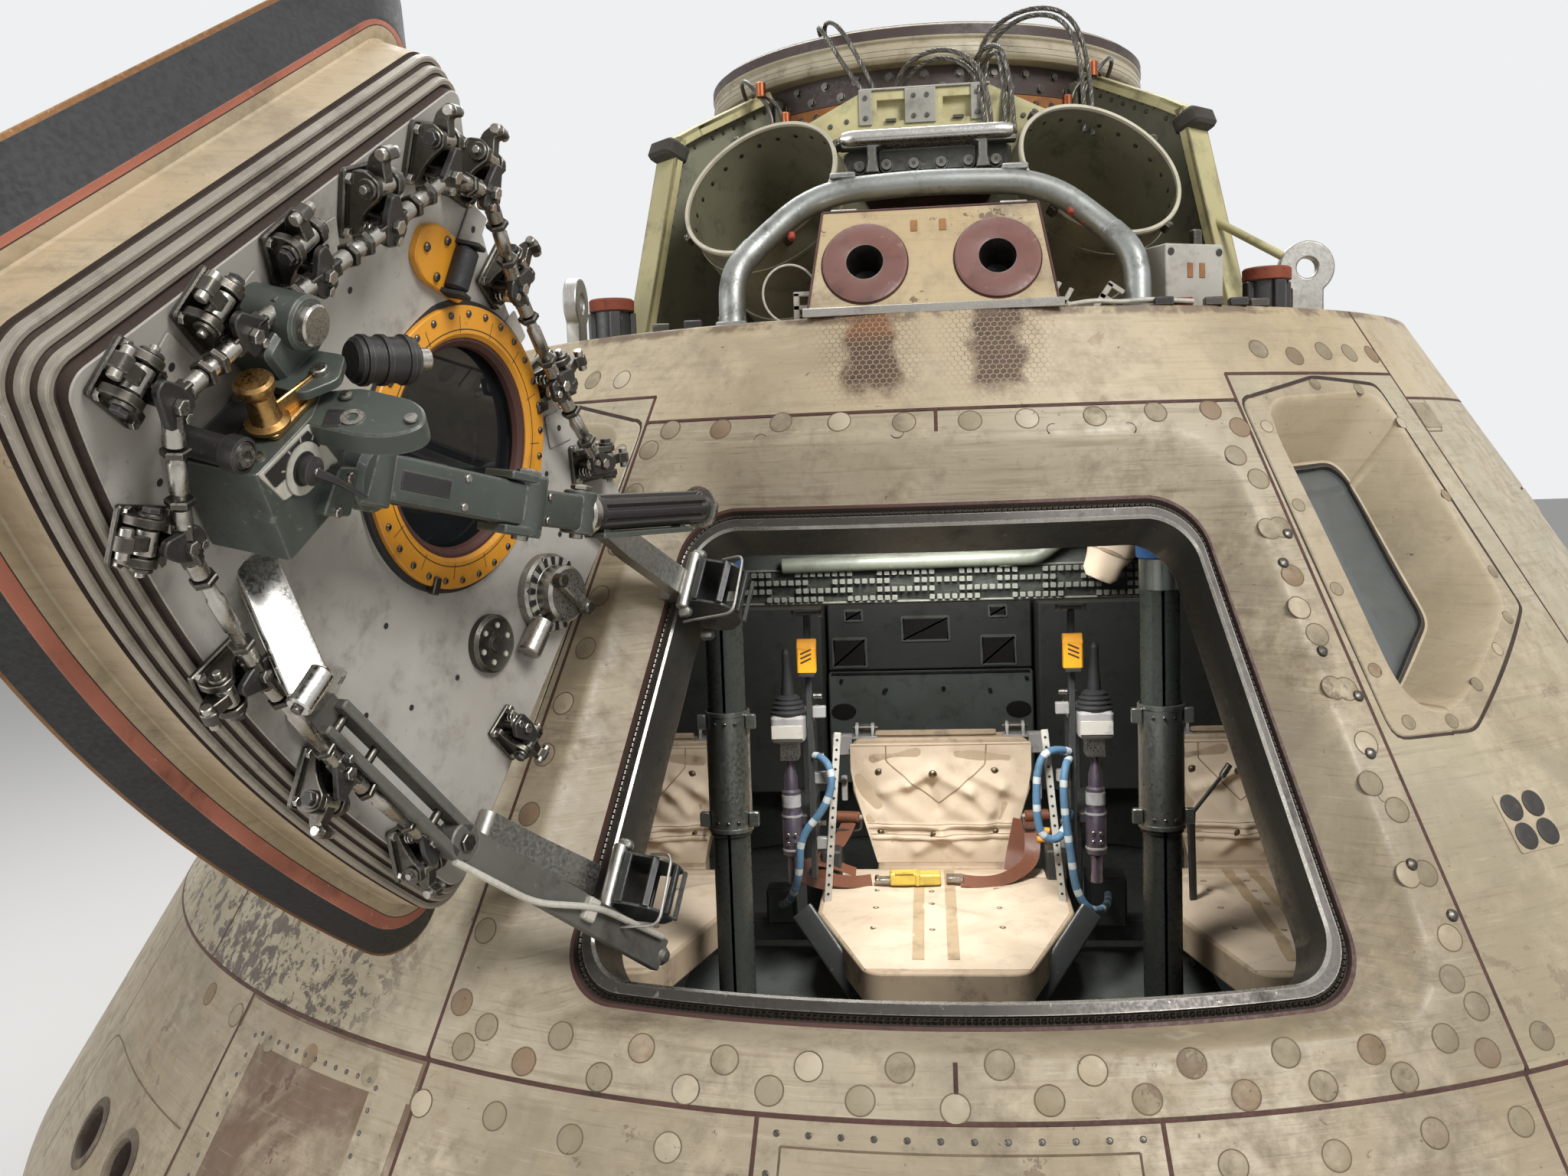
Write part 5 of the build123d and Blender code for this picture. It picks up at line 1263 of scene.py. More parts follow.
LATCHES = (  # azimuth, foot, size
    (-12.5, 1.752, 1.04), (-4.5, 1.765, 1.12), (4.5, 1.765, 1.08), (12.5, 1.752, 1.12), (15.6, 1.690, 1.08),
    (15.9, 1.590, 1.14), (16.2, 1.490, 1.08), (16.4, 1.390, 1.10), (16.2, 1.300, 1.12), (10.5, 1.262, 1.08),
    (2.5, 1.258, 1.06), (-5.5, 1.258, 1.10), (-13.0, 1.264, 1.08), (-16.3, 1.430, 0.96),
)
LATCH_MIDDLE, LATCH_LIFT = 1.510, 0.0015


def edge_place(azimuth, foot, size=1.0, twist=0.0):
    """Placement on the inner face whose Y points away from the panel's middle."""
    spin = math.degrees(math.atan2((foot - LATCH_MIDDLE) / C, -math.radians(azimuth) * cone_r(foot))) - 90
    return inner_matrix(azimuth, foot, HATCH_DEPTH, spin + twist) @ move(0, 0, LATCH_LIFT) @ \
        stretch(size, size, size)


right_latch, left_latch = latch(1.0), latch(-1.0)
latch_places = [edge_place(*row, twist=4 * math.sin(2.1 * i)) for i, row in enumerate(LATCHES)]
latches = total([(right_latch if i % 2 else left_latch).at(place) for i, place in enumerate(latch_places)])
piece("latches", latches.at(OPEN), "hatch", [steel, bright_steel, black_parts], ["hatch_latches"])

# %% [markdown]
# Push rods join the latches into one chain. Each rod is a turned bar: a fork and a lock nut at each end, a
# waist, and a thicker sleeve in the middle, all of it one profile of radius against length.

# %% Push rods


def push_rod(start, end, thick=0.0068, sleeve=0.3):
    """Rod with necked ends between two points. The profile is symmetric about its middle."""
    start, end = np.asarray(start), np.asarray(end)
    long = float(np.linalg.norm(end - start))
    half = [(thick * .6, .006), (thick * 1.35, .008), (thick * 1.35, .026), (thick * .75, .029),
            (thick * .75, .034), (thick, .040), (thick, long / 2 - .5 * sleeve * long),
            (thick * 1.28, long / 2 - .5 * sleeve * long + .003)]
    profile = half + [(r, long - z) for r, z in reversed(half)]
    bar = lathe(profile, 14, 1)
    nuts = [hexagon(thick * 3.4, z, z + .007, 0) for z in (.029, long - .036)]
    forks = [block(thick * 2.6, thick * 2.2, .016, .001, 0).at(move(0, 0, z)) for z in (-.004, long - .012)]
    return total([bar, *nuts, *forks]).at(from_to(start, end))


def spot(matrix, x, y, z):
    """Point of a placement."""
    return matrix[:3, :3] @ np.array([x, y, z]) + matrix[:3, 3]


LINKED = 13
knuckles = [spot(place, 0, -.013, .036) for place in latch_places]
rods = []
for start, end in zip(knuckles[:LINKED - 1], knuckles[1:LINKED]):
    along = unit(end - start)
    rods.append(push_rod(start + along * .012, end - along * .012))
piece("push_rods", total(rods).at(OPEN), "hatch", [steel, bright_steel], ["hatch_rods"])

# %% [markdown]
# The gearbox is a cast case with a round-ended nose above and a lower, wider foot. It carries a brass knob on
# its side, blank black plates, a white dial with its black lever, two black motors, a side casting and
# bolts. The pump handle folds over it: cranked arms with forked joints, and a fluted grip.

# %% Gearbox
gear_green = worn("gearbox paint", (70, 76, 70), (140, 140, 132), rough=0.4, wear=0.8, dirt=0.4,
                  bare_metal=1.0)
gear_place = inner_matrix(10.5, 1.415, HATCH_DEPTH + 0.004)


def tapered(outline, rows):
    """Block lofted through (height, inset) rows of one outline."""
    return loft([np.column_stack([inset(outline, gap), np.full(len(outline), z)]) for z, gap in rows])


case_line = rounded([(-.118, 0), (-.111, .087), (-.024, .087), (.014, .073), (-.006, 0)], .004, 2)
case = plate_yz(case_line, .110, .017)
nose_line = rounded([(-.034, .060), (-.031, .137), (-.024, .164), (-.010, .183), (.004, .190), (.022, .180),
                     (.032, .160), (.031, .105), (.012, .070)], .010, 3)
nose = plate_yz(nose_line, .026, -.023, 0, .002)
foot_line = rounded([(.020, -.105), (.090, -.090), (.118, -.030), (.100, .060), (.030, .075), (-.020, .050)],
                    .012, 3)
foot_case = tapered(foot_line, [(0, .0), (.004, .0), (.004, .004), (.040, .007), (.058, .014), (.060, .018)])
side_place = move(-.038, 0, 0) @ turn("Y", -90)
knob = lathe([(.020, .005), (.021, .007), (.021, .010), (.015, .013), (.0135, .018), (.0135, .040),
              (.017, .045), (.0185, .048), (.0185, .054), (.016, .057), (.0, .057)], 36, 1)
knob = knob.at(move(.060, -.052, 0))
knob += block(.028, .070, .007, .0015, 1, .006).at(move(.064, -.032, 0))
knob += block(.004, .050, .020, .001, 1).at(move(.070, -.020, .005), turn("Z", -10))
knob += block(.030, .052, .0014, .0004, 2, .003).at(move(.020, -.048, 0))
knob += block(.018, .024, .0014, .0004, 2, .003).at(move(.106, -.018, -.002), turn("Z", 20))
knob += total([lathe([(.0062, 0), (.0060, .0025), (.0, .0032)], 18, 3).at(move(z, y, 0)) for z, y in
               ((.074, -.090), (.006, -.026), (.008, -.108), (.050, .000), (.100, .012), (.176, .004))])
knob += ring([(.006, -.002), (.011, -.002), (.011, .002), (.006, .002)], 24, 3).at(move(.122, -.012, -.002))
switch_plate = slab(rounded([(-.037, -.110), (.009, -.093), (.028, -.012), (-.036, -.032)], .003, 2), .086,
                    .0884,.0005, 4)
switch_band = slab(rounded([(-.034, -.104), (-.012, -.098), (-.006, -.028), (-.032, -.037)], .002, 2), .087,
                   .0892,.0003, 2)
dial = ring([(.017, .0884), (.026, .0884), (.026, .0900), (.017, .0900)], 48, 4)
dial += lathe([(.0168, .088), (.0168, .0905), (.0, .0905)], 36, 2)
dial += lathe([(.013, .090), (.014, .092), (.014, .101), (.009, .104), (.0, .104)], 28, 2)
lever_line = bent([(0, 0, .098), (.018, .012, .108), (.049, .027, .125)], .012, 4)
dial += sweep(lever_line, oblong(.016, .008, .002, 2), finish=2, sizes=np.linspace(1.1, .55, len(lever_line)))
dial += rod(.0045, .100, .106, .001, 16, 3)
dial += total([block(.0016, .005, .0006, .0001, 4).at(turn("Z", a), move(0, .030, .0890))
               for a in (40, 75, 110, 145)])
root_plate = slab(rounded([(.0215, -.024), (.050, -.065), (.081, -.032), (.043, 0)], .005, 3), .060, .100,
                  .0015, 0)
root_plate += total([rod(.0055, .099, .104, .001, 18, 3).at(move(x, y, 0))
                     for x, y in ((.040, -.018), (.060, -.048))])
motor = rod(.014, 0, .075, .002, 28, 2)
motor += ring([(.014, .058), (.017, .059), (.017, .074), (.014, .075)], 28, 2)
motor += ring([(.006, .074), (.010, .074), (.010, .078), (.006, .078)], 20, 3)
motor += rod(.010, -.020, .004, .001, 20, 3)
black_motor = rod(.023, -.034, .034, .004, 32, 2)
black_motor += total([ring([(.023, z), (.0255, z + .001), (.0255, z + .006), (.023, z + .007)], 32, 2)
                      for z in (-.026, -.006, .018)])
black_motor += rod(.012, .032, .050, .002, 20, 3) + block(.016, .022, .030, .002, 2).at(move(0, .024, -.020))
casting = block(.062, .074, .054, .005, 0, .010).at(move(-.078, .023, 0), turn("Z", 18))
casting += (rod(.027, .0, .066, .003, 30, 0) + rod(.020, .064, .076, .002, 24, 3)).at(move(-.100, .030, 0))
ear_line = rounded([(-.020, .040), (.040, .050), (.044, .085), (.010, .100), (-.020, .080)], .008, 3)
casting += plate_yz(ear_line, .010, -.055)
casting += rod(.008, -.012, .012, .001, 18, 3).at(move(-.055, .012, .078), turn("Y", 90))
gearbox = total([case, nose, foot_case, knob.at(side_place), switch_plate, switch_band,
                 dial.at(move(-.002, -.058, 0)), root_plate, motor.at(move(-.056, -.108, .004)), casting,
                 black_motor.at(move(-.026, .084, .092), turn("X", -58), turn("Y", 25))]).at(gear_place)
piece("gearbox", gearbox.at(OPEN), "hatch", [gear_green, brass, black_parts, bright_steel, white_band],
      ["hatch_gearbox"])

# %% Pump handle
ARM_ROOT, ARM_MID = on_wall(6.5, 1.440, 0.235), on_wall(-2.5, 1.560, 0.285)
GRIP_ROOT, GRIP_END = on_wall(-8.0, 1.625, 0.285), on_wall(-19.0, 1.755, 0.285)
ARM_UP = -wall_matrix(-2.5, 1.56)[:3, 2]


def bar(start, end, wide, tall, finish=0, up=ARM_UP, overhang=0.0, corner=0.006):
    """Straight bar with rounded corners and broken ends. Its height points along a given direction."""
    start, end = np.asarray(start), np.asarray(end)
    z = unit(end - start)
    y = unit(up - z * (up @ z))
    place = placed(np.cross(y, z), y, z, start - z * overhang)
    long = float(np.linalg.norm(end - start)) + 2 * overhang
    return slab(oblong(wide, tall, corner, 3), 0, long, .0015, finish).at(place), place, long


def joint_knuckle(place, at, radius, wide):
    """Barrel across a bar with a bright pin and a nut."""
    turned_x = move(0, 0, at) @ turn("Y", 90)
    barrel = rod(radius, -wide / 2, wide / 2, .002, 28)
    pin = rod(radius * .42, -wide / 2 - .006, wide / 2 + .008, .001, 16, 1)
    nut = hexagon(radius * 1.1, wide / 2 + .001, wide / 2 + .007, 1)
    return total([barrel, pin, nut]).at(place, turned_x)


lower_arm, lower_place, lower_long = bar(ARM_ROOT, ARM_MID, .050, .034, 0, overhang=.004)
upper_arm, upper_place, upper_long = bar(ARM_MID, GRIP_ROOT, .044, .030, 0, overhang=.004)
_, grip_place, grip_long = bar(GRIP_ROOT, GRIP_END, .040, .030, 0)
fork = [block(.010, .046, .060, .0015, 0).at(lower_place, move(x, 0, lower_long - .055))
        for x in (-.031, .031)]
window_slot = block(.020, .002, .070, .0008, 2).at(lower_place, move(0, .0172, .035))
side_slots = [block(.002, .014, .060, .0008, 2).at(lower_place, move(x, 0, .045)) for x in (-.0252, .0252)]
screws = [rod(.0045, .0, .003, .0008, 12, 1).at(lower_place, move(x, .0165, z), turn("X", -90))
          for x in (-.016, .016) for z in (.018, .128)]
arm_screws = [rod(.0045, .0, .003, .0008, 12, 1).at(upper_place, move(x, .0150, z), turn("X", -90))
              for x in (-.014, .014) for z in (.030, upper_long - .028)]
FLUTES, FLUTE_DEEP, GRIP_R, PLATE_TURN = 8, 0.0055, 0.0235, 85
angle = np.linspace(0, 2 * np.pi, 128, endpoint=False)
flute = np.clip(1 - (np.abs((angle * FLUTES / (2 * np.pi)) % 1 - 0.5) / 0.2) ** 2, 0, 1) ** 0.5
grip_radius = GRIP_R - FLUTE_DEEP * flute
grip_round = np.stack([grip_radius * np.cos(angle), grip_radius * np.sin(angle)], -1)
plain_round = circle(GRIP_R, 128)
rows = [(plain_round * .90, .0), (plain_round, .003), (plain_round, .014), (grip_round, .020),
        (grip_round, grip_long - .014), (plain_round, grip_long - .010), (plain_round, grip_long)]
grip = loft([np.column_stack([flat, np.full(128, z)]) for flat, z in rows], finish=2).at(grip_place)
flange = lathe([(.024, grip_long - .001), (.030, grip_long + .001), (.030, grip_long + .007),
                (.026, grip_long + .010), (.010, grip_long + .012), (.0085, grip_long + .036),
                (.0065, grip_long + .044), (.0, grip_long + .045)], 40, 1).at(grip_place)
collar = lathe([(.0, -.014), (.024, -.014), (.027, -.011), (.027, .0), (.0, .0)], 40, 1).at(grip_place)
plate_place = grip_place @ turn("Z", PLATE_TURN)
top_plate = block(.034, .007, grip_long * .80, .0012, 0).at(plate_place, move(0, .0285, grip_long * .06))
plate_feet = [block(.018, .008, .012, .001, 0).at(plate_place, move(0, .0235, z))
              for z in (grip_long * .10, grip_long * .78)]
root_boss = lathe([(.034, -.012), (.038, -.008), (.038, .012), (.030, .018), (.0, .018)], 40, 0)
root_boss = root_boss.at(inner_matrix(6.5, 1.440, 0.235))
root_stem = rod(.026, -.055, .0, .002, 32, 1).at(inner_matrix(6.5, 1.440, 0.235))
handle = total([lower_arm, upper_arm, *fork, window_slot, *side_slots, *screws, *arm_screws, grip, flange,
                collar, top_plate, *plate_feet, root_boss, root_stem,
                joint_knuckle(lower_place, lower_long - .006, .024, .070),
                joint_knuckle(upper_place, upper_long - .022, .021, .054),
                joint_knuckle(lower_place, .006, .025, .064)])
piece("pump_arm", handle.at(OPEN), "hatch", [gear_green, bright_steel, black_parts], ["pump_handle"])

# %% [markdown]
# The round window has an amber flange with thirty screws and thin index lines, a black seal under it and a
# red-brown one round the glass. Two panes lie in the bore. The valve beside it carries a graduated ring,
# which is drawn as alternating black and white blocks.

# %% Hatch window and valve
window_place = inner_matrix(*WINDOW)
flange_ring = ring([(.134, .006), (RING_OUT, .006), (RING_OUT, .016), (RING_OUT - .002, .018), (.139, .018),
                    (.134, .014)], 96, 0)
SCREWS = 30
screw_places = [turn("Z", 360 / SCREWS * (i + .5)) @ move(RING_OUT - .010, 0, .018) for i in range(SCREWS)]
ring_screw = lathe([(.0042, 0), (.0042, .0016), (.0030, .0028), (.0, .0030)], 12, 1)
index_lines = [block(.020, .0009, .0003, .0001, 2).at(turn("Z", a), move(.150, 0, .018))
               for a in range(0, 360, 24)]
arc_line = ring([(.1435, .0178), (.1445, .0178), (.1445, .0184), (.1435, .0184)], 96, 2)
outer_seal = ring([(RING_OUT, .0045), (RING_OUT + .007, .0045), (RING_OUT + .006, .010), (RING_OUT, .011)],
                  96, 2)
inner_seal = ring([(.122, .002), (.135, .002), (.135, .0125), (.130, .0125), (.124, .008)], 96, 3)
clips = [block(.022, .012, .010, .0012, 1).at(turn("Z", a), move(RING_OUT - .002, 0, .012))
         for a in (64, 190, 300)]
window_ring = total([flange_ring, ring_screw.repeated(screw_places), *index_lines, arc_line, outer_seal,
                     inner_seal, *clips]).at(window_place)
piece("window_flange", window_ring.at(OPEN), "hatch", [amber, steel, rubber_and_hole_shade, seal_red], ["hatch_window_ring"])


def glass(name, tint, rough, clear):
    """Pane material: tinted, with smears up to 0.14 rougher than the rest."""
    made, g, shader = blank(name)
    smear = g.between(g.noise(g.coords(), 9.0, 6.0, 0.6), 0.45, 0.75, rough, rough + 0.14)
    g.feed(shader, {"Roughness": smear, "Base Color": rgb(*tint), "IOR": 1.46, "Transmission Weight": clear})
    return made


dark_glass = glass("dark pane", (70, 74, 76), 0.02, 0.85)
pane = lathe([(.1295, 0), (.1300, .0005), (.1300, .0105), (.1295, .011), (.0, .011)], 96, 0)
panes = total([pane.at(window_place, move(0, 0, z)) for z in (-.018, -.076)])
piece("hatch_panes", panes.at(OPEN), "hatch", [dark_glass], ["hatch_glass"])

valve_place = inner_matrix(-14.5, 1.590)
valve_body = lathe([(.054, 0), (.054, .013), (.051, .017), (.040, .018), (.038, .020), (.038, .040),
                    (.034, .044), (.0, .044)], 64, 0)
GRADUATIONS = 36
cells = total([block(.0115, .0072, .0022, .0003, 1 + i % 2)
               .at(turn("Z", 360 / GRADUATIONS * i), move(.0445, 0, .0172)) for i in range(GRADUATIONS)])
wing = slab(oblong(.076, .014, .004, 3), .044, .058, .002, 0)
wing_ends = [rod(.0095, .044, .060, .002, 20, 3).at(move(x, 0, 0)) for x in (-.033, .033)]
valve_bolts = [hexagon(.009, .0, .020, 3).at(turn("Z", a), move(.0475, 0, 0)) for a in range(30, 390, 60)]
spout = rod(.016, 0, .05, .002, 24, 0).at(move(0, -.044, .020), turn("X", 90))
disc_place = inner_matrix(-12.0, 1.495)
disc = lathe([(.038, 0), (.038, .010), (.034, .014), (.030, .012), (.012, .012), (.010, .016), (.0, .016)],
             48, 3)
disc_bolts = [hexagon(.007, .009, .014, 1).at(turn("Z", a), move(.024, 0, 0)) for a in range(0, 360, 60)]
valve = total([valve_body, cells, wing, *wing_ends, *valve_bolts, spout]).at(valve_place) + \
    total([disc, *disc_bolts]).at(disc_place)
piece("vent_valve", valve.at(OPEN), "hatch", [bright_steel, white_band, black_parts, steel],
      ["pressure_valve"])

# %% [markdown]
# Smaller things ride on the hatch's inner face too: an amber bracket with a rubber clip, a polished vee that
# props the edge, light pads between the latches, and the stay. The stay is a pair of rails on the hatch and a
# flat bar that reaches down into the corner of the opening. Two open brackets of bent plate, each with a wire
# guard, stand at the hinges. They swing with the arms and are drawn where they are when the hatch is open.

# %% Brackets, pads and stay on the hatch


def from_solid(place, *shapes):
    """Shapes of one fitting put at its place on the closed hatch and swung open with it."""
    return total(shapes).at(OPEN @ place)


clip_place = inner_matrix(8.8, 1.690, HATCH_DEPTH, 35)
amber_plate = slab(rounded([(-.062, -.018), (-.030, -.034), (.060, -.031), (.060, .031), (-.030, .034),
                            (-.062, .018)], .012, 4), 0, .010, .0015, 0)
clip_bolts = [rod(.0055, .010, .014, .0015, 14, 1).at(move(x, y, 0))
              for x, y in ((-.045, 0), (-.010, .022), (-.010, -.022), (.048, .020), (.048, -.020))]
clip_roller = rod(.014, -.026, .026, .004, 24, 2).at(move(.018, 0, .022), turn("X", 90))
clip_horns = [plate_yz(rounded([(-.012, 0), (.012, 0), (.010, .034), (-.010, .034)], .004, 2), .005, x, 2)
              .at(move(.018, 0, .006), turn("Z", 90)) for x in (-.030, .030)]
piece("window_clip", from_solid(clip_place, amber_plate, *clip_bolts, clip_roller, *clip_horns), "hatch",
      [amber, steel, rubber_and_hole_shade], ["window_bracket"])

VEE_TIP = on_wall(1.5, 1.275, 0.245)
VEE_FEET = [on_wall(5.0, 1.345, HATCH_DEPTH), on_wall(-3.5, 1.335, HATCH_DEPTH)]
vee_up = on_wall(0, 1.345) - on_wall(0, 1.275)
vee = []
for foot in VEE_FEET:
    plate, plate_place, plate_long = bar(foot, VEE_TIP, .012, .046, 0, up=vee_up, corner=.004)
    rib = block(.005, .046, plate_long * .8, .001, 0).at(plate_place, move(.007, 0, plate_long * .08))
    vee += [plate, rib] + [rod(.006, 0, .004, .001, 14, 1).at(plate_place, move(.006, y, z), turn("Y", 90))
                           for y in (-.013, .013) for z in (.018, .042)]
vee.append(rod(.014, -.023, .023, .002, 28, 0).at(from_to(VEE_TIP, VEE_TIP + vee_up)))
vee.append(rod(.006, -.028, .028, .001, 16, 1).at(from_to(VEE_TIP, VEE_TIP + vee_up)))
piece("vee_prop", total(vee).at(OPEN), "hatch", [polished, steel], ["vee_bracket"])

BACK = np.linalg.inv(OPEN)
STAY_HULL = on_wall(-16.2, 1.262, 0.118)
stay_end = BACK[:3, :3] @ STAY_HULL + BACK[:3, 3]
RAIL_START, STAY_BEND = on_wall(-3.0, 1.300, HATCH_DEPTH + .030), on_wall(-14.0, 1.285, HATCH_DEPTH + .052)
stay_up = -wall_matrix(-8.0, 1.29)[:3, 2]
stay = []
_, rail_place, rail_long = bar(RAIL_START, STAY_BEND, .012, .030, 0, up=stay_up)
for x in (-.017, .017):
    stay.append(block(.012, .030, rail_long, .002, 0).at(rail_place, move(x, 0, 0)))
stay += [rod(.0055, -.026, .026, .001, 16, 1).at(rail_place, move(0, 0, z), turn("Y", 90))
         for z in (.02, .08, rail_long - .05)]
stay.append(rod(.024, -.015, .015, .002, 32, 0).at(rail_place, move(0, 0, rail_long), turn("X", 90)))
stay.append(hexagon(.020, .015, .021, 1).at(rail_place, move(0, 0, rail_long), turn("X", -90)))
flat_bar, flat_place, flat_long = bar(STAY_BEND, stay_end, .044, .018, 0, up=stay_up, corner=.003)
stay.append(flat_bar)
ball = lathe([(.0, -.014), (.008, -.012), (.0135, -.005), (.0135, .005), (.008, .012), (.0, .014)], 24, 0)
stay.append(ball.at(from_to(stay_end, stay_end + stay_up)))
stay.append(block(.050, .046, .030, .002, 0).at(from_to(on_wall(-3.0, 1.300, HATCH_DEPTH), RAIL_START)))
white_tube = bent([spot(flat_place, -.026, .012, .0), spot(flat_place, -.024, .014, flat_long * .35),
                   spot(flat_place, .010, .020, flat_long * .6),
                   spot(flat_place, .020, .014, flat_long - .02)], .03, 6)
stay_grey = worn("stay bar", (112, 110, 104), (150, 147, 140), rough=0.62, wear=0.6, dirt=0.5, metal=0.7,
                 bare_metal=1.0)
stay.append(sweep(white_tube, circle(.0045, 10), finish=2))
stay.append(block(.030, .016, .020, .002, 2).at(flat_place, move(.004, .012, flat_long * .56)))
piece("stay", total(stay).at(OPEN), "hatch", [stay_grey, steel, white_band], ["stay_bar"])

PADS = ((14.6, 1.640), (14.9, 1.540), (15.2, 1.440), (15.4, 1.345), (8.6, 1.752), (0.0, 1.756), (-8.6, 1.752))
pad = total([block(.044, .050, .0022, .0006, 0, .004), rod(.0042, .0021, .0026, .0002, 16, 1)])
HOLES = ((-6.5, 1.34), (-9.0, 1.38), (-11.0, 1.44), (-13.5, 1.66), (-9.8, 1.70), (6.2, 1.72), (10.8, 1.66),
         (11.8, 1.56), (4.0, 1.30), (9.0, 1.31), (-12.2, 1.32), (11.5, 1.30), (12.6, 1.34), (-4.5, 1.42))
# The holes in the inner face are not cut: each is a thin black disc on the face, as painted shade for the
# hole.
painted_hole_shade = total([rod(.0038, .0004, .0009, .0002, 14, 1).at(inner_matrix(*place)) for place in HOLES])
pads = total([pad.at(edge_place(*row)) for row in PADS])
piece("edge_pads", (pads + painted_hole_shade).at(OPEN), "hatch", [hatch_paint, rubber_and_hole_shade])

# %% Brackets at the hinges
HINGES, BRACKET_AZ, BRACKET_DEPTH = (1.330, 1.715), -18.6, 0.080
saddle = [plate_yz(rounded([(-.050, 0), (.050, 0), (.054, .030), (.040, .072), (.014, .084), (-.020, .080),
                            (-.050, .050)], .010, 4), .004, x, 1) for x in (-.034, .034)]
saddle += [block(.068, .010, .006, .001, 1).at(move(0, y, z), turn("X", a)) for y, z, a in
           ((-.046, .020, 80), (-.044, .050, 70), (-.020, .078, 20), (.014, .083, 0), (.044, .066, -45),
            (.053, .030, -80))]
saddle.append(block(.072, .104, .006, .001, 1))
saddle += [lathe([(.009, 0), (.009, .010), (.006, .016), (.0, .018)], 20, 0).at(move(x, y, .006))
           for x in (-.048, .048) for y in (-.040, .040)]
saddle.append(rod(.010, -.046, .046, .002, 24, 0).at(move(0, .048, .010), turn("Y", 90)))
guard = sweep(bent([(.036, .048, .06), (.036, .062, .10), (-.060, .062, .105), (-.070, .050, .02)], .016, 5),
              circle(.0022, 8), finish=0)
hinge_sets = [total([*saddle, guard]).at(wall_matrix(BRACKET_AZ, foot, BRACKET_DEPTH), turn("Y", 90),
                                         turn("Z", 90)) for foot in HINGES]
piece("hinge_brackets", total(hinge_sets), "hatch", [worn_aluminium, dark_frame])

# %% [markdown]
# What makes the wall look built is on its surface: seams filled with dark red-brown compound, cork plugs over
# the bolts, rivets, pads and patches. Every one of them lies on the cone, so each is a list of azimuths and
# feet. Plugs are drawn once and repeated by matrices, in three shades, because no two batches matched.

# %% Seams


def on_line(corners, step=0.02):
    """Points on the wall along straight lines of azimuth and foot, at even steps."""
    corners = np.asarray(corners, float)
    far = distances(on_wall(corners[:, 0], corners[:, 1]))
    places = np.linspace(0, far[-1], max(3, int(far[-1] / step)))
    return on_wall(np.interp(places, far, corners[:, 0]), np.interp(places, far, corners[:, 1]))


def strip(corners, wide, lift=0.0004, thick=0.004, finish=0):
    """Flat strip laid on the wall along a line, its upper face a little proud of the skin."""
    line = on_line(corners)
    section = [(-wide / 2, lift - thick), (wide / 2, lift - thick), (wide / 2, lift * .4), (wide * .35, lift),
               (-wide * .35, lift), (-wide / 2, lift * .4)]
    return sweep(line, section, wall_out(line), finish)


def arc(foot, start, end, steps=40):
    """Azimuths and feet along a level arc."""
    return [(azimuth, foot) for azimuth in np.linspace(start, end, steps)]


SEAMS = [arc(1.094, -180, 180, 181), arc(1.943, -25.2, 25.2), arc(1.943, 47, 180, 70),
         arc(1.943, -180, -47, 70), [(0, 1.094), (0, 1.152)], [(0, 1.909), (0, 1.943)]]
SEAMS += [[(azimuth, 1.094), (azimuth, 1.943)] for azimuth in (-25.2, 25.2, 100, -100, 180)]
SEAMS += [[(azimuth, 1.094), (azimuth, 1.985)] for azimuth in (-47, 47)]
SEAMS += [[(azimuth, .70), (azimuth, 1.094)] for azimuth in (-8.3, 8.3, -25, 25, -40, 85, -85, 180)]
SEAMS += [[(azimuth, 1.943), (azimuth, 2.098)] for azimuth in (135, -135)]
SEAMS += [arc(1.985, 25.2, 47, 20), arc(1.985, -47, -25.2, 20), [(25.2, 1.943), (25.2, 1.985)],
          [(-25.2, 1.943), (-25.2, 1.985)], [(47, 1.985), (47, 2.098)], [(-47, 1.985), (-47, 2.098)]]
CURVED = [(-57, .70), (-57, .88), (-56, .905), (-54, .912), (-40.7, .912)]
seam_brown = worn("seam compound", (76, 46, 37), (50, 34, 28), rough=0.75, wear=0.3, dirt=0.7)
fine_line = worn("fine line", (112, 96, 74), (80, 66, 50), rough=0.8, wear=0.2, dirt=0.6)
seams = total([strip(line, .0055) for line in SEAMS])
seams += total([strip(line, .0028, .0003, finish=1) for line in (
    CURVED, [(-57, .912), (-57, 1.09)], arc(1.066, -7.2, 7.2), [(-7.2, .74), (-7.2, 1.066)],
    [(7.2, .74), (7.2, 1.066)], [(-38.6, .76), (-38.6, 1.065)], [(-27, .76), (-27, 1.065)],
    arc(1.065, -38.6, -27), [(47.2, 1.885), (50.6, 1.885), (50.6, 1.94)])])
BORDERS = ((arc(1.066, -39.7, -25.3), .052), ([(-26.7, .71), (-26.7, 1.05)], .072),
           ([(-38.6, .71), (-38.6, 1.05)], .072))
seams += total([strip(line, wide, .0006, finish=2) for line, wide in BORDERS])
piece("seams", seams, "hull", [seam_brown, fine_line, lower_skin])

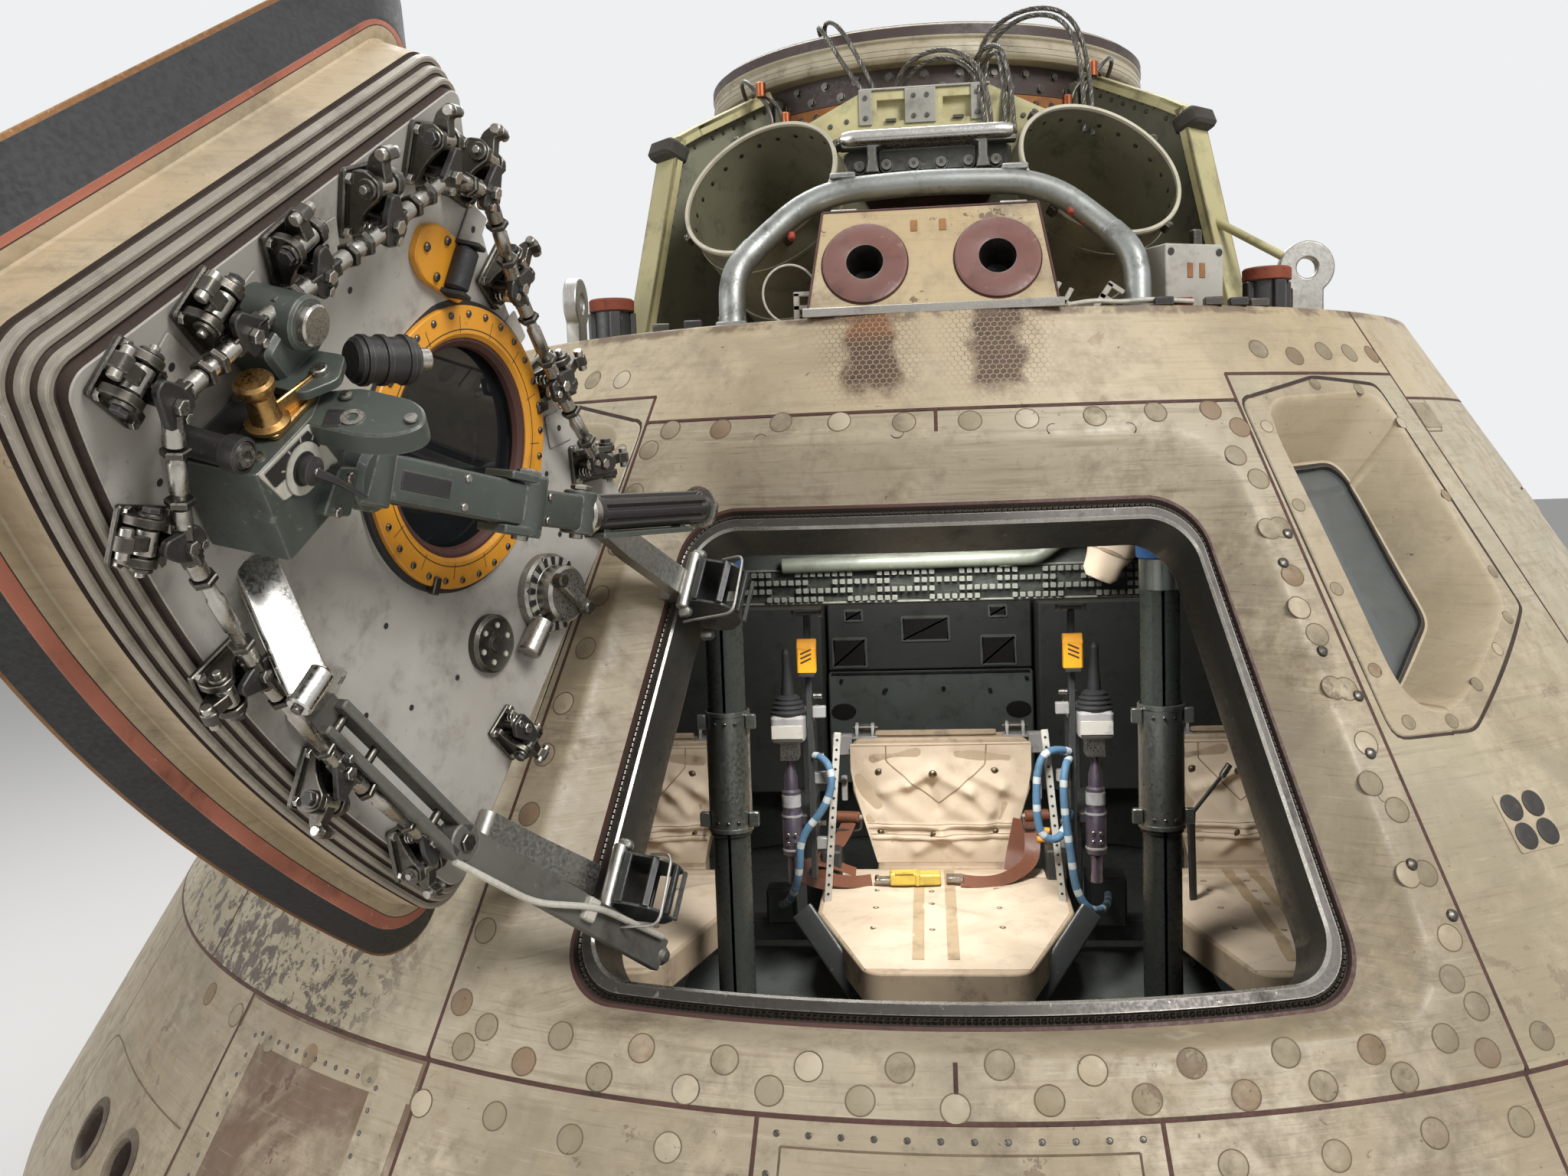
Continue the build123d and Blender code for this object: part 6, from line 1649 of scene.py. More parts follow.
# %% Plugs, rivets, pads and patches
plug_brown = skin("brown plug", (134, 112, 88), grime=0.7, streaks=0.0, flakes=0.8, rough=0.65)
plug_pale = skin("pale plug", (182, 170, 148), grime=0.5, streaks=0.0, flakes=0.2, rough=0.55)
plug = lathe([(.0168, -.003), (.0168, .0002), (.0160, .0006), (.0, .0008)], 26, 0)
plug += ring([(.0168, -.002), (.0184, -.002), (.0184, .00025), (.0168, .00035)], 26, 3)
PLUG_ROWS = (  # start, end, count
    ((-22.5, 1.928), (22.5, 1.928), 10), ((-22.0, 1.143), (22.0, 1.143), 12),
    ((-23.5, 1.112), (23.5, 1.112), 13), ((24.1, 1.165), (24.1, 1.90), 11),
    ((23.3, 1.20), (23.3, 1.86), 7), ((-24.1, 1.165), (-24.1, 1.90), 11),
    ((-45, 1.055), (-12, 1.055), 9), ((11, 1.055), (80, 1.055), 17), ((27, 1.125), (44, 1.125), 6),
    ((30, 2.02), (46, 2.02), 5), ((-46, 2.02), (-30, 2.02), 5), ((49, 1.13), (97, 1.13), 12),
    ((104, 1.13), (256, 1.13), 26), ((104, 1.90), (256, 1.90), 18), ((90, 1.05), (270, 1.05), 28),
)
JITTER = (0.22, 0.0035)
plug_places = []
for (a0, z0), (a1, z1), count in PLUG_ROWS:
    for share in np.linspace(0, 1, count):
        jitter = random.normal(0, 1, 2) * JITTER
        plug_places.append(wall_matrix(a0 + (a1 - a0) * share + jitter[0], z0 + (z1 - z0) * share + jitter[1],
                                       spin=random.uniform(0, 360)))
WINDOW_PLUGS = ((27.0, 1.90), (26.6, 1.78), (26.6, 1.66), (26.7, 1.55), (27.4, 1.481), (30.6, 1.475),
                (34.2, 1.515), (38.0, 1.555), (41.2, 1.594), (42.9, 1.66), (43.1, 1.78), (43.3, 1.90),
                (40.0, 1.958), (34.5, 1.966))
plug_places += [wall_matrix(sign * azimuth, foot) @ stretch(.62, .62, 1) for azimuth, foot in WINDOW_PLUGS
                for sign in (1, -1)]
shade = np.mod(np.arange(len(plug_places)) * 7, 11)
plugs = []
for number, chosen in ((0, shade < 7), (1, (shade == 7) | (shade == 8)), (2, shade > 8)):
    tinted = Shape(plug.points, [(corners, number if mark == 0 else mark) for corners, mark in plug.faces])
    plugs.append(tinted.repeated(np.asarray(plug_places)[chosen]))
piece("plugs", total(plugs), "hull", [plug_skin, plug_brown, plug_pale, fine_line])

rivet = lathe([(.0042, -.001), (.0042, .0004), (.0026, .0016), (.0, .0018)], 12, 0)
small = [wall_matrix(azimuth, foot) for azimuth in (-38.0, -27.6) for foot in np.linspace(.78, 1.05, 12)]
small += [wall_matrix(azimuth, 1.056) for azimuth in np.linspace(-37.4, -28.2, 12)]
small += [wall_matrix(azimuth, foot) for azimuth in (-7.7, 7.7) for foot in np.linspace(.76, 1.04, 9)]
small += [wall_matrix(azimuth, 1.078) for azimuth in np.linspace(-7.4, 7.4, 12)]
dome = lathe([(.0085, -.001), (.0085, .001), (.0068, .004), (.0030, .0058), (.0, .006)], 18, 0)
domes = [wall_matrix(azimuth, foot) for azimuth, foot in
         ((23.6, 1.32), (23.9, 1.45), (23.5, 1.58), (23.3, 1.70), (24.7, 1.26), (24.7, 1.52), (24.6, 1.74))]
half_moon = sweep([(.010 * math.cos(a), .010 * math.sin(a), .0003) for a in np.linspace(0.2, 2.9, 12)],
                  circle(.0009, 6), normal=UP, finish=1)
moons = [wall_matrix(azimuth, foot, depth, spin) for azimuth, foot, depth, spin in
         ((-14, 1.907, .001, 20), (-3, 1.910, .001, 190), (9, 1.906, .001, 60), (15, 1.904, .001, 300),
          (23.4, 1.62, .003, 40), (23.7, 1.40, .001, 150), (23.2, 1.76, .005, 250), (-23.4, 1.47, .003, 90))]
piece("wall_fasteners", rivet.repeated(small) + dome.repeated(domes) + half_moon.repeated(moons), "hull",
      [steel, dark_marks_and_recess_shade])

pad_plate = slab(oblong(.092, .084, .005, 3), -.001, .0015, .0006, 0)
round_pad = lathe([(.0190, .001), (.0190, .0032), (.0170, .0042), (.0060, .0038), (.0, .0030)], 28, 1)
pads = total([pad_plate] + [round_pad.at(move(x, y, 0)) for x in (-.0225, .0225) for y in (-.0205, .0205)])
patches = [pads.at(wall_matrix(32.5, 1.345)), pads.at(wall_matrix(-32.5, 1.345))]
PATCHES = ((48.9, 1.913, .066, .052, 2), (52.4, 1.52, .050, .034, 0), (50.6, 1.445, .036, .030, 2),
           (54.2, 1.60, .030, .044, 0), (-50.0, 1.50, .060, .040, 2), (120, 1.5, .12, .08, 2),
           (-150, 1.6, .16, .10, 0), (165, 1.35, .10, .10, 2), (205, 1.7, .08, .06, 0))
for azimuth, foot, wide, high, mark in PATCHES:
    patch = slab(oblong(wide, high, .004, 2), -.003, .0012, .0005, mark)
    patches.append(patch.at(wall_matrix(azimuth, foot)))
pad_black = worn("black pad", (44, 40, 36), (88, 80, 70), rough=0.6, wear=0.5, dirt=0.5)
piece("pads_and_patches", total(patches), "hull", [plug_pale, pad_black, plug_skin])

PORTS = ((50.7, .810, .042), (45.0, .826, .038), (-50.7, .810, .042), (-45.0, .826, .038))
ports = []
for azimuth, foot, radius in PORTS:
    place = wall_matrix(azimuth, foot)
    rim = ring([(radius - .0010, -.05), (radius + .016, -.003), (radius + .016, .0010),
                (radius + .010, .0030), (radius + .001, .0024), (radius - .0015, -.002)], 48, 0)
    # The cone in each port takes the dark finish, as painted shade down the port's throat.
    cone = lathe([(radius * .34, -.078), (radius * .96, -.006), (radius * .93, -.006), (radius * .30, -.080)],
                 40, 1)
    ports += [rim.at(place), cone.at(place)]
piece("roll_port_rims", total(ports), "hull", [char, dark_marks_and_recess_shade])
print("plugs:", len(plug_places), "seams:", len(SEAMS))

# %% [markdown]
# The deck carries the recovery gear: two mortar tubes that threw the small parachutes, four gussets that
# brace the tunnel, a looped bar for the sling, a grab rail and the pitch thrusters. Their solids are plain,
# so this step adds what the eye looks for: rolled rims, riveted webs, caps with lips, sleeves and bands.

# %% Bands round the tunnel
band_brown = worn("dark brown band", (62, 47, 42), (104, 84, 70), rough=0.5, wear=0.6, dirt=0.5)
band_beige = worn("beige band", (176, 166, 142), (120, 104, 82), rough=0.5, wear=0.6, dirt=0.5)
band_orange = worn("orange primer band", (158, 100, 46), (104, 66, 36), rough=0.6, wear=0.5, dirt=0.6)
tunnel_brown = worn("tunnel", (92, 66, 54), (60, 46, 38), rough=0.6, wear=0.5, dirt=0.7)
RING_RADIUS, TUNNEL_RADIUS = 0.473, 0.430


def hoop(radius, low, high, thick, finish, count=120):
    """Band of rectangular section with broken edges, just outside a radius."""
    return ring([(radius - .001, low), (radius + thick, low + .0008), (radius + thick, high - .0008),
                 (radius - .001, high)], count, finish)


def round_row(shape, radius, height, count, start=0.0, tilt=90):
    """One shape at even steps round the axis, facing outwards."""
    places = [turn("Z", angle) @ move(radius, 0, height) @ turn("Y", tilt)
              for angle in start + np.arange(count) * 360 / count]
    return shape.repeated(places)


dressed("top_ring", band_beige, "worn_aluminium", 0.002)
bolt = hexagon(.013, 0, .006, 2) + rod(.0095, -.001, .0015, .0005, 14, 2)
stud = lathe([(.0065, -.001), (.0065, .001), (.0045, .0038), (.0, .0044)], 14, 3)
bands = [hoop(RING_RADIUS, 2.6755, 2.6945, .0012, 0), hoop(RING_RADIUS - .0075, 2.6990, 2.7006, .0005, 0),
         hoop(RING_RADIUS, 2.6525, 2.6540, .0006, 0), hoop(RING_RADIUS, 2.6420, 2.6432, .0006, 0),
         hoop(TUNNEL_RADIUS, 2.575, 2.6305, .003, 0), hoop(TUNNEL_RADIUS, 2.540, 2.5745, .005, 1),
         round_row(bolt, TUNNEL_RADIUS + .003, 2.614, 40),
         round_row(bolt, TUNNEL_RADIUS + .003, 2.588, 40, 4.5),
         round_row(stud, TUNNEL_RADIUS + .005, 2.557, 72)]
piece("tunnel_bands", total(bands), "hull", [band_brown, band_orange, steel, black_parts])
dressed("tunnel", tunnel_brown, "brown_primer", 0.002)

# %% Gussets with riveted webs and lipped caps
web_olive = worn("olive web", (124, 124, 104), (160, 156, 136), rough=0.5, wear=0.5, dirt=0.55)
tape_dark = worn("dark tape", (58, 54, 48), (96, 90, 80), rough=0.85, wear=0.4, dirt=0.6)
GUSSET = ((.430, 2.100), (.800, 2.100), (.700, 2.500), (.655, 2.525), (.473, 2.615), (.430, 2.615))
CAP_WIDE, CAP_THICK, LIP = .064, .008, .012
gusset = [slab(np.array(GUSSET), -.0045, .0045, .0005, 0)]
side_rivet = lathe([(.0045, -.001), (.0045, .0006), (.0030, .0018), (.0, .0020)], 12, 2)
for (r0, z0), (r1, z1) in zip(GUSSET[1:4], GUSSET[2:5]):
    place = from_to((r0, z0, 0), (r1, z1, 0))
    long = math.hypot(r1 - r0, z1 - z0)
    inward = 1 if place[0, 0] * (TUNNEL_RADIUS - r0) + place[1, 0] * (2.3 - z0) > 0 else -1
    cap = block(CAP_THICK, CAP_WIDE, long + .004, .001, 1)
    lips = [block(LIP + CAP_THICK, .004, long + .004, .001, 1).at(move(inward * LIP / 2, y, 0))
            for y in (-CAP_WIDE / 2 + .002, CAP_WIDE / 2 - .002)]
    gusset += [shape.at(place) for shape in [cap, *lips]]
    steps = np.arange(.03, long - .02, .030)
    for depth in (.016, .030):
        rows = [place @ move(inward * depth, 0, z) @ turn("X", side) @ move(0, 0, .0045)
                for z in steps + (.015 if depth > .02 else 0) for side in (90, -90)]
        gusset.append(side_rivet.repeated(rows))
rows = [move(.450, z, side * .0045) @ turn("X", 0 if side > 0 else 180)
        for z in np.arange(2.13, 2.60, .028) for side in (1, -1)]
gusset.append(side_rivet.repeated(rows))
gusset += [block(.040, .006, .50, .001, 0).at(move(.432, 2.107, side * .022), turn("X", -90))
           for side in (1, -1)]
wrap = block(.056, .074, .034, .006, 3, .016).at(from_to((.712, 2.462, 0), (.690, 2.515, 0)))
gusset.append(wrap)
one_gusset = total(gusset)
gussets = total([one_gusset.at(turn("Z", az - 90), turn("X", 90)) for az in (45, -45, 135, -135)])
piece("gusset_plates", gussets, "hull", [web_olive, chromate, steel, tape_dark], ["gussets"])

# %% Mortar tubes
rim_pale = worn("pale rim", (190, 184, 164), (150, 140, 118), rough=0.4, wear=0.6, dirt=0.35)
mortar_olive = worn("mortar olive", (124, 120, 98), (160, 152, 130), rough=0.42, wear=0.5, dirt=0.5,
                    metal=0.3, bare_metal=0.7)
dressed("mortars", mortar_olive, "olive_metal", 0.001)
MOUTH, MOUTH_R, MOUTH_AZ = (.303, -.682, 2.368), .151, math.atan2(.303, .682)
rims = []
for side in (1, -1):
    mouth = np.array([side * MOUTH[0], MOUTH[1], MOUTH[2]])
    aim = np.array([side * C * math.sin(MOUTH_AZ), -C * math.cos(MOUTH_AZ), S])
    place = from_to(mouth, mouth + aim)
    rims.append(ring([(MOUTH_R - .0052, -.004), (MOUTH_R - .0050, .0012), (MOUTH_R + .0012, .0022),
                      (MOUTH_R + .0026, -.0010), (MOUTH_R + .0012, -.0080), (MOUTH_R - .0010, -.0090)], 96, 0)
                .at(place))
    rims.append(hoop(MOUTH_R, -.060, -.052, .0018, 1, 72).at(place))
    rims.append(hoop(MOUTH_R, -.200, -.188, .0025, 1, 72).at(place))
    clip = block(.016, .012, .020, .002, 2).at(move(0, MOUTH_R + .006, -.018)) + \
        rod(.0035, -.012, .004, .001, 12, 2).at(move(0, MOUTH_R + .009, 0))
    rims += [clip.at(place, turn("Z", angle)) for angle in (35, 128, 215, 300)]
    inner_stud = lathe([(.0045, -.001), (.0045, .0006), (.0, .0020)], 10, 2)
    for height in (-.030, -.215):
        rims.append(round_row(inner_stud, MOUTH_R - .004, height, 24, 7, -90).at(place))
piece("mortar_rims", total(rims), "hull", [rim_pale, mortar_olive, steel])
print("mortar mouths square to the cone, radius", MOUTH_R)

# %% [markdown]
# The thruster housing is a chipped box whose face follows the cone, sealed round its edges with dark red
# compound. Its two nozzles come out level, so their ablative rings are cut as long ovals on the slope and
# look round only from straight ahead. Stretching a round ring along the slope gives the same oval.

# %% Thruster housing and nozzles
panel_skin = skin("housing ablator", (190, 172, 138), grime=0.8, streaks=0.25, flakes=0.75, rough=0.5,
                  bump=0.8)
nozzle_brown = worn("nozzle ring", (112, 74, 66), (158, 138, 126), rough=0.5, wear=0.45, dirt=0.45,
                    edge=0.003)
soot_and_throat_shade = worn("soot_and_throat_shade", (16, 15, 15), (40, 36, 34), rough=0.7, wear=0.2, dirt=0.2)
tape_brown = worn("brown tape", (150, 104, 62), (110, 80, 54), rough=0.7, wear=0.4, dirt=0.5)
dressed("thruster_panel", panel_skin, "weathered_ablator", 0.003)
PANEL_SINK, NOZZLE_X, NOZZLE_Z = .012, .107, 2.188
OVAL = 1.19


def housing(x, z):
    """Placement on the housing's face: X across, Y up the slope, Z straight out of it."""
    return placed((1, 0, 0), (0, S, C), (0, -C, S), (x, -cone_r(z) + PANEL_SINK, z))


nozzle = ring([(.0300, .0045), (.0325, .0060), (.0660, .0060), (.0690, .0040), (.0690, -.006),
               (.0300, -.006)], 64, 0)
nozzle += ring([(.0300, .0050), (.0262, -.012), (.0235, -.052), (.0255, -.052), (.0312, .0040)], 48, 1)
# The disc that closes each throat is near black: partly soot, and partly painted shade standing in for the
# depth of the thruster beyond it.
nozzle += lathe([(.0, -.056), (.027, -.056), (.027, -.050), (.0, -.050)], 40, 2)
nozzle += ring([(.0690, .0005), (.0712, .0012), (.0712, -.004), (.0690, -.004)], 64, 3)
nozzles = [nozzle.at(housing(side * NOZZLE_X, NOZZLE_Z), stretch(1, OVAL, 1)) for side in (1, -1)]
piece("nozzle_rings", total(nozzles), "hull", [nozzle_brown, steel, soot_and_throat_shade, seal_red], ["thruster_nozzles"])

edges = []
for start, end in (((-.200, 2.101), (-.178, 2.283)), ((.200, 2.101), (.178, 2.283)),
                   ((-.178, 2.283), (.178, 2.283))):
    a, b = housing(*start)[:3, 3], housing(*end)[:3, 3]
    edges.append(rod(.0022, 0, float(np.linalg.norm(b - a)), .0005, 8, 0).at(from_to(a, b)))
edges.append(block(.412, .006, .014, .001, 1).at(move(0, -cone_r(2.1) + PANEL_SINK - .004, 2.0995)))
edges += [block(.011, .024, .0015, .0004, 2, .002).at(housing(x, 2.251)) for x in (-.026, .021)]
edges += [block(.044, .030, .004, .001, 1).at(move(x, -.845, 2.2835)) for x in (-.142, .138)]
piece("housing_trim", total(edges), "hull", [seal_red, bright_steel, tape_brown])

# %% Grab rail with sleeves
RAIL = [(-.333, -.880, 2.101), (-.334, -.868, 2.185), (-.300, -.822, 2.238), (-.192, -.787, 2.330),
        (0, -.794, 2.338), (.195, -.787, 2.330), (.300, -.822, 2.238), (.334, -.868, 2.185),
        (.333, -.880, 2.101)]
RAIL_R = .0215
rail_grey = worn("rail aluminium", (150, 152, 148), (196, 196, 190), rough=0.42, wear=0.6, dirt=0.6,
                 metal=0.85, bare_metal=1.0, scale=1.2)
plug_red = worn("red plug", (150, 58, 42), (110, 50, 40), rough=0.5, wear=0.4, dirt=0.4)
rail_line = bent(RAIL, .075, 8)
rail = [sweep(rail_line, circle(RAIL_R, 28), finish=0)]
for side in (1, -1):
    foot = rail_line[:14] if side > 0 else rail_line[::-1][:14]
    rail.append(sweep(foot, circle(RAIL_R + .0012, 28), finish=0))
    rail.append(block(.052, .046, .008, .002, 0).at(move(side * .333, -.880, 2.100)))
    rail += [rod(.006, 0, .012, .002, 12, 1).at(move(side * .333 + x, -.880, 2.107)) for x in (-.019, .019)]
    slope = np.array([side * -.246, -.8045, 2.284])
    rail += [rod(.0065, .016, .030, .002, 14, 2).at(move(*slope), turn("X", 150)).at(move(x, 0, x * -.8))
             for x in (-.011, .011)]
    rail += [hexagon(.013, .018, .029, 1).at(move(side * x, -.789, 2.333)) for x in (.135, .157)]
    rail.append(block(.044, .018, .010, .002, 0).at(move(side * .146, -.789, 2.351)))
piece("rail", total(rail), "hull", [rail_grey, steel, plug_red], ["grab_rail"])

# %% [markdown]
# Above the rail a flattened oval bar stands out on two forked posts from a base with six round bolts. It is
# the brightest metal on the deck, because hands and hooks have polished it. Behind it, a yellow-green
# channel with two pockets ties it to the tunnel.

# %% Looped bar and channel
LOOP_HALF, LOOP_NEAR, LOOP_FAR, LOOP_Z = .146, -.688, -.654, 2.441
base_grey = worn("bracket grey", (108, 108, 102), (168, 166, 158), rough=0.42, wear=0.8, dirt=0.5, metal=0.6,
                 bare_metal=1.0)
loop_line = rounded([(-LOOP_HALF, LOOP_NEAR), (LOOP_HALF, LOOP_NEAR), (LOOP_HALF, LOOP_FAR + .006),
                     (-LOOP_HALF, LOOP_FAR + .006)], .021, 8)
loop_line = np.column_stack([loop_line, np.full(len(loop_line), LOOP_Z)])
loop = [sweep(evenly(loop_line, .012), circle(.0135, 20) * (1, 1.05), UP, 0, loop=True)]
loop.append(block(LOOP_HALF * 2 - .02, .026, .007, .002, 0).at(move(0, -.668, LOOP_Z - .002)))
base_line = [(-.150, 2.386), (-.142, 2.376), (.142, 2.376), (.150, 2.386), (.150, 2.425), (.118, 2.446),
             (-.118, 2.446), (-.150, 2.425)]
loop.append(slab(np.array(base_line), 0, .026, .002, 1).at(move(0, -.613, 0), turn("X", 90)))
boss_line = rounded([(-.088, 2.388), (.088, 2.388), (.088, 2.438), (-.088, 2.438)], .008, 3)
loop.append(slab(boss_line, 0, .034, .002, 1).at(move(0, -.613, 0), turn("X", 90)))
for side in (1, -1):
    post = [(-.012, 2.380), (.012, 2.380), (.008, 2.400), (.008, 2.425), (.016, 2.436), (-.030, 2.440),
            (-.024, 2.430), (-.008, 2.422), (-.008, 2.400)]
    post = np.array(post) * (side, 1)
    loop.append(slab(post[::side], 0, .078, .002, 1).at(move(side * .098, -.613, 0), turn("X", 90)))
    loop.append(block(.070, .030, .010, .002, 1).at(move(side * .122, -.672, 2.424)))
for x in np.linspace(-.122, .122, 6):
    out = .034 if abs(x) < .1 else .030
    bolt_face = rod(.0135, 0, .006, .001, 24, 1) + rod(.0095, .006, .016, .002, 20, 2) + \
        ring([(.0045, .012), (.0088, .012), (.0088, .0172), (.0045, .0172)], 20, 1)
    loop.append(bolt_face.at(move(x, -.613 - out, 2.398), turn("X", 90)))
piece("loop_bar", total(loop), "hull", [polished, base_grey, steel], ["loop_bracket"])

upright_grey = worn("light grey metal", (150, 148, 138), (186, 182, 172), rough=0.45, wear=0.6, dirt=0.45)
pocket_olive = worn("pocket olive", (112, 114, 84), (140, 138, 110), rough=0.5, wear=0.4, dirt=0.5)
dressed("deck_channel", chromate, "chromate_paint", 0.002)
channel = [block(wide, .007, .064, .001, 0).at(move(x, -.6140, 2.4795))
           for x, wide in ((-.110, .024), (-.010, .056), (.0925, .022))]
channel += [block(.060, .003, .036, .0008, 1).at(move(x, -.5870, 2.487)) for x in (-.058, .062)]
channel += [block(.020, .010, .006, .001, 2).at(move(x, -.6150, 2.4830)) for x in (-.064, .058)]
channel.append(block(.232, .010, .004, .001, 0).at(move(0, -.6130, 2.5405)))
stud = rod(.0045, 0, .003, .001, 12, 2).at(turn("X", 90))
channel += [stud.at(move(x, -.6175, z)) for x in (-.110, -.022, .002, .0925) for z in (2.492, 2.528)]
channel += [stud.at(move(side * x, -.6130, 2.466 + (.24 - x) * .24)) for side in (1, -1)
            for x in (.145, .175, .205)]
piece("channel_fittings", total(channel), "hull", [upright_grey, pocket_olive, steel])

# %% Small deck fittings
BOX = move(.412, -.800, 2.100) @ turn("Z", 27)
fittings = [block(.011, .0018, .024, .0004, 0).at(BOX, move(x, -.0455, .050)) for x in (-.010, .014)]
fittings += [rod(.006, 0, .003, .001, 14, 1).at(BOX, move(x, -.0450, z), turn("X", 90))
             for x in (-.048, .048) for z in (.012, .092)]
fittings.append(block(.016, .016, .040, .002, 2).at(BOX, move(.052, .020, .100)))
SOCKET_RADIUS, SOCKET_AZ, DECK_TOP = .930, (38, -38, 142, -142), 2.1
for az in np.radians(SOCKET_AZ):
    cup = move(SOCKET_RADIUS * math.sin(az), -SOCKET_RADIUS * math.cos(az), DECK_TOP)
    fittings.append(ring([(.0375, .0505), (.0405, .0520), (.0405, .0700), (.0375, .0730)], 40, 3).at(cup))
    fittings += [block(.012, .020, .050, .002, 1).at(cup, turn("Z", angle), move(.036, 0, 0))
                 for angle in (20, 110, 200, 290)]
    fittings.append(rod(.024, .058, .064, .002, 30, 4).at(cup))
wire = [(.046 * math.cos(a), .049 + .049 * math.sin(a), 0) for a in np.linspace(-1.2, 4.4, 40)]
fittings.append(sweep(wire, circle(.0020, 8), UP, 4).at(move(-.232, -.895, 2.100),
                                                                           turn("Z", 12), turn("X", 84)))
for x, lean in ((-.222, 0), (.262, 35), (.232, -60)):
    fork = block(.010, .006, .046, .001, 4) + block(.030, .006, .008, .001, 4).at(move(.010, 0, .040)) + \
        block(.030, .006, .008, .001, 4).at(move(.010, 0, .018))
    fittings.append(fork.at(move(x, -.905, 2.102), turn("Y", lean)))
low_line = bent([(.215, -.930, 2.106), (.260, -.925, 2.112), (.300, -.915, 2.108), (.345, -.905, 2.112),
                 (.420, -.890, 2.107)], .02, 4)
fittings.append(sweep(low_line, circle(.004, 10), finish=4))
fittings += [block(.030, .022, .014, .002, number).at(move(x, y, 2.1)) for x, y, number in
             ((.370, -.905, 1), (.455, -.870, 2), (.500, -.845, 1), (.540, -.815, 2), (-.400, -.880, 1),
              (-.460, -.850, 2), (.405, -.880, 3))]
fittings.append(rod(.008, 0, .20, .002, 16, 5).at(from_to((.515, -.520, 2.300), (.640, -.655, 2.190))))
piece("deck_fittings", total(fittings), "hull", [tape_brown, black_parts, steel, rust, white_band, chromate])
copper = worn("copper fitting", (150, 88, 58), (186, 120, 84), rough=0.35, wear=0.6, dirt=0.5, metal=1.0,
              bare_metal=1.0)
pipes = []
for side in (1, -1):
    for shift in (0.0, .022):
        run = bent([(side * (.360 - shift), -.300, 2.600), (side * (.372 - shift), -.350, 2.640 - shift),
                    (side * (.352 - shift), -.420, 2.628 - shift), (side * (.300 - shift), -.455, 2.560),
                    (side * (.292 - shift), -.462, 2.440)], .03, 6)
        pipes.append(sweep(run, circle(.0042, 12), finish=0))
    pipes += [rod(.0095, 0, .030, .002, 16, 1).at(move(side * x, y, z)) for x, y, z in
              ((.292, -.462, 2.500), (.270, -.462, 2.520), (.320, -.445, 2.585))]
    pipes.append(block(.070, .040, .012, .002, 0).at(move(side * .300, -.440, 2.486)))
piece("deck_pipes", total(pipes), "hull", [steel, copper])

# %% [markdown]
# Braided steel slings still hang over the ring and arch behind the looped bar. A cable is a fixed length of
# something springy, so each has a route of a few chosen points that a NURBS curve smooths, and six strands
# wound round that curve: strand k sits at the angle of k sixths of a turn plus the distance over the lay.

# %% Steel slings
cable_steel = worn("cable", (66, 63, 58), (140, 136, 128), rough=0.4, wear=0.7, dirt=0.5, metal=0.8,
                   bare_metal=1.0, scale=3.0)


def smooth_line(points, gap=0.003):
    """Even points along a NURBS curve of order 3 with those control points, read back from a bare curve."""
    data = bpy.data.curves.new("route", "CURVE")
    data.dimensions, data.resolution_u = "3D", 24
    spline = data.splines.new("NURBS")
    spline.points.add(len(points) - 1)
    for control, place in zip(spline.points, points):
        control.co = (*place, 1.0)
    spline.order_u, spline.use_endpoint_u = 3, True
    holder = bpy.data.objects.new("route", data)
    bpy.context.scene.collection.objects.link(holder)
    bpy.context.view_layer.update()
    line = bpy.data.meshes.new_from_object(holder)
    made = np.empty(len(line.vertices) * 3)
    line.vertices.foreach_get("co", made)
    bpy.data.objects.remove(holder)
    return evenly(made.reshape(-1, 3), gap, loop=False)


STRANDS, CORE, STRAND, LAY = 6, .0030, .0017, .045


def sling(name, points):
    """Twisted cable along a route. Gives back its own measured length."""
    line = smooth_line(points)
    ahead = unit(np.gradient(line, axis=0))
    first = carried(ahead)
    second = np.cross(ahead, first)
    far = distances(line)
    made = [sweep(line, circle(CORE - STRAND * .4, 6))]
    for k in range(STRANDS):
        angle = (2 * np.pi * (k / STRANDS + far / LAY))[:, None]
        made.append(sweep(line + CORE * (np.cos(angle) * first + np.sin(angle) * second), circle(STRAND, 6)))
    cable = piece(name, total(made), "hull", [cable_steel])
    return float(far[-1])


SLINGS = (  # route of each sling, from the exit to where it goes back in
    [(-.200, -.428, 2.701), (-.206, -.448, 2.716), (-.190, -.484, 2.688), (-.140, -.502, 2.600),
     (-.098, -.520, 2.541)],
    [(-.192, -.432, 2.701), (-.192, -.452, 2.722), (-.160, -.490, 2.700), (-.118, -.500, 2.620),
     (-.082, -.512, 2.541)],
    [(-.060, -.500, 2.541), (-.058, -.512, 2.590), (.000, -.545, 2.628), (.072, -.585, 2.610),
     (.112, -.628, 2.540), (.118, -.636, 2.448)],
    [(-.046, -.490, 2.541), (-.044, -.502, 2.580), (.006, -.535, 2.616), (.068, -.572, 2.598),
     (.102, -.622, 2.538), (.106, -.634, 2.448)],
    [(.078, -.470, 2.541), (.082, -.490, 2.600), (.118, -.550, 2.634), (.152, -.600, 2.595),
     (.158, -.636, 2.448)],
    [(.094, -.465, 2.541), (.098, -.482, 2.590), (.126, -.535, 2.622), (.140, -.600, 2.590),
     (.142, -.634, 2.448)],
    [(.112, -.455, 2.541), (.110, -.462, 2.640), (.180, -.498, 2.694), (.262, -.520, 2.680),
     (.292, -.545, 2.580), (.288, -.572, 2.455)],
    [(.098, -.450, 2.541), (.094, -.458, 2.652), (.176, -.492, 2.708), (.272, -.512, 2.694),
     (.306, -.538, 2.585), (.304, -.566, 2.450)],
)
lengths = [sling(f"sling_{number + 1}", points) for number, points in enumerate(SLINGS)]
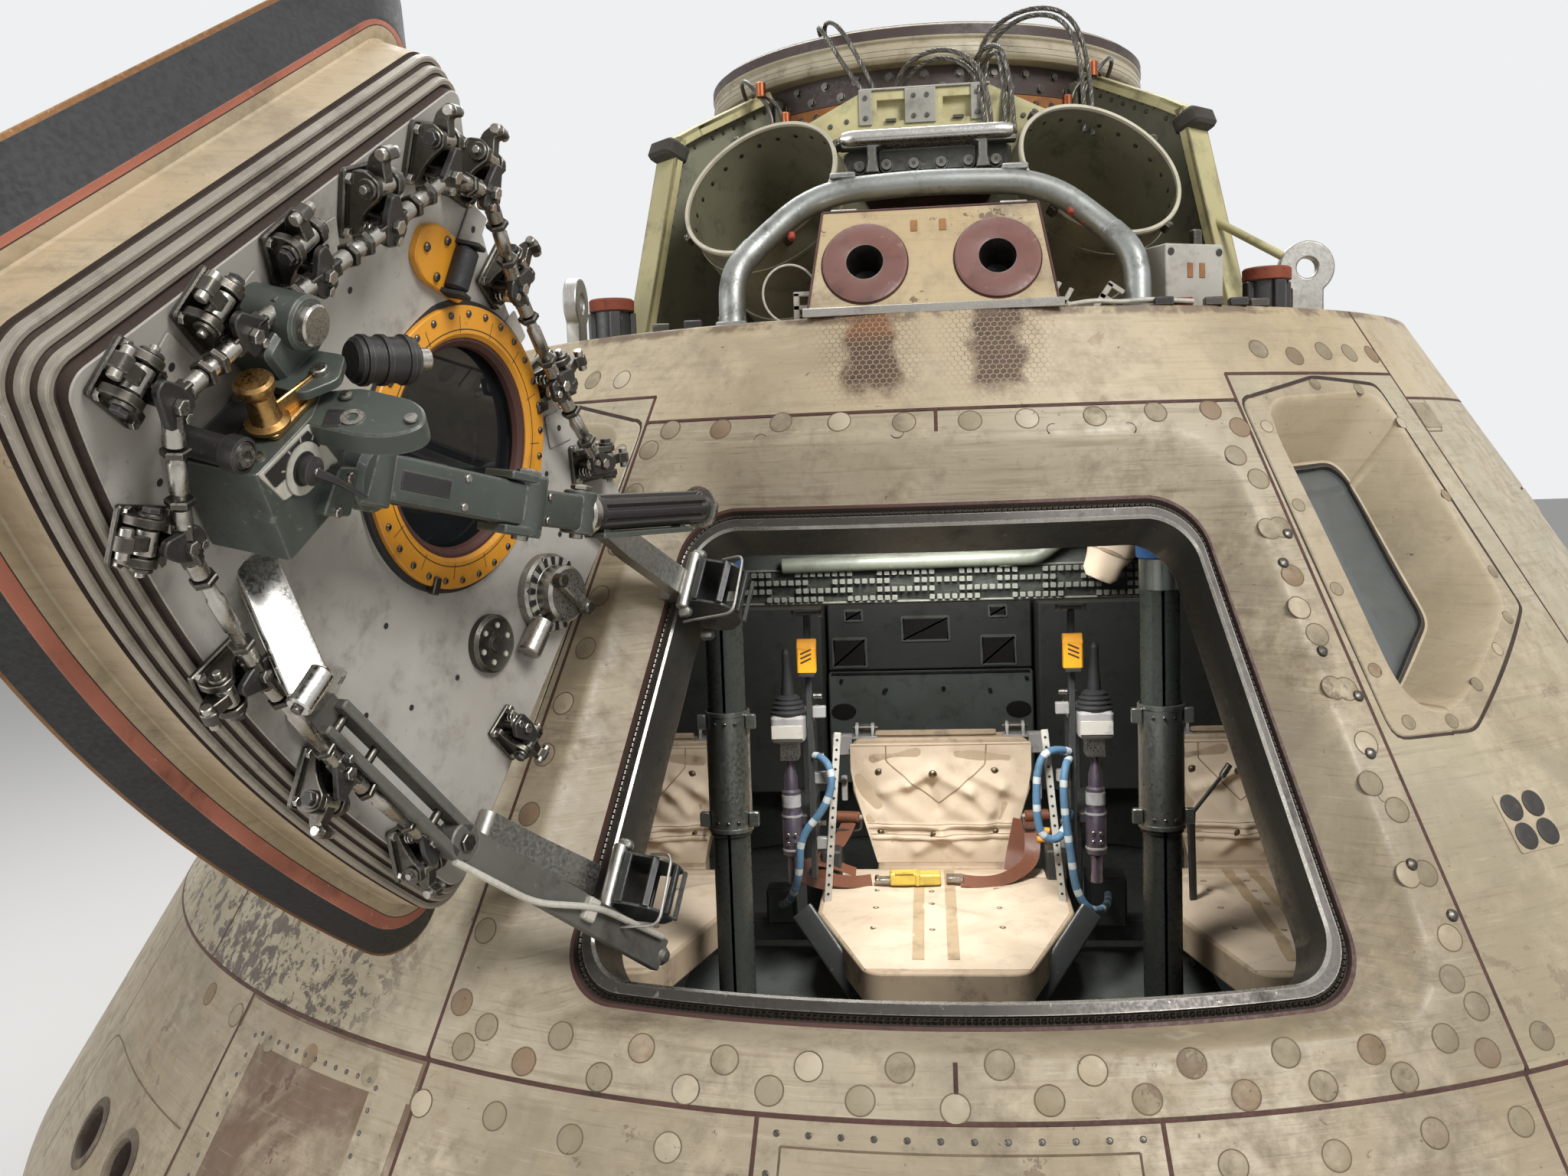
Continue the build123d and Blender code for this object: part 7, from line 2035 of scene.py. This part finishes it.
print("slings, metres:", [round(x, 3) for x in lengths])

# %% [markdown]
# Through the opening shows the middle couch. Its pans are covered with a stiff fireproof cloth that never
# lies flat: it is pulled into snaps and creased between them. One height function does this. Folds are
# ridges about short lines: each adds its height times the bell of the distance to the line over its width.

# %% Couches
couch_cloth = worn("couch cloth", (206, 188, 164), (176, 154, 128), (142, 122, 98), rough=0.78, wear=0.3,
                   dirt=0.35, edge=0.004)
couch_seam = worn("couch seam", (150, 130, 106), (120, 100, 80), rough=0.85, wear=0.3, dirt=0.4)
snap_metal = worn("snap", (120, 104, 84), (190, 180, 160), rough=0.35, wear=0.7, dirt=0.3, metal=1.0,
                  bare_metal=1.0)
tape_tan = worn("cloth tape", (178, 156, 124), (150, 128, 98), rough=0.6, wear=0.3, dirt=0.4)
SEAT_LINES = ((.895, .157), (1.060, .204), (1.120, .216), (1.186, .216))  # height, half width
BACK_LINES = ((-.600, .160), (-.270, .268), (-.020, .272), (.045, .262))  # distance, half width
SEAT_FOLDS = (  # start, end, width, height
    (-.019, 1.119, -.079, 1.090, .015, .007), (-.079, 1.090, -.141, 1.071, .015, .006),
    (-.019, 1.119, .069, 1.071, .017, .007), (.069, 1.071, .116, 1.022, .016, .006),
    (.079, 1.110, .145, 1.080, .017, .006), (.145, 1.080, .190, 1.051, .014, .005),
    (-.200, 1.100, -.150, 1.040, .022, -.005), (-.110, 1.050, -.020, .985, .022, .005),
    (.030, 1.030, .100, .990, .022, .005), (-.180, 1.000, -.120, .955, .020, -.005),
    (-.060, .925, .000, .968, .016, .006), (.000, .968, .060, .925, .016, .006),
    (-.030, 1.090, -.010, 1.030, .014, -.005), (.150, 1.040, .120, .960, .018, -.005),
    (-.220, .985, .200, .988, .007, .004), (-.200, .958, .180, .960, .007, .004),
    (-.160, 1.150, -.060, 1.165, .020, -.004), (.040, 1.160, .160, 1.150, .020, -.004),
)
BACK_FOLDS = (
    (-.230, -.080, -.120, -.160, .020, .004), (.110, -.170, .230, -.080, .020, .004),
    (-.050, -.250, .060, -.330, .024, .004), (-.160, -.380, -.060, -.470, .022, .004),
    (.060, -.450, .150, -.370, .022, .004), (-.250, -.020, .250, -.022, .010, -.004),
)


def cloth_height(x, t, half, span, crown, folds):
    """Height of the cloth: crown times (1 - u^4)(1 - w^4), plus the folds, plus a slow ripple."""
    u = np.abs(x / half)
    w = np.abs(2 * (t - span[0]) / (span[1] - span[0]) - 1)
    edge = np.clip(1 - u ** 8, 0, 1) * np.clip(1 - w ** 8, 0, 1)
    made = crown * np.clip(1 - u ** 4, 0, 1) * np.clip(1 - w ** 4, 0, 1)
    for x0, t0, x1, t1, wide, high in folds:
        dx, dt = x1 - x0, t1 - t0
        share = np.clip(((x - x0) * dx + (t - t0) * dt) / (dx * dx + dt * dt), 0, 1)
        far = np.hypot(x - x0 - share * dx, t - t0 - share * dt)
        made = made + 1.7 * edge * high * np.exp(-(far / wide) ** 2)
    ripple = np.sin(31 * x + 13 * t) * np.sin(24 * t - 17 * x + 1.0)
    return made + edge * .0016 * ripple


def cloth_pan(lines, crown, folds, scale=1.0, counts=(110, 120)):
    """Closed cover over one pan, in pan coordinates: X across, Y along, Z out. Gives the shape, and a
    function for the height at a point, on which seams and snaps are placed."""
    lines = np.asarray(lines)
    span = lines[0, 0], lines[-1, 0]
    folds = [(x0 * scale, t0, x1 * scale, t1, wide, high) for x0, t0, x1, t1, wide, high in folds]

    def half_at(t):
        """Half width at a distance along the pan."""
        return np.interp(t, lines[:, 0], lines[:, 1]) * scale

    def height(x, t):
        """Height of this pan's cloth."""
        return cloth_height(x, t, half_at(t), span, crown, folds)

    t = np.linspace(*span, counts[1])[:, None]
    x = np.linspace(-1, 1, counts[0])[None] * half_at(t)
    along = np.broadcast_to(t, x.shape)
    front = np.stack([x, along, .0008 + height(x, along)], -1)
    back = front[:, [-1, 0]] * (1, 1, 0) + (0, 0, -.003)
    return loft(np.concatenate([front, back], 1)), height


snap = lathe([(.0075, -.001), (.0072, .0012), (.0050, .0024), (.0, .0030)], 18, 2) + \
    ring([(.0072, -.001), (.0100, -.0005), (.0100, .0006), (.0072, .0010)], 18, 2)
SEAT_PLACE, BACK_PLACE = move(0, .060, 0) @ turn("X", 90), move(0, 0, .880)
V_SEAM = [(-.130, 1.184), (-.130, 1.145), (-.006, 1.042), (.106, 1.135), (.110, 1.184)]


def welt(points, height, radius=.0016, finish=1):
    """Thin seam that follows the cloth through a few points."""
    line = evenly(np.array([(x, t, 0) for x, t in points]), .006, loop=False)
    line[:, 2] = .0012 + height(line[:, 0], line[:, 1])
    return sweep(line, circle(radius, 6), UP, finish)


def couch_covers(name, x, scale):
    """Seat cover and back cover of one couch, as two padded pieces."""
    seat, seat_height = cloth_pan(SEAT_LINES, .007, SEAT_FOLDS, scale)
    snaps = [snap.at(move(u * scale, t, seat_height(u * scale, t))) for u in (-.148, -.019, .128)
             for t in (1.119, .968)]
    seams = [welt([(u * scale, t) for u, t in V_SEAM], seat_height)]
    for t in (.992, .980, .966, .954):
        wide = np.interp(t, *np.transpose(SEAT_LINES)) * .97
        seams.append(welt([(-wide * scale, t), (wide * scale, t)], seat_height, .0010))
    rim = [(-.214, 1.1855), (.214, 1.1855)]
    seams.append(welt([(u * scale, t) for u, t in rim], lambda a, b: 0 * a, .0030, 0))
    sewn = total([seat, *snaps, *seams]).at(move(x), SEAT_PLACE)
    piece(f"{name}_seat_cover", sewn, "hull", [couch_cloth, couch_seam, snap_metal])
    back, back_height = cloth_pan(BACK_LINES, .009, BACK_FOLDS, scale)
    eyelet = ring([(.0035, -.001), (.0035, .0012), (.0070, .0010), (.0070, -.001)], 18, 2)
    places = [(u, t) for u in (-.150, -.028, .118) for t in (-.075, -.150, -.260, -.400)]
    holes = [eyelet.at(move(u * scale, t, back_height(u * scale, t))) for u, t in places]
    tapes = []
    for u in (-.056, .014):
        line = evenly(np.array([(u * scale, -.560, 0), (u * scale, .030, 0)]), .01, loop=False)
        line[:, 2] = .0018 + back_height(line[:, 0], line[:, 1])
        tapes.append(sweep(line, [(-.012, -.0005), (.012, -.0005), (.012, .0005), (-.012, .0005)],
                           UP, 3))
    sewn = total([back, *holes, *tapes]).at(move(x), BACK_PLACE)
    piece(f"{name}_back_cover", sewn, "hull", [couch_cloth, couch_seam, snap_metal, tape_tan])


pan_beige = worn("pan edge", (178, 158, 132), (130, 112, 90), rough=0.7, wear=0.5, dirt=0.5)
dressed("couch_centre", pan_beige, "couch_fabric", .006, 3)
dressed("couches_side", pan_beige, "couch_fabric", .006, 3)
COUCHES = (("centre", 0.0, 1.0), ("right", .705, .78), ("left", -.705, .78))  # name, x, scale
for row in COUCHES:
    couch_covers(*row)

# %% Fittings round the couch
clevis = total([plate_yz(rounded([(-.020, 0), (.020, 0), (.016, .022), (.010, .036), (-.010, .036),
                                  (-.016, .022)],.006, 3), .007, x, 0) for x in (-.019, .019)])
clevis += rod(.010, -.026, .026, .0015, 20, 1).at(move(0, 0, .024), turn("Y", 90))
clevis += block(.060, .044, .006, .001, 0)
clevis += rod(.0045, -.031, .031, .001, 12, 1).at(move(0, 0, .024), turn("Y", 90))
leather = worn("brown leather", (108, 64, 42), (150, 98, 68), (70, 40, 26), rough=0.5, wear=0.5, dirt=0.4)
roll = (rod(.0135, -.030, .030, .004, 24, 2) + rod(.006, -.036, .036, .001, 12, 0)).at(turn("Y", 90))
roll += sweep(bent([(-.034, 0, 0), (-.034, -.012, -.030), (.034, -.012, -.030), (.034, 0, 0)], .012, 4),
              circle(.0028, 8), finish=1)
side_clip = block(.014, .020, .060, .002, 0)
side_clip += rod(.007, -.016, .016, .001, 14, 1).at(move(0, -.004, .050), turn("X", 90))
fittings = []
for _, x, scale in COUCHES:
    for side in (1, -1):
        fittings.append(clevis.at(move(x + side * .180 * scale, .088, 1.198)))
        fittings.append(block(.052, .030, .050, .003, 0).at(move(x + side * .235 * scale, .096, 1.155)))
        fittings.append(roll.at(move(x + side * .225 * scale, .038, 1.015), turn("Z", side * 10)))
        fittings.append(side_clip.at(move(x + side * .232 * scale, .062, 1.050)))
    fittings.append(block(.290 * scale, .014, .012, .002, 3).at(move(x - .01, .085, 1.203)))
for side in (1, -1):
    fittings.append(bar((side * .300, -.400, .930), (side * .165, -.500, .770), .050, .012, 4,
                        INWARD)[0])
    fittings.append(block(.048, .110, .070, .004, 4).at(move(side * .262, .006, .884)))
fittings.append(block(.090, .100, .120, .006, 4).at(move(.385, .060, .750)))
fittings.append(block(.070, .060, .090, .006, 4).at(move(-.395, .060, .750)))
fittings += [rod(.0085, -.016, .016, .002, 16, 5).at(move(.238, .020, z), turn("Y", 90))
             for z in (.962, .982)]
control_grey = worn("control grey", (150, 148, 146), (200, 198, 194), rough=0.42, wear=0.7, dirt=0.4,
                    bare_metal=1.0)
piece("couch_fittings", total(fittings), "hull", [control_grey, steel, leather, pan_beige, dark_frame, amber])

# %% [markdown]
# A lap belt lies across the fold of the couch: brown straps, steel tongues and a yellow buckle. A strap is a
# sheet as long as its own centre line, so its flat size comes from the line that it follows.

# %% Belt
buckle_yellow = worn("buckle yellow", (206, 178, 76), (150, 128, 70), rough=0.4, wear=0.6, dirt=0.3)
buckle = block(.066, .034, .030, .004, 0, .005).at(move(-.030, 0, 0))
buckle += block(.052, .040, .026, .004, 0, .006).at(move(.028, 0, 0))
buckle += block(.044, .004, .006, .001, 0).at(move(-.030, -.018, .028))
buckle += block(.010, .044, .028, .002, 0)
buckle += block(.034, .030, .010, .002, 1).at(move(-.078, 0, .006))
buckle += block(.040, .032, .012, .002, 1).at(move(.086, 0, .006))
buckle += rod(.006, -.018, .018, .001, 14, 1).at(move(-.092, 0, .012), turn("X", 90))
BUCKLE_PLACE = move(-.060, -.105, .894) @ turn("Z", 3)
piece("buckle", buckle.at(BUCKLE_PLACE), "hull", [buckle_yellow, bright_steel])


def strap(name, points, normal, wide=.040, thick=.0018):
    """Strap along a smooth line. Its flat length is the line's own length."""
    line = smooth_line(points, .006)
    far = float(distances(line)[-1])
    section = [(-wide / 2, -thick / 2), (wide / 2, -thick / 2), (wide / 2, thick / 2), (-wide / 2, thick / 2)]
    made = piece(name, sweep(line, section, np.array(normal, float)), "hull", [leather])
    return far


straps = [
    strap("strap_right", [(.040, -.108, .903), (.090, -.112, .896), (.150, -.085, .900), (.205, -.020, .915),
                          (.214, .022, .950), (.212, .034, 1.004)], (0, -.5, .86), .036),
    strap("strap_left", [(-.165, -.105, .903), (-.215, -.110, .896), (-.285, -.085, .905),
                         (-.292, -.020, .925), (-.240, .018, .960), (-.222, .034, 1.004)],
          (0, -.5, .86), .036),
    strap("strap_spare", [(-.268, -.130, .898), (-.330, -.120, .905), (-.325, -.060, .935),
                          (-.262, -.045, .925), (-.205, -.035, .900)], (.1, -.4, .9), .030),
    strap("strap_wide", [(.196, .030, 1.006), (.186, .024, .960), (.176, .018, .920), (.170, -.010, .893)],
          (0, -1, .1), .056),
]
print("straps, metres:", [round(x, 3) for x in straps])

# %% [markdown]
# On both sides an arm rest stands with a hand control: a black stick on a rubber boot, a light body, and a
# grey damper below. A mast beside it carries a yellow switch box. One side is modelled and the other is its
# mirror image, whose faces have to be turned over.

# %% Arm rests, struts and hoses
box_yellow = worn("switch box", (226, 158, 34), (150, 110, 50), rough=0.38, wear=0.5, dirt=0.25)
mauve = worn("mauve anodising", (122, 112, 124), (178, 170, 178), rough=0.34, wear=0.6, dirt=0.3, metal=0.8,
             bare_metal=1.0)
pale_strip = worn("pale strip", (186, 182, 172), (140, 134, 122), rough=0.5, wear=0.5, dirt=0.4)
GRIP, MAST = (.336, -.190), (.290, -.170)
boot = [(.0, 1.312), (.040, 1.312), (.042, 1.318), (.036, 1.323), (.038, 1.328), (.032, 1.333), (.034, 1.338),
        (.027, 1.343), (.028, 1.348), (.020, 1.354), (.0, 1.356)]
damper = [(.0, .925), (.013, .925), (.013, .985), (.0220, .991), (.0225, 1.086), (.0200, 1.092),
          (.0205, 1.096), (.0205, 1.136), (.0155, 1.140), (.0155, 1.166), (.0090, 1.190), (.0090, 1.212),
          (.0, 1.212)]
stick = bent([(GRIP[0], GRIP[1], 1.345), (GRIP[0], GRIP[1] - .004, 1.385), (GRIP[0], GRIP[1] - .016, 1.452)],
             .03, 8)
arm = [
    block(.036, .046, .555, .003, 4).at(move(.315, .090, .750)),
    block(.050, .262, .024, .003, 4).at(move(.320, -.030, 1.048)),
    block(.050, .262, .024, .003, 1).at(move(.320, -.030, 1.258)),
    block(.014, .026, .600, .002, 4).at(move(*MAST, .930)),
    block(.016, .004, .400, .001, 5).at(move(.262, -.196, .870), turn("Y", -5)),
    rod(.005, -.033, .033, .001, 14, 1).at(move(MAST[0], MAST[1], 1.533), turn("Y", 90)),
    rod(.008, -.034, -.026, .001, 14, 1).at(move(MAST[0], MAST[1], 1.533), turn("Y", 90)),
    rod(.008, .026, .034, .001, 14, 1).at(move(MAST[0], MAST[1], 1.533), turn("Y", 90)),
    block(.042, .030, .058, .003, 0).at(move(MAST[0], -.200, 1.404)),
    block(.044, .012, .026, .002, 0).at(move(MAST[0], -.206, 1.456), turn("X", -28)),
    block(.034, .010, .008, .001, 3).at(move(MAST[0], -.214, 1.398)),
    block(.076, .080, .060, .006, 1, .014).at(move(*GRIP, 1.252)),
    block(.070, .006, .030, .001, 5).at(move(GRIP[0], GRIP[1] - .041, 1.262)),
    block(.044, .050, .044, .003, 2).at(move(*GRIP, 1.209)),
    lathe(boot, 36, 3).at(move(*GRIP)),
    sweep(stick, circle(.0150, 20), finish=3, sizes=np.linspace(1.0, .62, len(stick))),
    lathe([(.0, -.002), (.0093, -.002), (.0085, .004), (.0050, .008), (.0, .009)], 20, 3)
    .at(move(GRIP[0], GRIP[1] - .016, 1.452)),
    lathe(damper, 36, 6).at(move(*GRIP)),
    *[ring([(.0215, z), (.0236, z + .001), (.0236, z + .005), (.0215, z + .006)], 36, 1).at(move(*GRIP))
      for z in (1.000, 1.078)],
    ring([(.0195, 1.100), (.0216, 1.101), (.0216, 1.128), (.0195, 1.129)], 36, 1).at(move(*GRIP)),
]
arm += [block(.026, .002, .0035, .0005, 3).at(move(MAST[0], -.2150, z), turn("Y", 24))
        for z in (1.432, 1.442, 1.452)]
arm += [rod(.003, 0, .002, .0005, 10, 3).at(move(.262 + (z - .87) * -.0875, -.1975, z), turn("X", 90))
        for z in np.arange(.90, 1.26, .022)]
arm += [rod(.0045, 0, .003, .001, 12, 2).at(move(GRIP[0] + x, GRIP[1] - .0225, z), turn("X", 90))
        for x in (-.008, .008) for z in (1.020, 1.040)]
arm += [block(.030, .020, .026, .002, 1).at(move(.268, -.178, z)) for z in (1.000, 1.150, 1.300)]
arm += [rod(.006, 0, .020, .001, 12, 2).at(move(.280, -.184, z), turn("Y", -90))
        for z in (1.060, 1.215, 1.350)]
right_arm = total(arm)
left_arm = flipped(right_arm.at(stretch(-1, 1, 1)))
arm_finishes = [box_yellow, control_grey, bright_steel, rubber_and_hole_shade, dark_frame, pale_strip, mauve]
piece("arm_rest_parts", right_arm + left_arm, "hull", arm_finishes, ["arm_rests"])

strut_dark = worn("strut tube", (92, 95, 88), (120, 122, 114), rough=0.3, wear=0.1, dirt=0.15, metal=0.15,
                  bare_metal=1.0, scale=0.7)
sleeve_grey = worn("strut sleeve", (156, 158, 150), (186, 186, 180), rough=0.35, wear=0.5, dirt=0.35,
                   metal=0.9, bare_metal=1.0)
blue_cloth = worn("blue cover", (60, 104, 158), (120, 150, 184), rough=0.75, wear=0.4, dirt=0.3)
dressed("struts", strut_dark, "strut_tube", 0.002)
sleeves = []
for side in (1, -1):
    foot = move(side * .430, -.480, 0)
    sleeves.append(ring([(.0415, 1.131), (.0440, 1.133), (.0440, 1.371), (.0415, 1.373)], 48, 0).at(foot))
    sleeves += [ring([(.0415, z), (.0455, z + .001), (.0455, z + .009), (.0415, z + .010)], 48, 0).at(foot)
                for z in (1.128, 1.366)]
    sleeves += [rod(.004, .0435, .0465, .001, 12, 2).at(foot, move(0, 0, z), turn("Z", angle), turn("X", 90))
                for z in (1.150, 1.352) for angle in (-28, 0, 28)]
    sleeves += [block(.020, .014, .030, .002, 0).at(foot, move(x, -.020, z)) for x in (-.050, .050)
                for z in (1.140, 1.340)]
    sleeves.append(ring([(.0375, 1.600), (.0392, 1.601), (.0392, 1.660), (.0375, 1.661)], 48, 0).at(foot))
    cuff = ring([(.0385, 1.660), (.0440, 1.664), (.0460, 1.690), (.0425, 1.712), (.0385, 1.714)], 32, 1)
    sleeves.append(cuff.at(foot))
piece("strut_sleeves", total(sleeves), "hull", [sleeve_grey, blue_cloth, steel])

hose_blue = worn("hose wrap", (74, 108, 134), (150, 170, 186), rough=0.6, wear=0.4, dirt=0.4)
hose_pale = worn("hose band", (176, 182, 182), (120, 124, 124), rough=0.6, wear=0.4, dirt=0.4)
HOSE_R = .0090
HOSES = (
    [(.281, -.184, 1.200), (.268, -.215, 1.196), (.262, -.228, 1.120), (.276, -.232, 1.000),
     (.286, -.236, .915), (.318, -.232, .868), (.372, -.120, .845), (.385, .008, .830)],
    [(.281, -.184, 1.216), (.245, -.212, 1.232), (.208, -.228, 1.205), (.203, -.236, 1.090),
     (.215, -.236, 1.035), (.262, -.232, 1.032), (.281, -.184, 1.082)],
    [(-.281, -.184, 1.214), (-.252, -.214, 1.215), (-.238, -.226, 1.160), (-.262, -.230, 1.100),
     (-.316, -.232, 1.040), (-.318, -.236, .960), (-.345, -.200, .880), (-.392, .028, .800)],
)


def hose(name, points):
    """Wrapped hose: a tube whose radius swells a little at each turn of tape, in bands of two colours."""
    line = smooth_line(points, .003)
    far = float(distances(line)[-1])
    turns = np.arange(len(line)) / 5
    made = sweep(line, circle(HOSE_R, 16), sizes=1 + .06 * (np.mod(turns, 1) - .5))
    quads, mark = made.faces[0]
    row = np.arange(len(quads)) // 16
    pale = np.mod(row // 5, 4) == 0
    made = Shape(made.points, [(quads[~pale], 0), (quads[pale], 1)] + made.faces[1:])
    tube = piece(name, made, "hull", [hose_blue, hose_pale])
    return far


hoses = [hose(f"hose_{number + 1}", points) for number, points in enumerate(HOSES)]
print("hoses, metres:", [round(x, 3) for x in hoses])

# %% [markdown]
# The console over the couch shows as rows of guarded switches under a louvred face, with a cooling duct
# along it. Hundreds of guards are one small form of few faces, placed by a grid of matrices. Behind the
# couch stand plain locker fronts.

# %% Console, duct and locker fronts
console_olive = worn("console olive", (56, 58, 50), (92, 92, 82), rough=0.5, wear=0.6, dirt=0.5)
console_pale = worn("console edge", (84, 86, 78), (120, 118, 108), rough=0.5, wear=0.6, dirt=0.4)
duct_olive = worn("duct", (92, 96, 84), (140, 140, 124), rough=0.45, wear=0.4, dirt=0.5)
dressed("display_console", console_olive, "cabin_grey", 0.003)
dressed("duct", duct_olive, "cabin_grey", 0.0015)
guard = Shape([(-.005, 0, 0), (.005, 0, 0), (.005, 0, .004), (-.005, 0, .004), (-.005, -.012, 0),
               (.005, -.012, 0), (.005, -.012, .010), (-.005, -.012, .010)],
              [(np.array([[3, 2, 1, 0], [4, 5, 6, 7], [0, 1, 5, 4], [2, 3, 7, 6], [1, 2, 6, 5],
                          [3, 0, 4, 7]]), 1)])
guard_rows = [move(x, -.3340 - (z - 1.585) * .11, z) for z in (1.578, 1.596, 1.614, 1.631)
              for x in np.arange(-.63, .64, .0155) if math.sin(x * 37 + z * 900) > -.62]
slope = placed((1, 0, 0), (0, .409, .912), (0, -.912, .409), (0, -.318, 1.690))
slat = block(.120, .0035, .003, .0005, 0)
slats = [slope @ move(x, y, 0) for x in (-.46, -.32, -.18, -.02, .14, .30, .46)
         for y in np.arange(.030, .075, .0085)]
plates = [block(wide, .034, .0035, .0008, 1).at(slope, move(x, .103, 0)) for x, wide in
          ((-.52, .10), (-.38, .14), (-.20, .16), (-.04, .12), (.10, .10), (.26, .16), (.46, .18))]
console = [guard.repeated(guard_rows), slat.repeated(slats), *plates,
           block(1.28, .006, .005, .001, 1).at(move(0, -.3385, 1.642)),
           block(1.28, .006, .004, .001, 1).at(move(0, -.3320, 1.5715))]
piece("console_rows", total(console), "hull", [console_olive, console_pale])

item = lathe([(.0, -.062), (.026, -.060), (.036, -.048), (.040, -.020), (.050, .010), (.052, .034),
              (.040, .056), (.018, .066), (.0, .067)], 40, 0)
wrinkle = 1 + .05 * np.sin(5 * np.arctan2(item.points[:, 1], item.points[:, 0]) + 40 * item.points[:, 2])
item = Shape(item.points * np.stack([wrinkle, wrinkle * .7, np.ones_like(wrinkle)], -1), item.faces)
item_cord = ring([(.0445, -.004), (.0475, -.003), (.0475, .003), (.0445, .004)], 40, 1)
cloth_item = (item + item_cord.at(stretch(1, .72, 1))).at(move(.350, -.375, 1.668), turn("Y", 24))
piece("wrapped_bundle", cloth_item, "hull", [couch_cloth, couch_seam])

locker_grey = worn("locker grey", (122, 128, 122), (140, 140, 132), rough=0.5, wear=0.6, dirt=0.4,
                   bare_metal=0.8)
locker_dark = worn("locker dark", (84, 86, 82), (120, 120, 114), rough=0.5, wear=0.6, dirt=0.4)
lockers = [block(.620, .170, .340, .004, 0).at(move(-.02, 1.030, .880)),
           block(.620, .130, .215, .004, 1).at(move(-.02, 1.050, 1.225)),
           block(.560, .200, .560, .004, 1).at(move(.58, .930, .880)),
           block(.560, .200, .560, .004, 1).at(move(-.62, .930, .880))]
lockers += [rod(.030, 0, .006, .001, 30, 2).at(move(x, .9460, 1.105), turn("X", 90), stretch(1.25, .8, 1))
            for x in (-.285, .245)]
for x, z, wide, high in ((-.265, 1.280, .110, .095), (.190, 1.280, .110, .095), (-.030, 1.350, .150, .080),
                         (-.250, 1.395, .060, .040), (.190, 1.400, .060, .040)):
    frame_line = rounded([(-wide / 2, 0), (wide / 2, 0), (wide / 2, high), (-wide / 2, high)], .008, 3)
    window = slab(frame_line, 0, .004, .001, 0) + slab(inset(frame_line, .008), 0, .0055, .0008, 2)
    lockers.append(window.at(move(x, .985, z - high / 2), turn("X", 90)))
lockers += [rod(.006, 0, .008, .001, 12, 3).at(move(x, .9450, z), turn("X", 90)) for x, z in
            ((-.16, 1.165), (-.155, 1.17), (.02, 1.172), (.16, 1.165), (-.29, 1.20), (.27, 1.20))]
lockers.append(block(.600, .006, .006, .001, 3).at(move(-.02, .943, 1.218)))
piece("locker_fronts", total(lockers), "hull", [locker_grey, locker_dark, black_parts, steel])

tail = bar((.610, -.200, 1.170), (.530, -.200, 1.065), .008, .008, 0, -INWARD, corner=.003)[0]
tail += block(.018, .012, .034, .002, 1).at(from_to((.602, -.204, 1.160), (.612, -.204, 1.176)))
post = bar((.545, -.200, .740), (.538, -.200, 1.075), .016, .016, 0, -INWARD)[0]
piece("side_rod", tail + post, "hull", [black_parts, bright_steel])

window_glass = frame["nodes"]["window_panes"].data.materials
window_glass.clear()
window_glass.append(glass("window pane", (196, 206, 208), 0.03, 0.9))
lamp("cabin", (0.0, -.76, 1.90), (0.0, -.10, 1.00), .30, 8.0).data.spread = math.radians(95)
lamp("lockers", (0.0, .30, 1.90), (0.0, .85, 1.15), .30, 3.5)
print("guards:", len(guard_rows), "slats:", len(slats))
